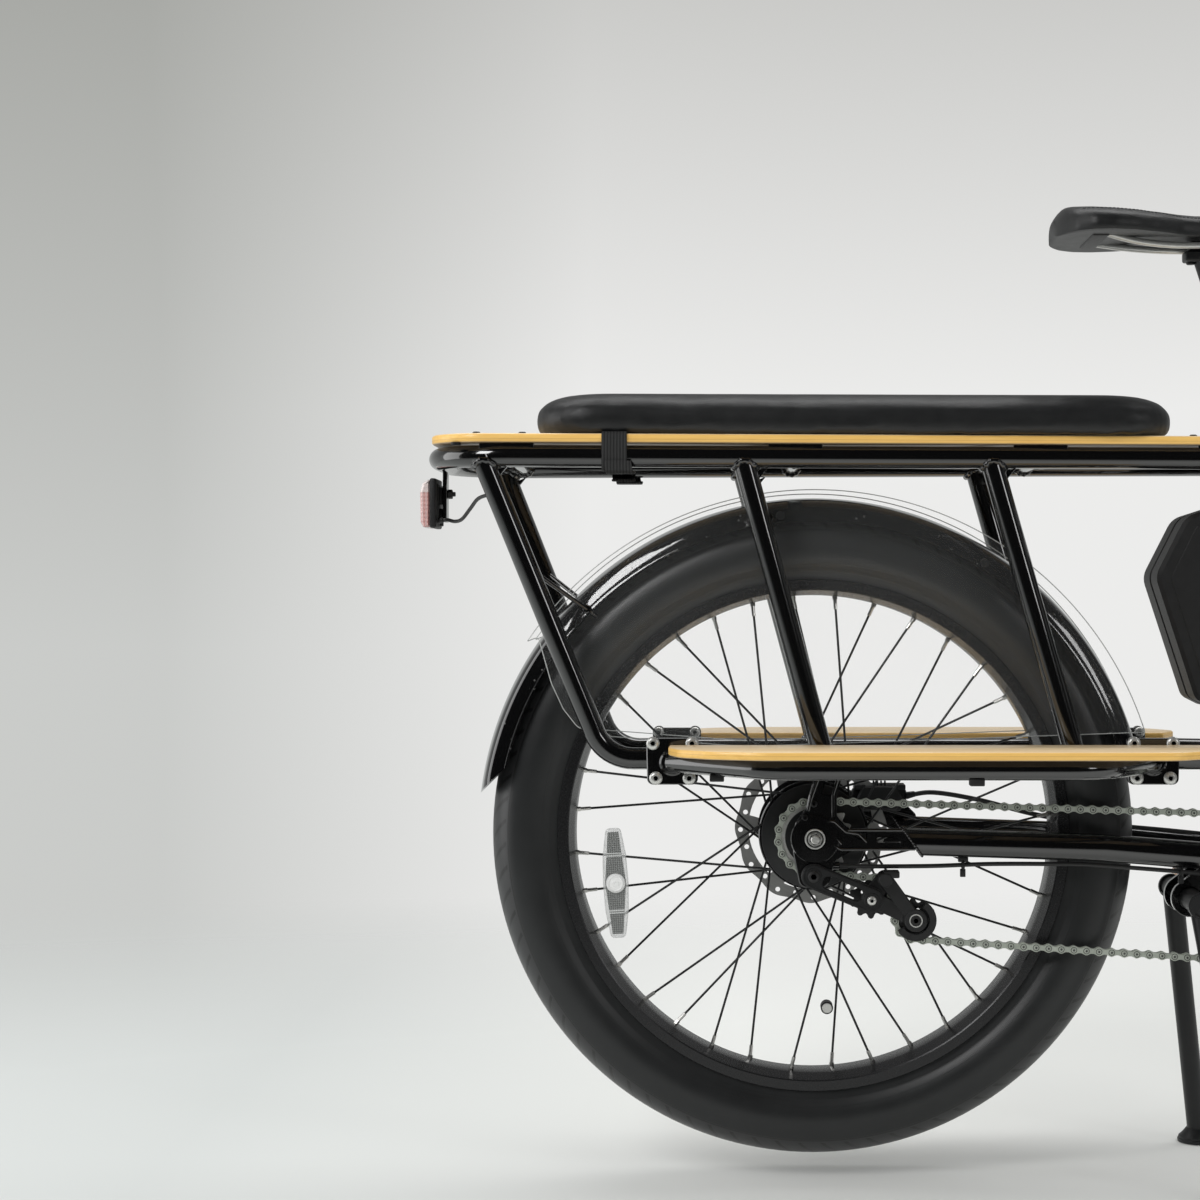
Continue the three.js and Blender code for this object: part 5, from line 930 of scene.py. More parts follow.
deck_tubes = Form()
front, rear, deck_height, tube, cross_tube = -157.5, -999, 732, 11, 8.2
front_corners = [(front, -60, deck_height), (front, 60, deck_height)]
loop = [front_corners[0], (rear, -110, deck_height), (rear, 110, deck_height), front_corners[1]]
deck_tubes.tube(loop, tube, 70)
deck_tubes.tube(front_corners, tube)
for x in (-925, -640, -395):
    right, left = [Vector((x, side * deck_half(x), deck_height)) for side in (-1, 1)]
    deck_tubes.tube([right, left], cross_tube)
    for end in (right, left):
        weld(deck_tubes, (x, 0, deck_height), end, cross_tube, end, (1, 0, 0), tube)
        deck_tubes.block(end + Vector((-27, -5.5, 4)), end + Vector((27, 5.5, tube + 1.6)), 0.8)
deck_tubes.block((-1000, -11, 670), (-996, 11, 728), 0.9)
deck_tubes.place("deck_tubes", "frame", gloss_paint, "rack_deck_frame")

strut_tops = (-950, -692.5, -445)
strut_feet = (-829.4, -611.5, -360)
low_rail = 432
rail_line = 80
bracket_places = (-761.8, -286.5)


def strut_ends(n, side):
    """The strut's ends: on the deck's loop and on the low rail."""
    return (Vector((strut_tops[n], side * deck_half(strut_tops[n]), deck_height)),
            Vector((strut_feet[n], side * rail_line, low_rail)))


def rounded_loop(points, radius, step=9):
    """A closed outline with its corners rounded."""
    spots = [Vector((*p, 0)) for p in points]
    outline = []
    for n, here in enumerate(spots):
        radius_here = radius[n] if isinstance(radius, (list, tuple)) else radius
        before, after = spots[n - 1], spots[(n + 1) % len(spots)]
        corner = rounded([here.lerp(before, 0.5), here, here.lerp(after, 0.5)], radius_here, step)
        outline += [(p.x, p.y) for p in corner[1:-1]]
    return outline


def bracket_outline(centre):
    half, top, low, foot = 25.75, 453.2, 407.5, 25
    corners = [(centre - half, top), (centre + half, top), (centre + half, 437),
               (centre + foot, low), (centre - foot, low), (centre - half, 437)]
    return rounded_loop(corners, [6, 6, 12, 6, 6, 12], 12)


for side, name in ((-1, "right"), (1, "left")):
    tubes = Form()
    for n, top in enumerate(strut_tops):
        head, foot = strut_ends(n, side)
        if n:
            tubes.tube([head, foot], tube)
            weld(tubes, head, foot, tube, foot, (1, 0, 0), tube)
        else:
            run = [head, foot, (-235, side * rail_line, low_rail), (-45.8, side * 13, low_rail)]
            tubes.tube(run, tube, 42)
        weld(tubes, foot, head, tube, head, (deck_length, -deck_taper * side, 0), tube)
        gusset = [(top + 16, 718), (top + 17, 711), (top + 26, 722)]
        tubes.plate(gusset, deck_half(top) - 2, deck_half(top) + 2, edge=0.5, side=side)
    for centre in bracket_places:
        tubes.plate(bracket_outline(centre), 90, 95, edge=0.8, side=side)
    tubes.place("rack_tubes_" + name, "frame", gloss_paint, "rack_side_" + name)

# Boards. Pressed bamboo: edge-glued strips on top, two or three plies at the edge, lacquered.
# Each is a bevelled slab with small black screws, held off the tubes by thin spacers.
bamboo = Finish("bamboo", Coat_Weight=0.35, Coat_Roughness=0.18)
x, y, z = bamboo.spot().axes()
strip_width, strip_length = 19, 330
strip = y / strip_width + 0.35
seam = ((strip.part() - 0.5).size() > 0.488) * 1.0
strip_place = {0: strip.do("FLOOR"),
               1: (x / strip_length + strip.do("FLOOR") * 0.37).do("FLOOR")}
tone = bamboo.node("TexWhiteNoise", {"Vector": bamboo.node("CombineXYZ", strip_place)})
fibre = bamboo.noise(3.2, 5, 0.65, stretch=(0.045, 1, 1))
rise = bamboo.node("NewGeometry", output="Normal").axes()[2]
upright = rise.size()
# Faces that point down are painted darker: painted shade on the boards' undersides.
below = (rise * -1).ramp(0.6, 0.95)
top_tone = bamboo.mix(tone * 0.4 + fibre * 0.6, (0.74, 0.51, 0.27), (0.92, 0.74, 0.47))
edge_tone = bamboo.mix(fibre, (0.70, 0.38, 0.075), (0.93, 0.60, 0.17))
plies = ((z - 748.6).size() < 0.3) + ((z - 443.2).size() < 0.3)
drawn = (seam * 0.3 * (upright > 0.7) + plies * 0.3).clamped()
wood = bamboo.mix(upright.ramp(0.55, 0.9), edge_tone, top_tone)
wood = bamboo.mix(below * 0.8, wood, (0.10, 0.06, 0.03))
bamboo.set(Base_Color=bamboo.mix(drawn, wood, (0.25, 0.13, 0.045)), Roughness=fibre * 0.25 + 0.3)
bamboo.bump(fibre * 0.5 - drawn, 0.12)
front_half = deck_half(-205) + 10
plan = [(-1004, -120), (-205, -front_half), (-205, front_half), (-1004, 120)]
board = Form().plate(rounded_loop(plan, [70, 40, 40, 70], 5), 745, 754, (), 1.6, flat=True)
board.place("bamboo_board", "frame", bamboo, "deck_board", soft=50)
screws = Form()
for x in (-955, -910, -240):
    for side in (-1, 1):
        line = side * (deck_half(x) - 1)
        screws.rod((x, line, 753.6), (x, line, 755.9), 4.4, 3.6, 0.7, 24)
for x in (-975, -925, -640, -395, -230):
    for side in (-1, 1):
        line = side * deck_half(x)
        screws.rod((x, line, 742.6), (x, line, 745.1), 5, sides=16)
screws.place("board_screws", "frame", satin)

# Footboards. Two bamboo boards, each on a bent gloss black tube with rubber-tipped stops below,
# and bolted through bracket plates to the low rails with four button-head bolts a plate.
inner, outer, board_rear, board_front = 109, 220, -765, -238
nose = 89
plan = [(board_rear, -inner), (board_front, -inner), (board_front + 20, -inner - 39),
        (board_front, -outer + 33), (board_front - nose * 0.5, -outer), (board_rear + nose, -outer),
        (board_rear + nose * 0.45, -outer + 18), (board_rear + nose * 0.12, -outer + 44),
        (board_rear, -inner - 33)]
corner_sizes = [5, 5, 60, 60, 110, 200, 120, 90, 60]
tube_height = 429.3
for side, name in ((-1, "right"), (1, "left")):
    outline = [(x, -y * side) for x, y in rounded_loop(plan, corner_sizes, 4)]
    Form().plate(outline, 438.8, 447.3, (), 1.5, flat=True).place(
        "bamboo_footboard_" + name, "frame", bamboo, "footboard_" + name, soft=50)
    tubes = Form()
    run = [(bracket_places[0], side * 97.8, tube_height), (-668.3, side * 200, tube_height),
           (-352.5, side * 200, tube_height), (bracket_places[1], side * 97.8, tube_height)]
    tubes.tube(run, 10, 62)
    for x in (-619.2, -429.1):
        tubes.tube([(x, side * 109, tube_height), (x, side * 200, tube_height)], 6)
    for centre in bracket_places:
        tubes.plate(bracket_outline(centre), 95.3, 100.3, edge=1.0, side=side)
        tubes.turned([(13.4, 100.2), (11.6, 101.4), (10.4, 103.6), (9.8, 103.7)],
                     (centre, 0, tube_height), 40, side=side)
    tubes.place("footboard_tubes_" + name, "frame", gloss_paint, "footboard_frame_" + name)
    bolts = Form()
    for centre in bracket_places:
        spots = [(centre + across * 51.5 * share, 431.2 + up * 17.2)
                 for across in (-1, 1) for up, share in ((-1, 0.32), (1, 0.375))]
        studs(bolts, spots, 6.6, 3.6, side * 100.3, side, socket=0.38)
        studs(bolts, spots, 5.6, 3, side * 90, -side, socket=0.38)
    bolts.place("bracket_bolts_" + name, "frame", steel, soft=30)
    feet = Form()
    for x, line in ((-717.7, 146), (-471.6, 200)):
        feet.block((x - 7, side * line - 7, 414.3), (x + 7, side * line + 7, 421), 1.2)
    feet.place("tube_stops_" + name, "frame", plastic)

# Frame. Gloss black welded steel tubes with beads at each joint; the chainstays are flattened.
# The dropouts are machined plates with slots and raised ribs. The left one also holds the caliper.
steer_foot = Vector((644.32, 0, 311.08))
steer_ahead = Vector((0.93358, 0, 0.35837))
steer_up = Vector((-0.35837, 0, 0.93358))
seat_up = Vector((-0.30902, 0, 0.95106))
seat_behind = Vector((-0.95106, 0, -0.30902))


def on_steer(ahead, side, up):
    return steer_foot + steer_ahead * ahead + steer_up * up + Vector((0, side, 0))


def on_seat(behind, side, up):
    return crank_axis + seat_up * up + seat_behind * behind + Vector((0, side, 0))


main = Form()
head = [(15, 400), (26, 400), (26.5, 402), (26.5, 410), (25.6, 412), (23, 413.5), (23, 551.5),
        (25.6, 553), (26.5, 555), (26.5, 563), (26, 565), (15, 565)]


def turned_on(form, profile, foot, way, sides=64, looped=True):
    """Turn a profile of (radius, height) about a leaning line."""
    way = way.normalized()
    side = Vector((0, 1, 0))
    other = way.cross(side)
    rows = [[foot + way * h + r * (side * math.cos(a) + other * math.sin(a))
             for a in circle(sides)] for r, h in profile]
    return form.rings(rows, looped)


turned_on(main, head, steer_foot, steer_up)
down_foot, down_top = Vector((58.8, 0, 317)), Vector((487.2, 0, 720.4))
top_foot, top_top = on_seat(0, 0, 254), on_steer(0, 0, 534.6)
down_tube, top_tube, seat_tube, head_tube, top_sides, cope = 24, 19, 19, 23, 40, 17.6
main.tube([down_foot, down_top], down_tube, sides=48)
made = main.count()
main.tube([top_foot, top_top], top_tube, sides=top_sides)
main.mesh.verts.ensure_lookup_table()
for v in main.mesh.verts[made:made + top_sides]:
    v.co += (top_top - top_foot).normalized() * math.sqrt(max(cope ** 2 - v.co.y ** 2, 0))
turned_on(main, [(17, 60), (19, 60), (19, 504), (21.5, 505.5), (22.5, 507), (22.5, 526.5),
                 (21.5, 528), (16.2, 528), (16.2, 60)], crank_axis, seat_up, 48)
weld(main, down_foot, down_top, down_tube, down_top, steer_up, head_tube, 2)
weld(main, top_foot, top_top, top_tube, top_top, steer_up, head_tube, 1.8)
weld(main, top_top, top_foot, top_tube, top_foot, seat_up, seat_tube, 1.8)
motor_end = (84, 317)
cradle = round_slot(crank_spot, motor_end, 66, 54, 24)
cradle = [p for p in cradle if p[1] >= 291]
hollow = [p for p in round_slot(crank_spot, motor_end, 58.3, 46.3, 24) if p[1] >= 291]
main.plate(sorted(cradle, key=lambda p: -math.atan2(p[1] - 291, p[0] - 42))[::-1] +
           sorted(hollow, key=lambda p: -math.atan2(p[1] - 291, p[0] - 42)), -30, 30, (), 1.5)
holder = [on_seat(17, 0, 245), on_seat(25, 0, 245), on_seat(25, 0, 440), on_seat(17, 0, 440)]
main.plate([flat_point(p) for p in holder], -25, 25, (), 1.2)
stand_pivot = Vector((-235, 0, 285))
for side in (-1, 1):
    run = [(-523, side * 68.2, 347.7), (-331, side * 60, 341), (-29, side * 30, 314)]
    made, stay_sides, end_height, end_slant = main.count(), 32, 348, 0.75
    main.tube(run, 11.6, 120, stay_sides, flat=1.2)
    main.mesh.verts.ensure_lookup_table()
    for v in main.mesh.verts[made:made + stay_sides]:
        v.co.x -= (v.co.z - end_height) * end_slant
        bead = Vector((1.2, 0, -1))
        main.rod(v.co - bead, v.co + bead, 1.5, edge=0.7, sides=10)
    main.plate(round_slot(flat_point(stand_pivot), (-206, 317.3), 19, 11, 16), 15, 23,
               [disc(flat_point(stand_pivot), 11.4, 32)], 1, side=side)
main.tube([(-206, -46, 317.3), (-206, 46, 317.3)], 11)
main.rod((-607, -65, 323.5), (-595, -65, 323.5), 4, edge=0.8, sides=20)
main.place("frame_tubes", "frame", gloss_paint, "main_frame")


def dropout_spots(*pairs):
    return [(rear_axle.x + x, rear_axle.z + z) for x, z in pairs]


slim_nose = [(31, 75), (22, 44), (22, 22), (34, 10), (98, 10), (110, 0), (106, -11), (36, -12.5)]
caliper_nose = [(31, 75), (30, 44), (36, 38), (60, 36), (92, 32), (112, 12), (112, -18), (55, -19)]
for side, name, nose in ((-1, "right", slim_nose), (1, "left", caliper_nose)):
    plates = Form()
    spots = dropout_spots((-22, -14), (-20, 16), (-9, 30), (-6, 44), (4, 75), *nose, (20, -22),
                          (13, -49), (-15, -49))
    outline = rounded_loop(spots, [14, 10, 8, 10, 3, 3, 10, 9, 12, 8, 5, 6, 8, 6, 10, 12], 12)
    web = rounded_loop(dropout_spots((7, 44), (12, 64), (23, 64), (16, 44)), 4.5, 12)
    window = rounded_loop(dropout_spots((40, 2), (46, 6), (52, 6), (50, -1)), 1.5, 12)
    slit = rounded_loop(dropout_spots((62, -4), (62, 1.4), (80, 1.4), (86, -4)), 2.2, 12)
    plates.plate(outline, 65.1, 71.9, [web, window, slit], 1.1, side=side)
    face = side * 72
    ribs = [((12, 17), (19, 18), (31, 7), (44, 5), (52, -3)), ((13, 9), (27, -5)),
            ((33, 8.8), (92, 8.8)), ((14, -4), (26, -10.5), (100, -10)),
            ((-7, 28), (-3, 43), (7, 70)), ((18, 22), (18, 44), (26, 70))]
    for rib in ribs:
        line = [(x, face, z) for x, z in dropout_spots(*rib)]
        plates.tube(line, 1.7, 6, sides=12)
    plates.turned([(12, 71), (23.5, 71), (24.5, 72), (23.6, 73.6), (12, 73.8)], rear_axle, 64,
                  looped=True, side=side)
    plates.place("dropout_" + name, "frame", gloss_paint)
    small = Form()
    studs(small, dropout_spots((-1, 35), (-10, 21)), 3.4, 2, face, side)
    small.place("dropout_screws_" + name, "frame", satin)

# Fenders. Gloss black rolled strips with a crowned top, straight skirts and a bead at the edge. The
# rear one hangs on short rods from the struts, the front one on the fork's crown and two stays.
fender_paint = Finish("gloss_black_fender", Coat_Weight=1.0, Coat_Roughness=0.03, Coat_IOR=1.5)
dust = (fender_paint.cells(7) < 0.16) * fender_paint.noise(26, 4, 0.7).ramp(0.5, 0.62)
fender_tone = fender_paint.mix(dust * 0.5, (0.002, 0.002, 0.0022), (0.16, 0.16, 0.15))
fender_paint.set(Roughness=dust * 0.4 + 0.1, Base_Color=fender_tone)
fender_paint.bump(fender_paint.noise(9, 2), 0.012)


fender_crown, fender_depth, fender_wall, fender_side = 343.9, 25, 2, 46.6


def fender_strip(form, centre, start, end, cut=0.0):
    """A rolled strip between two angles. Its end is cut back by some degrees at the skirts."""
    skirt = [(318.6, 46.9), (319.2, 47.8), (320.6, 47.8), (321.4, 47.2), (324, 46.8), (326, 46.2),
             (333, 43.1), (335.4, 41.4), (338.4, 37), (340, 31), (341.8, 20), (343.2, 10),
             (fender_crown, 0)]
    outside = skirt + [(r, -y) for r, y in reversed(skirt[:-1])]
    inside = [(r - fender_wall * max(0.0, min(1.0, (r - 325) / 12)),
               y * (fender_side - fender_wall) / fender_side) for r, y in outside]
    section = outside + inside[::-1]
    rows, steps = [], 120
    for n in range(steps + 1):
        row = []
        for r, y in section:
            last = end - cut * (fender_crown - r) / fender_depth
            angle = math.radians(start + (last - start) * n / steps)
            row.append((centre.x + r * math.cos(angle), y, centre.z + r * math.sin(angle)))
        rows.append(row)
    form.rings(rows)


mudguard = Form()
fender_strip(mudguard, rear_axle, 14, 173.2, 6)
bridge_angle = 13.9974
bridge = [beside(rear_axle, 345, bridge_angle, y) for y in (-79, 79)]
mudguard.rod(*bridge, 3, sides=16)
for side in (-1, 1):
    for n, height, angle in ((0, 623.1, 135), (1, 700, 98)):
        head, foot = strut_ends(n, side)
        hold = head.lerp(foot, (deck_height - height) / (deck_height - low_rail))
        end = beside(rear_axle, 325, angle, side * 47.4)
        along = (end - hold).normalized()
        mudguard.tube([hold + along * 9, end + Vector((0, side * 3, 0)),
                       end + Vector((0, side * 2, 0)) + along * 14], 2.3, 6, sides=14)
        mudguard.rod(end - Vector((0, side * 1.5, 0)), end + Vector((0, side * 5, 0)),
                     4.8, 4, 1, 20)
mudguard.place("rear_mudguard", "frame", fender_paint, "rear_fender", soft=32)
bumps = Form()
for angle in (146, 96, 58):
    for side in (-1, 1):
        bumps.turned([(4.6, 45), (4.4, 48.1), (2.4, 48.15)], beside(rear_axle, 326, angle), 20,
                     side=side)
bumps.place("mudguard_rivets", "frame", satin)
small_bracket = Form()
small_bracket.block((-889, -48.4, 549), (-882, -47.4, 562), 0.4)
small_bracket.rod((-885.5, -49.8, 556), (-885.5, -48, 556), 2.6, edge=0.6, sides=16)
small_bracket.place("guard_bracket", "frame", nipple_steel)

steered = Matrix(((steer_ahead.x, 0, steer_up.x, steer_foot.x), (0, 1, 0, 0),
                  (steer_ahead.z, 0, steer_up.z, steer_foot.z), (0, 0, 0, 1)))
front_guard = Form()
fork_offset, under_crown, crown_reach = 50, 358.6, 60
fender_strip(front_guard, Vector((fork_offset, 0, 0)), 24, 190)
for v in front_guard.mesh.verts:
    if v.co.z > under_crown and abs(v.co.x) < crown_reach:
        v.co.z = under_crown
for side in (-1, 1):
    front_guard.rod((43.5, side * 56, 13), (-272, side * 47.4, 0), 2.1, sides=14)
    front_guard.rod((-272, side * 46.9, 0), (-272, side * 50, 0), 5.6, 4.6, 1, 18)
front_guard.place("front_mudguard", "steering", fender_paint, "front_fender", turn=steered,
                  soft=32)

# Wheel guards. Thin clear plastic sheets at the sides of the rear fender, with a painted highlight
# on their edges, a painted sheen, and the fine scratches of use, held by the fender's rods.
clear = Finish("clear_plastic", Roughness=0.12)
# Painted light on the sheets: a painted sheen makes them paler and less clear at grazing angles,
# and a painted highlight draws an opaque grey line on the cut edges.
grazing_sheen = clear.node("LayerWeight", {"Blend": 0.35}, output="Facing")
across_way = clear.node("NewGeometry", output="Normal").axes()[1].size()
scratch = clear.noise(2.5, 6, 0.8, stretch=(1, 1, 0.15)).ramp(0.64, 0.72) * 0.03
rim = (across_way < 0.85) * 1.0
clear.set(Base_Color=clear.mix(rim, (0.90, 0.92, 0.91), (0.42, 0.43, 0.42)),
          Alpha=(0.012 + grazing_sheen.power(3) * 0.3 + rim * 0.7 + scratch).clamped(),
          Roughness=scratch * 3 + 0.08)
clear.bump(clear.noise(30, 2), 0.2)
guard_radius, guard_floor = 351, 105
foot = math.degrees(math.asin(guard_floor / guard_radius))
guard = arc(flat_point(rear_axle), guard_radius, foot, 146, 80)
guard += [(rear_axle.x - behind, rear_axle.z + guard_floor + up) for behind, up in (
    (279, 96), (266, 50), (254, 24), (240, 6), (222, -3), (70, -14.5))]
guard = rounded_loop(guard, 12, 20)
for side, name in ((-1, "right"), (1, "left")):
    Form().plate(guard, 48.4, 50.6, edge=1, side=side).place(
        "clear_guard_" + name, "frame", clear, "wheel_guard_" + name)

# Tail light. A black housing on a thin hanger plate, with a clear lens over red reflector cells,
# a bolt at the back and the cable that runs to the strut.
lens = Finish("red_lens", Coat_Weight=1.0, Coat_Roughness=0.03)
x, y, z = lens.spot().axes()
cell = ((y / 4.2).part() - 0.5).size() + ((z / 4.2).part() - 0.5).size()
upper = (z > 700) * 1.0
bars = ((x + 1021.4) / 3.4).part() > 0.7
glow = lens.mix(cell, (0.30, 0.07, 0.06), (0.66, 0.33, 0.30))
glow = lens.mix(bars * 0.5, glow, (0.70, 0.60, 0.58))
lens.set(Base_Color=lens.mix(upper * 0.75, glow, (0.72, 0.66, 0.64)), Roughness=cell * 0.2 + 0.08)
lens.bump(cell, 0.6)
tail_side = [(-1011, 664.5), (-1018, 664.5), (-1020.6, 670), (-1021.2, 700), (-1018.6, 709),
             (-1011, 713.4)]
Form().plate(rounded_loop(tail_side, 3, 12), -25.4, 25.4, (), 2).place(
    "tail_lens", "frame", lens, "tail_light_lens")
shell = Finish("clear_lens_shell", "clear_plastic", Base_Color=(0.92, 0.9, 0.9))
# A painted sheen makes the shell paler and less clear at grazing angles.
shell_grazing_sheen = shell.node("LayerWeight", {"Blend": 0.3}, output="Facing")
shell.set(Alpha=shell_grazing_sheen.power(2) * 0.5 + 0.12, Roughness=shell.noise(3) * 0.06 + 0.03)
shell_side = [(-1011.4, 664), (-1018.4, 664), (-1021.2, 669.6), (-1021.7, 700.4), (-1019, 709.6),
              (-1011.4, 714)]
Form().plate(rounded_loop(shell_side, 3, 12), -26, 26, (), 2.2).place(
    "tail_lens_shell", "frame", shell)
housing = Form()
housing.block((-1011.6, -26, 663.6), (-1005, 26, 714.4), 2)
housing.block((-1008, -19, 668), (-1003.4, 19, 709), 1.6)
housing.block((-1004.4, -9, 688), (-1000.4, 9, 706), 1)
housing.rod((-1003, 0, 699), (-988, 0, 699), 2.4, edge=0.4, sides=20)
housing.rod((-995.8, 0, 699), (-991, 0, 699), 5, edge=0.5, sides=6)
housing.block((-1004, -4, 666), (-1000.6, 4, 684), 0.8)
housing.tube(smooth_line([(-1004, -15, 671), (-1001.6, -16.4, 671.6), (-999, -17, 672)], 4), 3.2,
             sides=16)
housing.place("tail_housing", "frame", plastic, "tail_light_housing")


def cable(name, body, node, route, radius, sides=16, turn=None):
    Form().tube(smooth_line(route), radius, sides=sides).place(name, body, jacket, node, turn=turn)


tail_route = [(-1003, -16.2, 672.6), (-994, -18, 672), (-985, -30, 670), (-976, -45, 672),
              (-966, -60, 682), (-956, -80, 691), (-943, -99.4, 694.4)]
cable("tail_cable", "frame", "tail_light_cable", tail_route, 1.9, 14)

# Hoses and the shift cable. Black jackets in the CAD's routes, with end ferrules, and two clips
# that hold the cable under the right chainstay.
foot = [(-518.6, 51, 384.1), (-490, 55, 387), (-442, 58, 378.9), (-385, 60, 364), (-331, 59.5, 355),
        (-250, 51, 348), (-180, 45.5, 342), (-120, 43, 341), (-60, 42.5, 348), (0, 42, 356),
        (50, 38, 366), (84, 34, 376)]


def beside_down_tube(side, radius):
    line = side * (down_tube + radius + 0.3)
    return [down_foot.lerp(down_top, share) + Vector((0, line, 0))
            for share in (0.17, 0.35, 0.55, 0.72, 0.86)]


bar_centre = Vector((55, 0, 680))


def bar_bends(side):
    """The bar's last bend and its end."""
    return [bar_centre + Vector((-11.4, side * 135.2, 55)),
            bar_centre + Vector((-95, side * 345, 55))]


def grip_line(side):
    knee, end = bar_bends(side)
    return end, (knee - end).normalized()


lever_ahead = Vector((0.90631, 0, -0.42262))


def perch_places(side):
    end, along = grip_line(side)
    middle = end + along * (120 + (46 if side < 0 else 0) + 0.6 + 17)
    return middle, middle + lever_ahead * 38.4, along


def lever_exit(side, beyond):
    _, pivot, along = perch_places(side)
    return pivot + along * (51 + beyond)


spout_drop = Vector((0, 0, -21.5))


def shifter_exit(beyond):
    end, along = grip_line(-1)
    return end + along * (182 + beyond) + spout_drop


rear_hose = [Vector(p) for p in foot] + beside_down_tube(1, 2.6) + [
    Vector((462, 36, 706)), Vector((505, 46, 775)), Vector((515, 38, 860)), Vector((508, 0, 940)),
    Vector((495, -50, 990)), steered @ lever_exit(-1, 32), steered @ lever_exit(-1, 0.3)]
shift_run = [(-594.7, -65, 323.5), (-560, -62.5, 322.5), (-500, -63, 323), (-440, -63, 325),
             (-360, -61.5, 324.5), (-331, -60, 323), (-260, -54, 317), (-200, -52, 312),
             (-150, -55.5, 317), (-112, -53, 329), (-75, -46, 343), (-40, -44, 352),
             (10, -43, 360), (55, -38, 368), (84, -34, 376)]
shift_line = [Vector(p) for p in shift_run] + beside_down_tube(-1, 2.3) + [
    Vector((462, -36, 706)), Vector((500, -48, 775)), steered @ Vector((52, -50, 570)),
    steered @ Vector((58, -90, 672)), steered @ shifter_exit(40), steered @ shifter_exit(0.3)]
cable("rear_hose", "frame", "rear_brake_hose", rear_hose, 2.5)
cable("shift_line", "frame", "shift_cable", shift_line, 2.2)
front_hose = [Vector(p) for p in (
    (-12, 51, 73.4), (-14, 53, 95), (-18, 66, 128), (-16, 82, 165), (-3, 87, 215), (0, 86.5, 290),
    (12, 88, 345), (32, 80, 400), (58, 52, 480), (85, 50, 590), (92, 85, 675))]
front_hose += [lever_exit(1, 32), lever_exit(1, 0.3)]
cable("front_hose", "steering", "front_brake_hose", front_hose, 2.5, turn=steered)
clips = Form()
for x, y, z in ((-471, -63, 324), (-250, -53, 316)):
    clips.tube([(x, y + 4.5 * math.sin(a), z + 4.5 * math.cos(a)) for a in circle(24)], 1.5,
               sides=8, looped=True)
    clips.block((x - 5, y - 3, z + 3), (x + 5, y + 3, z + 8), 0.8)
    clips.block((x - 3, y - 2, z - 12), (x + 2.4, y + 2, z - 4), 0.6)
clips.rod((-596, -65, 323.5), (-586, -65, 323.2), 3.4, 2.8, 0.6, 20)
clips.place("cable_clips", "frame", plastic)

# Cushion. A long foam pad in smooth black leatherette, crowned on top and narrower at the front.
# A cloth simulation blows the cover out a little, and it is gathered above the bottom edge.
hide = Finish("leatherette")
pebble = hide.cells(1.5, "DISTANCE_TO_EDGE")
crease = hide.noise(14, 5, 0.62)
hide.set(Base_Color=hide.mix(crease, (0.006, 0.0063, 0.0066), (0.013, 0.0136, 0.014)),
         Roughness=crease * 0.16 + hide.noise(1.1, 2) * 0.1 + 0.28)
hide.bump(pebble * 0.6 + crease * 0.9, 0.32)
pad_rear, pad_front, pad_floor = -903, -255, 754.4
pad_rows = [(0, 5.5), (2.5, 2.4), (6, 0.8), (11, 0), (17, 0), (22, 0.8), (26.5, 3), (30.6, 6.6),
            (34, 11.4), (36.8, 18), (38.8, 27), (40.4, 40), (41.6, 60), (42.2, 84)]


def pad_ring(inset, height):
    corners = [(pad_front - inset, -(94 - inset), -90), (pad_front - inset, 94 - inset, 0),
               (pad_rear + inset, 112 - inset, 90), (pad_rear + inset, -(112 - inset), 180)]
    radius = max(60 - inset * 0.62, 8)
    points = []
    for x, y, start in corners:
        middle = (x - math.copysign(radius, x - (pad_rear + pad_front) / 2),
                  y - math.copysign(radius, y))
        corner = arc(middle, radius, start, start + 90, 14)
        points += [(px, py, pad_floor + height) for px, py in corner]
    return points


def blown(piece, voxel, pressure, most, flat_floor):
    """Swell a closed mesh by cloth simulation, with no point moved further than a limit."""
    remesh = piece.modifiers.new("remesh", "REMESH")
    remesh.mode = "VOXEL"
    remesh.voxel_size = voxel
    view = bpy.context.evaluated_depsgraph_get()
    start = bpy.data.meshes.new_from_object(piece.evaluated_get(view))
    piece.modifiers.clear()
    piece.data = start
    rest = [v.co.copy() for v in start.vertices]
    cloth = piece.modifiers.new("cloth", "CLOTH")
    cloth.settings.use_pressure = True
    cloth.settings.uniform_pressure_force = pressure
    cloth.settings.effector_weights.gravity = 0
    cloth.settings.quality = 5
    first, last = 1, 20
    cloth.point_cache.frame_start = first
    cloth.point_cache.frame_end = last
    for step in range(first, last + 1):
        scene.frame_set(step)
    view = bpy.context.evaluated_depsgraph_get()
    swollen = bpy.data.meshes.new_from_object(piece.evaluated_get(view))
    piece.modifiers.clear()
    piece.data = swollen
    for v, was in zip(swollen.vertices, rest):
        move = v.co - was
        if move.length > most:
            move = move * (most / move.length)
        v.co = was + move
        v.co.z = max(v.co.z, flat_floor)
    scene.frame_set(first)


pad = Form().rings([pad_ring(inset, height) for height, inset in pad_rows])
cushion = pad.place("cushion", "frame", hide, "deck_cushion", soft=60)
board_top, blowing_room = 0.7545, 0.96
for v in cushion.data.vertices:
    v.co.z = board_top + (v.co.z - board_top) * blowing_room
blown(cushion, voxel=0.006, pressure=3.0, most=0.0035, flat_floor=board_top)
cushion.data.materials.clear()
cushion.data.materials.append(hide.material)
gather_height, gather_reach, gather_depth = 0.7575, 0.006, 0.0007
for v in cushion.data.vertices:
    low = max(0.0, 1 - abs(v.co.z - gather_height) / gather_reach)
    edge = abs(v.co.y) / (0.112 - (v.co.x + 0.903) * 0.018 / 0.648)
    ripple = math.sin(v.co.x * 1000 / 4.3) + 0.6 * math.sin(v.co.x * 1000 / 9.7 + 1.3)
    v.co.z += gather_depth * low * ripple * (edge > 0.7)
smoother = cushion.modifiers.new("smooth", "SUBSURF")
smoother.levels = smoother.render_levels = 1
cushion.data.shade_smooth()

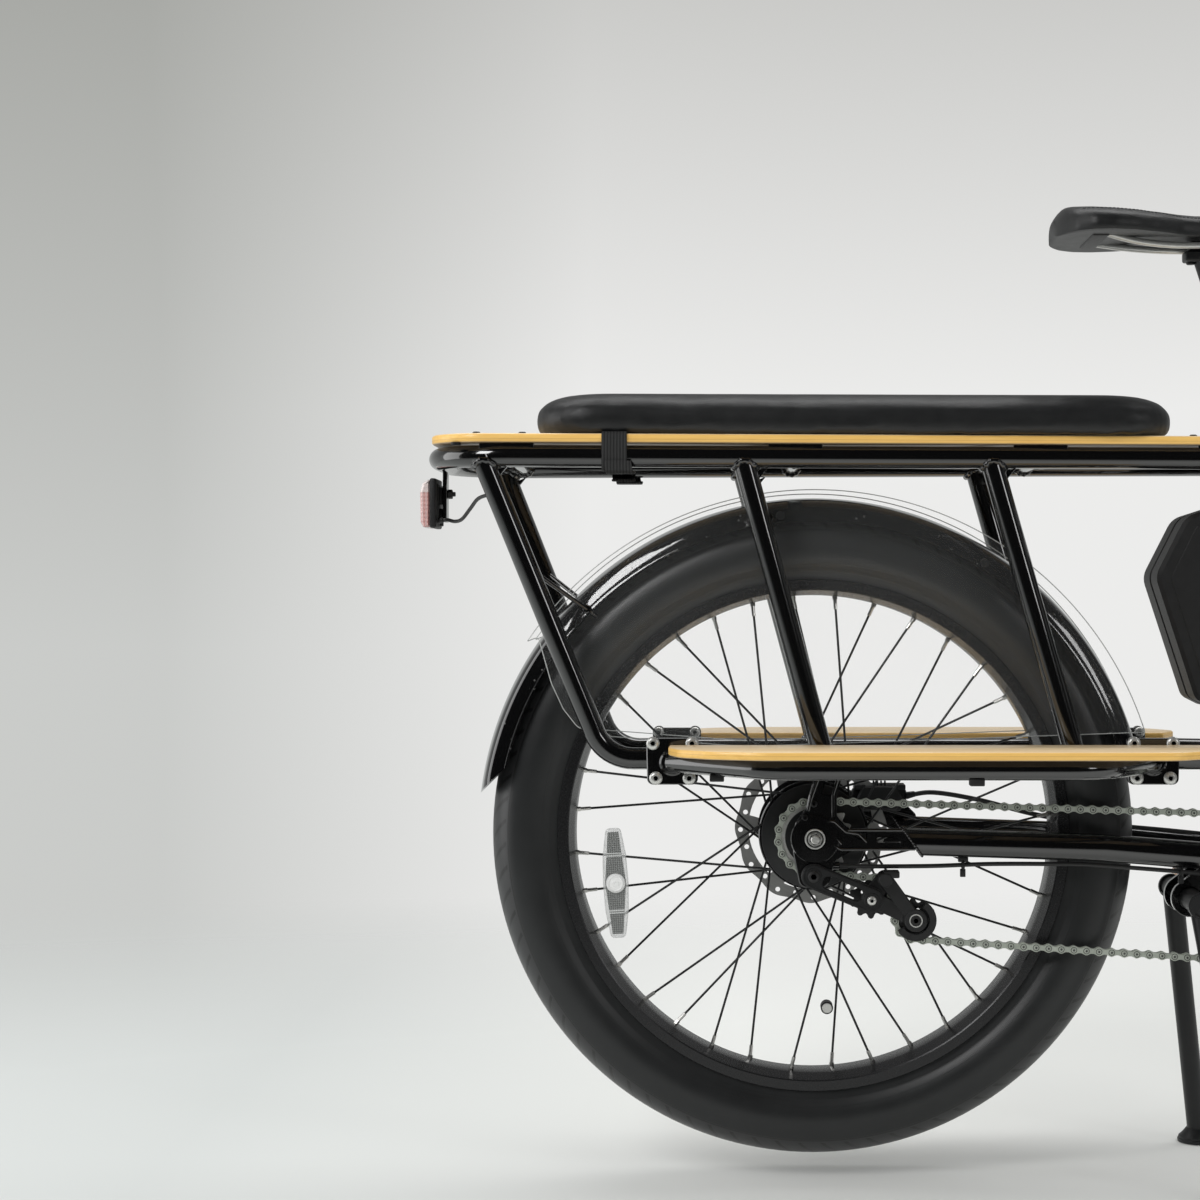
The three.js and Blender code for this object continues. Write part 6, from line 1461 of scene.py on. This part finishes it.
# Strap. A black elastic band with raised ribs. It comes out from under the cushion, wraps the
# board's edge and the deck rail on both sides, and ends in a folded tab.
webbing = Finish("webbing")
x, y, z = webbing.spot().axes()
rib_pitch, pick_pitch = 3.1, 1.1
rib = (x * (2 * math.pi / rib_pitch)).sine() * 0.5 + 0.5
pick = ((y + z) * (2 * math.pi / pick_pitch)).sine() * 0.5 + 0.5
# The colour follows the ribs and the weave: painted shade in their hollows, lighter on their tops.
webbing.set(Base_Color=webbing.mix(rib * 0.7 + pick * 0.3, (0.004, 0.004, 0.004),
                                   (0.030, 0.030, 0.030)),
            Roughness=webbing.noise(0.8, 3) * 0.15 + 0.72)
webbing.bump(rib * 0.8 + pick * 0.3, 0.45)


def ribbon(form, path, middle, width, thick, lean=0.0):
    """A flat band along a path of (y, z), with a slight lean along X."""
    rows = []
    columns, edge_share = 16, 0.75
    for n, (y, z) in enumerate(path):
        before, after = path[max(n - 1, 0)], path[min(n + 1, len(path) - 1)]
        way = Vector((after[0] - before[0], after[1] - before[1])).normalized()
        out = Vector((-way.y, way.x))
        shift = middle + lean * n / len(path)
        ring = []
        for face in (0.5, -0.5):
            for k in range(columns + 1):
                share = k / columns if face > 0 else 1 - k / columns
                lift = face * thick * (edge_share if k in (0, columns) else 1)
                ring.append((shift + width * (share - 0.5), y + out.x * lift, z + out.y * lift))
        rows.append(ring)
    form.rings(rows)


band = Form()
band_place, band_width, band_thick = -819, 25, 2
for side in (-1, 1):
    run = [(72, 755.9), (100, 755.7), (106, 755.5), (108.8, 754.2), (109.9, 751.6), (110.1, 746),
           (110.2, 738), (110.2, 730), (110, 724), (108.6, 720.4), (105, 718.6), (98, 718),
           (90, 718.4)]
    ribbon(band, [(side * y, z) for y, z in run], band_place, band_width, band_thick)
    tab = [(111.6, 727), (112.2, 722), (111.8, 717.6), (109, 715.4), (104, 715), (96, 716.4)]
    ribbon(band, [(side * y, z) for y, z in tab], band_place + 3, band_width + 2, band_thick, 5)
band.place("elastic_strap", "frame", webbing, "cushion_strap", soft=30)

# Spoke reflector and magnet. A clear plastic bar with square prism cells and a round white clip,
# and the speed sensor's magnet on another spoke: a black case with a steel face.
prism = Finish("reflector_cells", "clear_plastic", Coat_Weight=1.0, Coat_Roughness=0.05)
x, y, z = prism.spot().axes()
lean_cosine, lean_sine, cell_size = 0.9986, 0.052, 2.2
beyond, above = x + 822, z - 300.7
reach = beyond * lean_cosine + above * lean_sine
height = above * lean_cosine - beyond * lean_sine
lattice = ((reach / cell_size).part() - 0.5).size() + ((height / cell_size).part() - 0.5).size()
inside = (reach.size() + height.size() * 0.1 < 10.6) * (height.size() < 52)
bands = (((height.size() - 28).size() < 0.8) + ((height.size() - 30.4).size() < 0.6)).clamped()
cell_tone = prism.mix(lattice * 0.9, (0.07, 0.073, 0.07), (0.34, 0.35, 0.34))
border = prism.mix(bands, cell_tone, (0.60, 0.61, 0.60))
prism.set(Base_Color=prism.mix(inside, (0.72, 0.73, 0.72), border),
          Roughness=lattice * 0.2 + 0.08, Alpha=inside * 0.5 + 0.42)
prism.bump(lattice, 0.8)
bar_place = (Matrix.Translation(rear_axle) @ Matrix.Rotation(math.radians(-194), 4, "Y")
             @ Matrix.Translation((208, 0, 0)) @ Matrix.Rotation(math.radians(11), 4, "Y"))
bar = [(-7.5, -56), (7.5, -56), (12, -28), (13, 0), (12, 28), (7.5, 56), (-7.5, 56), (-12, 28),
       (-13, 0), (-12, -28)]
Form().plate(rounded_loop(bar, 5, 15), -22.2, -16.4, (), 1.2).moved(bar_place).place(
    "spoke_reflector_bar", "rear_wheel", prism, "spoke_reflector")
clip_white = Finish("reflector_clip", "clear_plastic", Base_Color=(0.8, 0.8, 0.79))
clip_white.set(Roughness=clip_white.noise(1) * 0.2 + 0.3)
clip_white.bump(clip_white.noise(0.8), 0.05)
clip = Form().turned([(0, -25.4), (6, -25.4), (9.2, -24.6), (10, -23.4), (10, -22), (0, -22)],
                     (0, 0, 0), 40)
clip.turned([(6.4, -25.6), (7.4, -26), (8.4, -25.2), (7.4, -24.8)], (0, 0, 0), 40, looped=True)
clip.turned([(1.4, -25.2), (1.6, -25.9), (3.2, -25.9), (3.6, -25.2)], (0, 0, 0), 24, looped=True)
clip.moved(bar_place)
clip.place("spoke_reflector_clip", "rear_wheel", clip_white)
magnet = Form()
spot = beside(rear_axle, 182, rear_phase + 270, 6)
magnet.rod(spot + Vector((0, -9, 0)), spot + Vector((0, 8, 0)), 6.4, edge=1.4, sides=28)
magnet.place("spoke_magnet", "rear_wheel", plastic)
face = Form()
face.rod(spot + Vector((0, -9.8, 0)), spot + Vector((0, -8.6, 0)), 5.2, edge=0.4, sides=28)
face.place("spoke_magnet_face", "rear_wheel", steel)

# Brakes. Black forged calipers that straddle the rotors: two halves with a bridge, pad fins, a
# banjo for the hose and steel bolts to their mounts.
def caliper(name, body, node, turn):
    form = Form()
    outline = rounded_loop([(-21.5, -14.8), (21.5, -14.8), (28.8, -7.5), (28.8, 7.5), (21.5, 14.8),
                            (-21.5, 14.8), (-28.8, 7.5), (-28.8, -7.5)], 5, 15)
    form.plate(outline, 51.9, 64.6, (), 1.6)
    form.plate(rounded_loop([(-18, -12), (18, -12), (24, 0), (18, 13), (-18, 13), (-24, 0)], 5, 15),
               37.3, 48.1, (), 1.4)
    for x in (-27, 15):
        form.block((x, 38, 9), (x + 12, 64, 14.6), 1.2)
    form.turned([(3, 64), (10.6, 64), (10.6, 65.6), (9, 66.2), (3, 66.2)], (0, 0, 0), 36,
                looped=True)
    for x in (-6, -2, 2, 6):
        form.block((x - 0.8, 46, 10), (x + 0.8, 54, 18), 0.3)
    form.rod((28, 51, 2), (38, 51, 4), 4, 3, 0.6, 20)
    form.place(name, body, satin, node, turn=turn, soft=30)
    bolts = Form()
    studs(bolts, [(-21, 0), (21, 0)], 4.6, 3.4, 64.6, 1)
    bolts.place(name + "_bolts", body, steel, turn=turn, soft=30)


caliper("rear_caliper_fine", "frame", "rear_caliper",
        Matrix.Translation(rear_axle + Vector((72, 0, 31))))
caliper("front_caliper_fine", "steering", "front_caliper",
        steered @ Matrix.Translation((-12, 0, 44)) @ Matrix.Rotation(math.pi / 2, 4, "Y"))

# Motor. A cast mid-drive housing in satin black: a bevelled shell with cooling fins below, a cover
# ring round the spindle on each side and its screws.
case = Form()
case.plate(round_slot(crank_spot, motor_end, 57.8, 45.8, 40), -38, 38, [], 5)
for side in (-1, 1):
    case.plate(round_slot((10, 294), (78, 315), 44, 34, 30), 37, 40.5, (), 1.4, side=side)
case.turned([(12.6, -40), (26, -40), (28.6, -38.8), (28.8, 40), (28, 45), (24, 46), (12.6, 46)],
            crank_axis, 64, looped=True)
belly, belly_end, belly_rise = 58, 12, 0.42
for x in range(-20, 96, 12):
    low = crank_axis.z - math.sqrt(max(belly * belly - x * x, 0))
    if x >= belly_end:
        low = 236 + (x - belly_end) * belly_rise
    case.block((x - 1.4, -31, low + 1), (x + 1.4, 31, low + 26), 0.8)
case.place("motor_case", "frame", satin, "motor", soft=30)
screws = Form()
spots = [(30, 340), (96, 336), (108, 302), (62, 268), (-34, 268)]
for side in (-1, 1):
    studs(screws, spots, 4, 2, side * 38, side)
screws.place("motor_screws", "frame", steel, soft=30)

# Battery. A black plastic pack behind the seat tube, with a parting line, side panels, a finger
# grip on the left, a lock and a column of charge lights.
pack = Form()
near, far, low, high = 25.4, 160.2, 245.2, 439.8
places = [(near, low), (far - 16, low), (far, low + 16), (far, high - 48), (far - 48, high),
          (near, high)]
sizes = [6, 14, 14, 22, 22, 6]
pack_outline = rounded_loop([flat_point(on_seat(b, 0, u)) for b, u in places], sizes, 9)
panel = rounded_loop([flat_point(on_seat(b, 0, u)) for b, u in (
    (near + 12, low + 14), (far - 22, low + 14), (far - 13, low + 23), (far - 13, high - 55),
    (far - 55, high - 12), (near + 12, high - 12))], 10, 12)
pack.plate(pack_outline, -42, -0.5, (), 4)
pack.plate(pack_outline, 0.5, 42, (), 4)
pack.plate([tuple(p) for p in inset_by(pack_outline, -1.5)], -2, 2, (), 0.5)
grip_spot = [flat_point(on_seat(b, 0, u)) for b, u in ((58, 405), (92, 405))]
hole = round_slot(grip_spot[0], grip_spot[1], 10, 10, 12)
pack.plate(panel, -42.9, -41, (), 0.8)
pack.plate(panel, 41, 42.9, [hole], 0.8)
for n in range(6):
    spot = on_seat(60 + 12 * n, 0, 262 + 4 * n)
    pack.block(spot + Vector((-1.4, -44, -26)), spot + Vector((1.4, -42, 26)), 0.6)
pack.place("battery_pack", "battery", plastic, "battery", soft=30)
trim = Form()
lock = on_seat(46, 0, 300)
trim.rod(lock + Vector((0, 42, 0)), lock + Vector((0, 45.6, 0)), 8, edge=0.8, sides=32)
trim.rod(lock + Vector((0, 45, 0)), lock + Vector((0, 46.2, 0)), 4.6, edge=0.4, sides=6)
trim.place("battery_lock", "battery", steel, soft=30)
charge = Finish("charge_lights", "clear_plastic", Base_Color=(0.5, 0.55, 0.5))
charge.set(Roughness=charge.noise(1) * 0.1 + 0.2)
charge.bump(charge.noise(0.7), 0.03)
dots = Form()
for n in range(5):
    spot = on_seat(136, 0, 292 + 13 * n)
    dots.rod(spot + Vector((0, 42, 0)), spot + Vector((0, 43.8, 0)), 3.2, edge=0.5, sides=16)
dots.place("battery_charge_lights", "battery", charge)


# Cranks and pedals. Forged black arms with a hollowed face and a spindle bolt; platform pedals
# with an open cage, a sealed core and rows of grip pins.
crank_length, crank_line = 170, 72.5


def crank(name, side):
    form = Form()
    reach, level = -side * crank_length, crank_axis.z
    form.plate(round_slot(crank_spot, (reach, level), 19.8, 13.8, 24), crank_line - 6.4,
               crank_line + 6.4, (), 2.4, side=side)
    middle = [(reach * 0.2, level), (reach * 0.82, level)]
    form.plate(round_slot(*middle, 9.5, 7, 14), crank_line + 5.6, crank_line + 6.9,
               [round_slot(*middle, 7.8, 5.4, 14)], 0.4, side=side)
    form.turned([(2, 78.5), (9.4, 78.5), (9.4, 80.1), (7.6, 81.1), (2, 81.1)], crank_axis, 36,
                looped=True, side=side)
    form.rod((reach, side * 66, level), (reach, side * 182, level), 6.8, edge=0.6, sides=28)
    if side < 0:
        form.rod((0, -72, level), (0, 78, level), 11.8, edge=0.8, sides=36)
    form.place(name + "_fine", "crank", satin, name, soft=30)


crank("crank_right", -1)
crank("crank_left", 1)


def pedal(name, side):
    form = Form()
    x = -side * crank_length
    inner, outer = sorted((side * 90, side * 188))
    half, low, high = 48, 281, 301
    cage = rounded_loop([(x - half + 20, inner + 0.5), (x + half - 20, inner + 0.5),
                         (x + half, inner + 24), (x + half, outer - 24), (x + half - 20, outer),
                         (x - half + 20, outer), (x - half, outer - 24),
                         (x - half, inner + 24)], 10)
    hole = rounded_loop([(x - half + 26, inner + 9), (x + half - 26, inner + 9),
                         (x + half - 8.5, inner + 29), (x + half - 8.5, outer - 29),
                         (x + half - 26, outer - 9), (x - half + 26, outer - 9),
                         (x - half + 8.5, outer - 29), (x - half + 8.5, inner + 29)], 6)
    form.plate(cage, low, high, [hole], 1.6, flat=True)
    form.turned([(7.2, inner), (13.8, inner), (15.2, inner + 3), (12.4, inner + 16),
                 (11.4, outer - 14), (13, outer - 3), (11, outer), (7.2, outer)], (x, 0, 291), 36,
                looped=True)
    for y in (inner + 34, outer - 34):
        form.block((x - half + 5, y - 4, 284), (x + half - 5, y + 4, 298), 1.2)
    form.place(name + "_fine", name, plastic, name, soft=30)
    pins = Form()
    for px in (x - 43.5, x + 43.5):
        for k in range(5):
            y = inner + 27 + 11 * k
            for level, end in ((low, low - 2), (high, high + 2)):
                pins.rod((px, y, level), (px, y, end), 1.9, edge=0.4, sides=8)
    pins.place(name + "_fine_pins", name, steel)
    glow = Form()
    middle = (inner + outer) / 2
    for px in (x - 48.2, x + 48.2):
        glow.block((px - 1.2, middle - 20, 286), (px + 1.2, middle + 20, 296), 0.8)
    glow.place(name + "_fine_reflectors", name, amber)


amber = Finish("pedal_reflector", "clear_plastic", Coat_Weight=1.0)
x, y, z = amber.spot().axes()
prisms = ((y / 3).part() - 0.5).size() + ((z / 3).part() - 0.5).size()
amber.set(Base_Color=amber.mix(prisms, (0.72, 0.20, 0.02), (0.95, 0.45, 0.08)),
          Roughness=prisms * 0.15 + 0.12)
amber.bump(prisms, 0.4)
pedal("pedal_right", -1)
pedal("pedal_left", 1)

# Stand. A satin black centre stand: a cross tube with caps, two splayed legs on welded collars and
# a flat ribbed foot under each.
stand = Form()
pivot_tube, leg = 10.9, 10.8
stand.tube([stand_pivot - Vector((0, 83, 0)), stand_pivot + Vector((0, 83, 0))], pivot_tube)
for side in (-1, 1):
    top, foot = stand_pivot + Vector((0, side * 72, 0)), Vector((-195, side * 140, 11))
    stand.tube([top, foot], leg)
    weld(stand, foot, top, leg, top, (0, 1, 0), pivot_tube, 1.3)
    stand.turned([(11, 78), (13.4, 78), (13.4, 83), (11, 83.2)], stand_pivot, 32, looped=True,
                 side=side)
    sole = [(1, 0.2), (17.4, 0), (21.6, 0.4), (21.8, 3), (20.6, 4.4), (20.6, 6), (18.6, 7.6),
            (15.4, 11), (11.4, 16), (1, 16)]
    turned_on(stand, sole, Vector((foot.x, foot.y, 0)), Vector((0, 0, 1)), 40, looped=False)
stand.place("stand_fine", "kickstand", satin, "kickstand", soft=30)

# Seat post and saddle. A turned alloy post with a two-bolt clamp and steel rails; the saddle is a
# stitched leatherette cover over foam, with a channel, side panels and a plastic base.
post = Form()
turned_on(post, [(1, 350), (15.6, 350), (15.6, 689), (1, 689)], crank_axis, seat_up, 48, False)
for k in range(7):
    turned_on(post, [(15.6, 560 + 8 * k), (15.75, 560 + 8 * k), (15.75, 560.6 + 8 * k),
                     (15.6, 560.6 + 8 * k)], crank_axis, seat_up, 40)
saddle_foot = on_seat(0, 0, 690)
post.block(saddle_foot + Vector((-24, -11, -9)), saddle_foot + Vector((24, 11, 2)), 2.4)
post.block(saddle_foot + Vector((-20, -13, 2.4)), saddle_foot + Vector((20, 13, 11.6)), 2.4)
for x in (-17, 17):
    post.rod(saddle_foot + Vector((x, 0, -11.6)), saddle_foot + Vector((x, 0, -8)), 4.4, edge=0.8,
             sides=20)
post.place("seat_post_fine", "seat", satin, "seat_post", soft=30)
saddle_top = saddle_foot + Vector((-30, 0, 12.3))
saddle_half, saddle_length, saddle_height = 84, 262, 31


def saddle_rise(along):
    return saddle_height * (0.72 + 0.28 * abs(along - 0.45) * 1.8)


def saddle_width(along):
    """Half the saddle's width, from the rear end at 1 to the nose at 0, as a share."""
    marks = [(0, 0.10), (0.02, 0.19), (0.08, 0.235), (0.22, 0.26), (0.36, 0.33), (0.5, 0.5),
             (0.62, 0.76), (0.72, 0.93), (0.8, 0.99), (0.87, 0.97), (0.93, 0.84), (0.97, 0.62),
             (1, 0.3)]
    for (a, wa), (b, wb) in zip(marks, marks[1:]):
        if along <= b:
            share = (along - a) / (b - a)
            ease = share * share * (3 - 2 * share)
            return wa + (wb - wa) * (share * 0.6 + ease * 0.4)
    return marks[-1][1]


seat = Form()
rows, lengthwise, crosswise = [], 60, 39
for n in range(lengthwise + 1):
    along = n / lengthwise
    half = saddle_half * saddle_width(along)
    x = saddle_top.x + saddle_length * (0.5 - along)
    ends = min(1, along / 0.04, (1 - along) / 0.05 + 0.25)
    tall = saddle_rise(along) * (ends ** 0.5)
    ring = []
    for k in range(crosswise + 1):
        turn = math.pi * k / crosswise
        side = math.copysign(abs(math.cos(turn)) ** 0.72, math.cos(turn))
        lift = math.sin(turn) ** 0.62
        groove = 3.6 * math.exp(-(side * half / 9) ** 2) * (0.14 < along < 0.93)
        skirt = -3.5 if k in (0, crosswise) else 0
        ring.append((x, half * side, saddle_top.z + 2.5 + tall * lift * 0.97 - groove + skirt))
    for side in (-0.82, -0.4, 0.4, 0.82):
        ring.append((x, half * side, saddle_top.z + 0.8))
    rows.append(ring)
seat.rings(rows)
shell = seat.place("saddle_cover", "seat", hide, "saddle", soft=60)
padding = shell.modifiers.new("smooth", "SUBSURF")
padding.levels = padding.render_levels = 1
thread = Finish("stitch_thread", "leatherette", Base_Color=(0.045, 0.045, 0.046))
thread.set(Roughness=thread.noise(0.5) * 0.2 + 0.6)
thread.bump(thread.noise(0.3), 0.05)
stitches = Form()
stitch_count, stitch_length, stitch_radius = 54, 0.0095, 0.55
for side in (-1, 1):
    for k in range(stitch_count):
        along = 0.08 + 0.84 * k / stitch_count
        spots = []
        for part in (along, along + stitch_length):
            spots.append((saddle_top.x + saddle_length * (0.5 - part),
                          side * (saddle_half * saddle_width(part)) * 0.955,
                          saddle_top.z + 2.8 + saddle_rise(part) * 0.97 * 0.70))
        stitches.rod(*spots, stitch_radius, sides=6)
stitches.place("saddle_stitching", "seat", thread)
rails = Form()
for side in (-1, 1):
    rails.tube(smooth_line([saddle_top + Vector(p) for p in (
        (112, side * 9, 4), (92, side * 10, -1), (60, side * 14, -5), (30, side * 19, -6.6),
        (-10, side * 20, -6.4), (-48, side * 26, -3), (-84, side * 38, 4))]), 3.5, sides=16)
rails.place("saddle_rails", "seat", steel)
base = Form()
for x, half in ((100, 15), (-86, 46)):
    base.block(saddle_top + Vector((x - 9, -half, -0.6)), saddle_top + Vector((x + 9, half, 5)), 2)
base.place("saddle_base", "seat", plastic)

# Fork, stem and handlebar. The fork is welded and painted gloss black; the stem is forged, with a
# four-bolt face plate and a top cap; the bar is bent tube, all in the steering axis's own frame.
fork = Form()
up = Vector((0, 0, 1))
turned_on(fork, [(1, 362), (14.2, 362), (14.2, 632), (1, 632)], Vector(), up, 40, False)
turned_on(fork, [(14, 372), (24, 372), (26.4, 380), (26.4, 397), (25.6, 399.6), (14, 399.6)],
          Vector(), up, 56)
fork.block((-21, -69, 360), (21, 69, 384), 7)
blade = 12.9
for side in (-1, 1):
    line = side * 69
    fork.tube([(0, line, 383), (0, line, 167), (fork_offset, line, 19)], blade, 190)
    weld(fork, (0, line, 200), (0, line, 380), blade, (0, line, 372), (0, 1, 0), 12.5)
    tips = round_slot((fork_offset, 0), (41, 36), 13.4, 9.6, 20)
    fork.plate(tips, 58.6, 65.3, [disc((fork_offset, 0), 5.1, 24)], 1, side=side)
held, root = (-12, 44), (30, 60.9)
fork.plate(round_slot(held, root, 10, 9.5, 16), 65.1, 69.8, (), 0.9)
fork.place("fork_fine", "steering", gloss_paint, "fork", turn=steered, soft=32)
stem = Form()
turned_on(stem, [(14.8, 566), (19.6, 566), (20, 567.5), (20, 574.5), (19.4, 575.4), (19.4, 576.6),
                 (20, 577.4), (20, 630), (18.6, 632), (14.8, 632)], Vector(), up, 56)
turned_on(stem, [(1, 632), (16.6, 632), (17.6, 632.8), (17, 634.6), (4, 635), (4, 633.5),
                 (1, 633.5)], Vector(), up, 48, False)
stem.tube([(4, 0, 611), (38, 0, 656), (50, 0, 672)], [17.5, 15.5, 16], sides=36)
stem.turned([(15.9, -21), (20, -21), (21, -20), (21, 20), (20, 21), (15.9, 21)], bar_centre, 56,
            looped=True)
stem.place("stem_fine", "steering", satin, "stem", turn=steered, soft=32)
screws = Form()
for side in (-1, 1):
    for lift in (-15, 15):
        screws.rod(bar_centre + Vector((12, side * 13, lift)),
                   bar_centre + Vector((21.5, side * 13, lift)), 3.8, edge=0.8, sides=20)
    screws.rod((-21, side * 10, 590), (-15, side * 10, 590), 3.4, edge=0.6, sides=20)
screws.place("stem_bolts", "steering", steel, turn=steered, soft=30)
bar = Form()
for side in (-1, 1):
    bar.tube([bar_centre, bar_centre + Vector((0, side * 72.1, 0)), *bar_bends(side)], 11, 45)
bar.turned([(10, -44), (11.6, -40), (15.3, -26), (15.3, 26), (11.6, 40), (10, 44)], bar_centre, 48)
bar.place("handlebar_fine", "steering", satin, "handlebar", turn=steered, soft=32)

# Grips, gear shifter and brake levers. Moulded rubber grips with rows of raised bars between end
# collars, a ribbed twist shifter inboard on the right, and forged levers on hinged perches.
rubber = Finish("grip_rubber")
skin = rubber.noise(0.8, 3)
rubber.set(Base_Color=rubber.mix(rubber.noise(9, 3), (0.010, 0.010, 0.010), (0.021, 0.021, 0.021)),
           Roughness=skin * 0.15 + 0.6)
rubber.bump(skin, 0.08)


def sleeve(side, profile, sides, flutes=0, depth=0.0):
    """Turn a profile of (radius, place from the bar's end) about the bar's grip."""
    form = Form()
    end, along = grip_line(side)
    out = Vector((0, 0, 1)) - along * along.z
    out.normalize()
    other = along.cross(out)
    rows = []
    for r, h in profile:
        ring = []
        for a in circle(sides):
            dip = depth * (math.cos(flutes * a) > 0.2) if flutes and r > 14 else 0
            ring.append(end + along * h + (r - dip) * (out * math.cos(a) + other * math.sin(a)))
        rows.append(ring)
    return form.rings(rows, looped=True)


for side, name in ((-1, "right"), (1, "left")):
    profile = [(11.1, 0.3), (14.6, 0.3), (15.9, 1.6), (15.9, 8), (14.2, 9.2)]
    for k in range(16):
        base = 11 + 6.1 * k
        profile += [(14.2, base), (15.3, base + 0.8), (15.3, base + 3.6), (14.2, base + 4.4)]
    profile += [(14.2, 109), (15.9, 111), (15.9, 118.6), (15, 119.7), (11.1, 119.7)]
    sleeve(side, profile, 48).place("grip_fine_" + name, "steering", rubber, "grip_" + name,
                                    turn=steered, soft=30)
    plug = Form()
    end, along = grip_line(side)
    plug.rod(end + along * 0.4, end + along * 3, 10.6, edge=1, sides=32)
    plug.place("grip_plug_" + name, "steering", plastic, turn=steered)
    middle, pivot, along = perch_places(side)
    perch = Form()
    perch.rod(middle - along * 16.8, middle + along * 16.8, 15.2, edge=1.4, sides=40)
    perch.tube([middle + lever_ahead * 8, pivot], [10, 8.6], sides=24)
    perch.rod(pivot - along * 6.6, pivot + along * 44, 11.2, 11, 2, 36)
    perch.rod(pivot + along * 43, pivot + along * 50.8, 7, 5, 1, 24)
    perch.rod(pivot + Vector((0, 0, 9)), pivot + Vector((0, 0, 11.3)), 5.4, edge=0.6, sides=24)
    if side < 0:
        end, _ = grip_line(side)
        spout = end + along * 173.5 + spout_drop
        perch.rod(spout, spout + along * 8.4, 3.1, edge=0.5, sides=16)
        perch.rod(spout + Vector((0, 0, 10)), spout, 3.1, sides=16)
    perch.place("brake_perch_fine_" + name, "steering", satin, "brake_perch_" + name, turn=steered,
                soft=32)
    lever = Form()
    root = pivot + lever_ahead * 17.6
    knee = root - along * 38 + lever_ahead * 5.4
    tip = root - along * 126
    line = smooth_line([root + along * 4, root - along * 14 + lever_ahead * 2.6, knee,
                        root - along * 80 + lever_ahead * 2, tip], 6)
    lever.tube(line, [4.9 - 0.9 * math.sin(math.pi * n / (len(line) - 1))
                      for n in range(len(line))], sides=20)
    lever.rod(tip + along * 5, tip - along * 4.6, 4.6, 6.8, 2, 24)
    lever.rod(root + Vector((0, 0, -4.6)), root + Vector((0, 0, 4.8)), 3.4, edge=0.5, sides=20)
    lever.place("brake_lever_fine_" + name, "brake_lever_" + name, satin, "brake_lever_" + name,
                turn=steered, soft=40)
profile = [(11.1, 120.4), (17.4, 120.4), (18.3, 121.6), (18.3, 156), (17, 157.2), (17, 158.4),
           (18.2, 159.4), (18.2, 165), (17, 166), (11.1, 166)]
shifter = sleeve(-1, profile, 96, 24, 1.1)
shifter.place("twist_shifter_fine", "twist_shifter", plastic, "twist_shifter", turn=steered,
              soft=30)

# Headlight. A turned black lamp with cooling ribs and a chrome bezel, a clear lens over a facetted
# reflector, on an arm from the fork's crown.
lamp_back = Vector((62, 0, 470))
beam_angle = math.radians(69)
aim = Vector((math.sin(beam_angle), 0, -math.cos(beam_angle)))
lamp_body = Form()
lamp_side = [(1, 0), (13, 0.4), (19, 4), (21, 8), (20, 10), (22, 12), (21, 14), (23, 16), (22, 18),
             (24, 20), (23.4, 22), (26, 30), (26.8, 36), (26.8, 43), (24.6, 43.8), (24, 36),
             (1, 30)]
turned_on(lamp_body, lamp_side, lamp_back, aim, 64, False)
lamp_body.tube([(23.6, 0, 364.7), (62, 0, 364.7), lamp_back + Vector((0, 0, -8))], 6.6, 12)
lamp_body.rod((62, -8, 452), (62, 8, 452), 7.6, edge=1, sides=28)
lamp_body.place("headlight_body", "steering", plastic, "headlight", turn=steered, soft=30)
bezel = Form()
turned_on(bezel, [(24.2, 40.6), (26.9, 41), (26.9, 43.4), (25.6, 43.95), (24.2, 43.4)], lamp_back,
          aim, 64)
bezel.place("headlight_bezel", "steering", steel, turn=steered, soft=30)
lamp_lens = Finish("headlight_lens", "clear_plastic", Base_Color=(0.86, 0.88, 0.9),
                   Coat_Weight=1.0, Coat_Roughness=0.03, Metallic=0.4)
facets = lamp_lens.cells(3.4)
lamp_lens.set(Roughness=facets * 0.2 + 0.06)
lamp_lens.bump(facets, 0.8)
glass = Form()
turned_on(glass, [(0.5, 42.6), (14, 42.2), (21, 41.2), (24.4, 40), (24.4, 38.6), (0.5, 38.6)],
          lamp_back, aim, 64, False)
glass.place("headlight_glass", "steering", lamp_lens, turn=steered)

# The size of the model as packed and as dressed
sizes = {"cad": [list(p) for p in cad_box], "model": [list(p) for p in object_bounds()]}
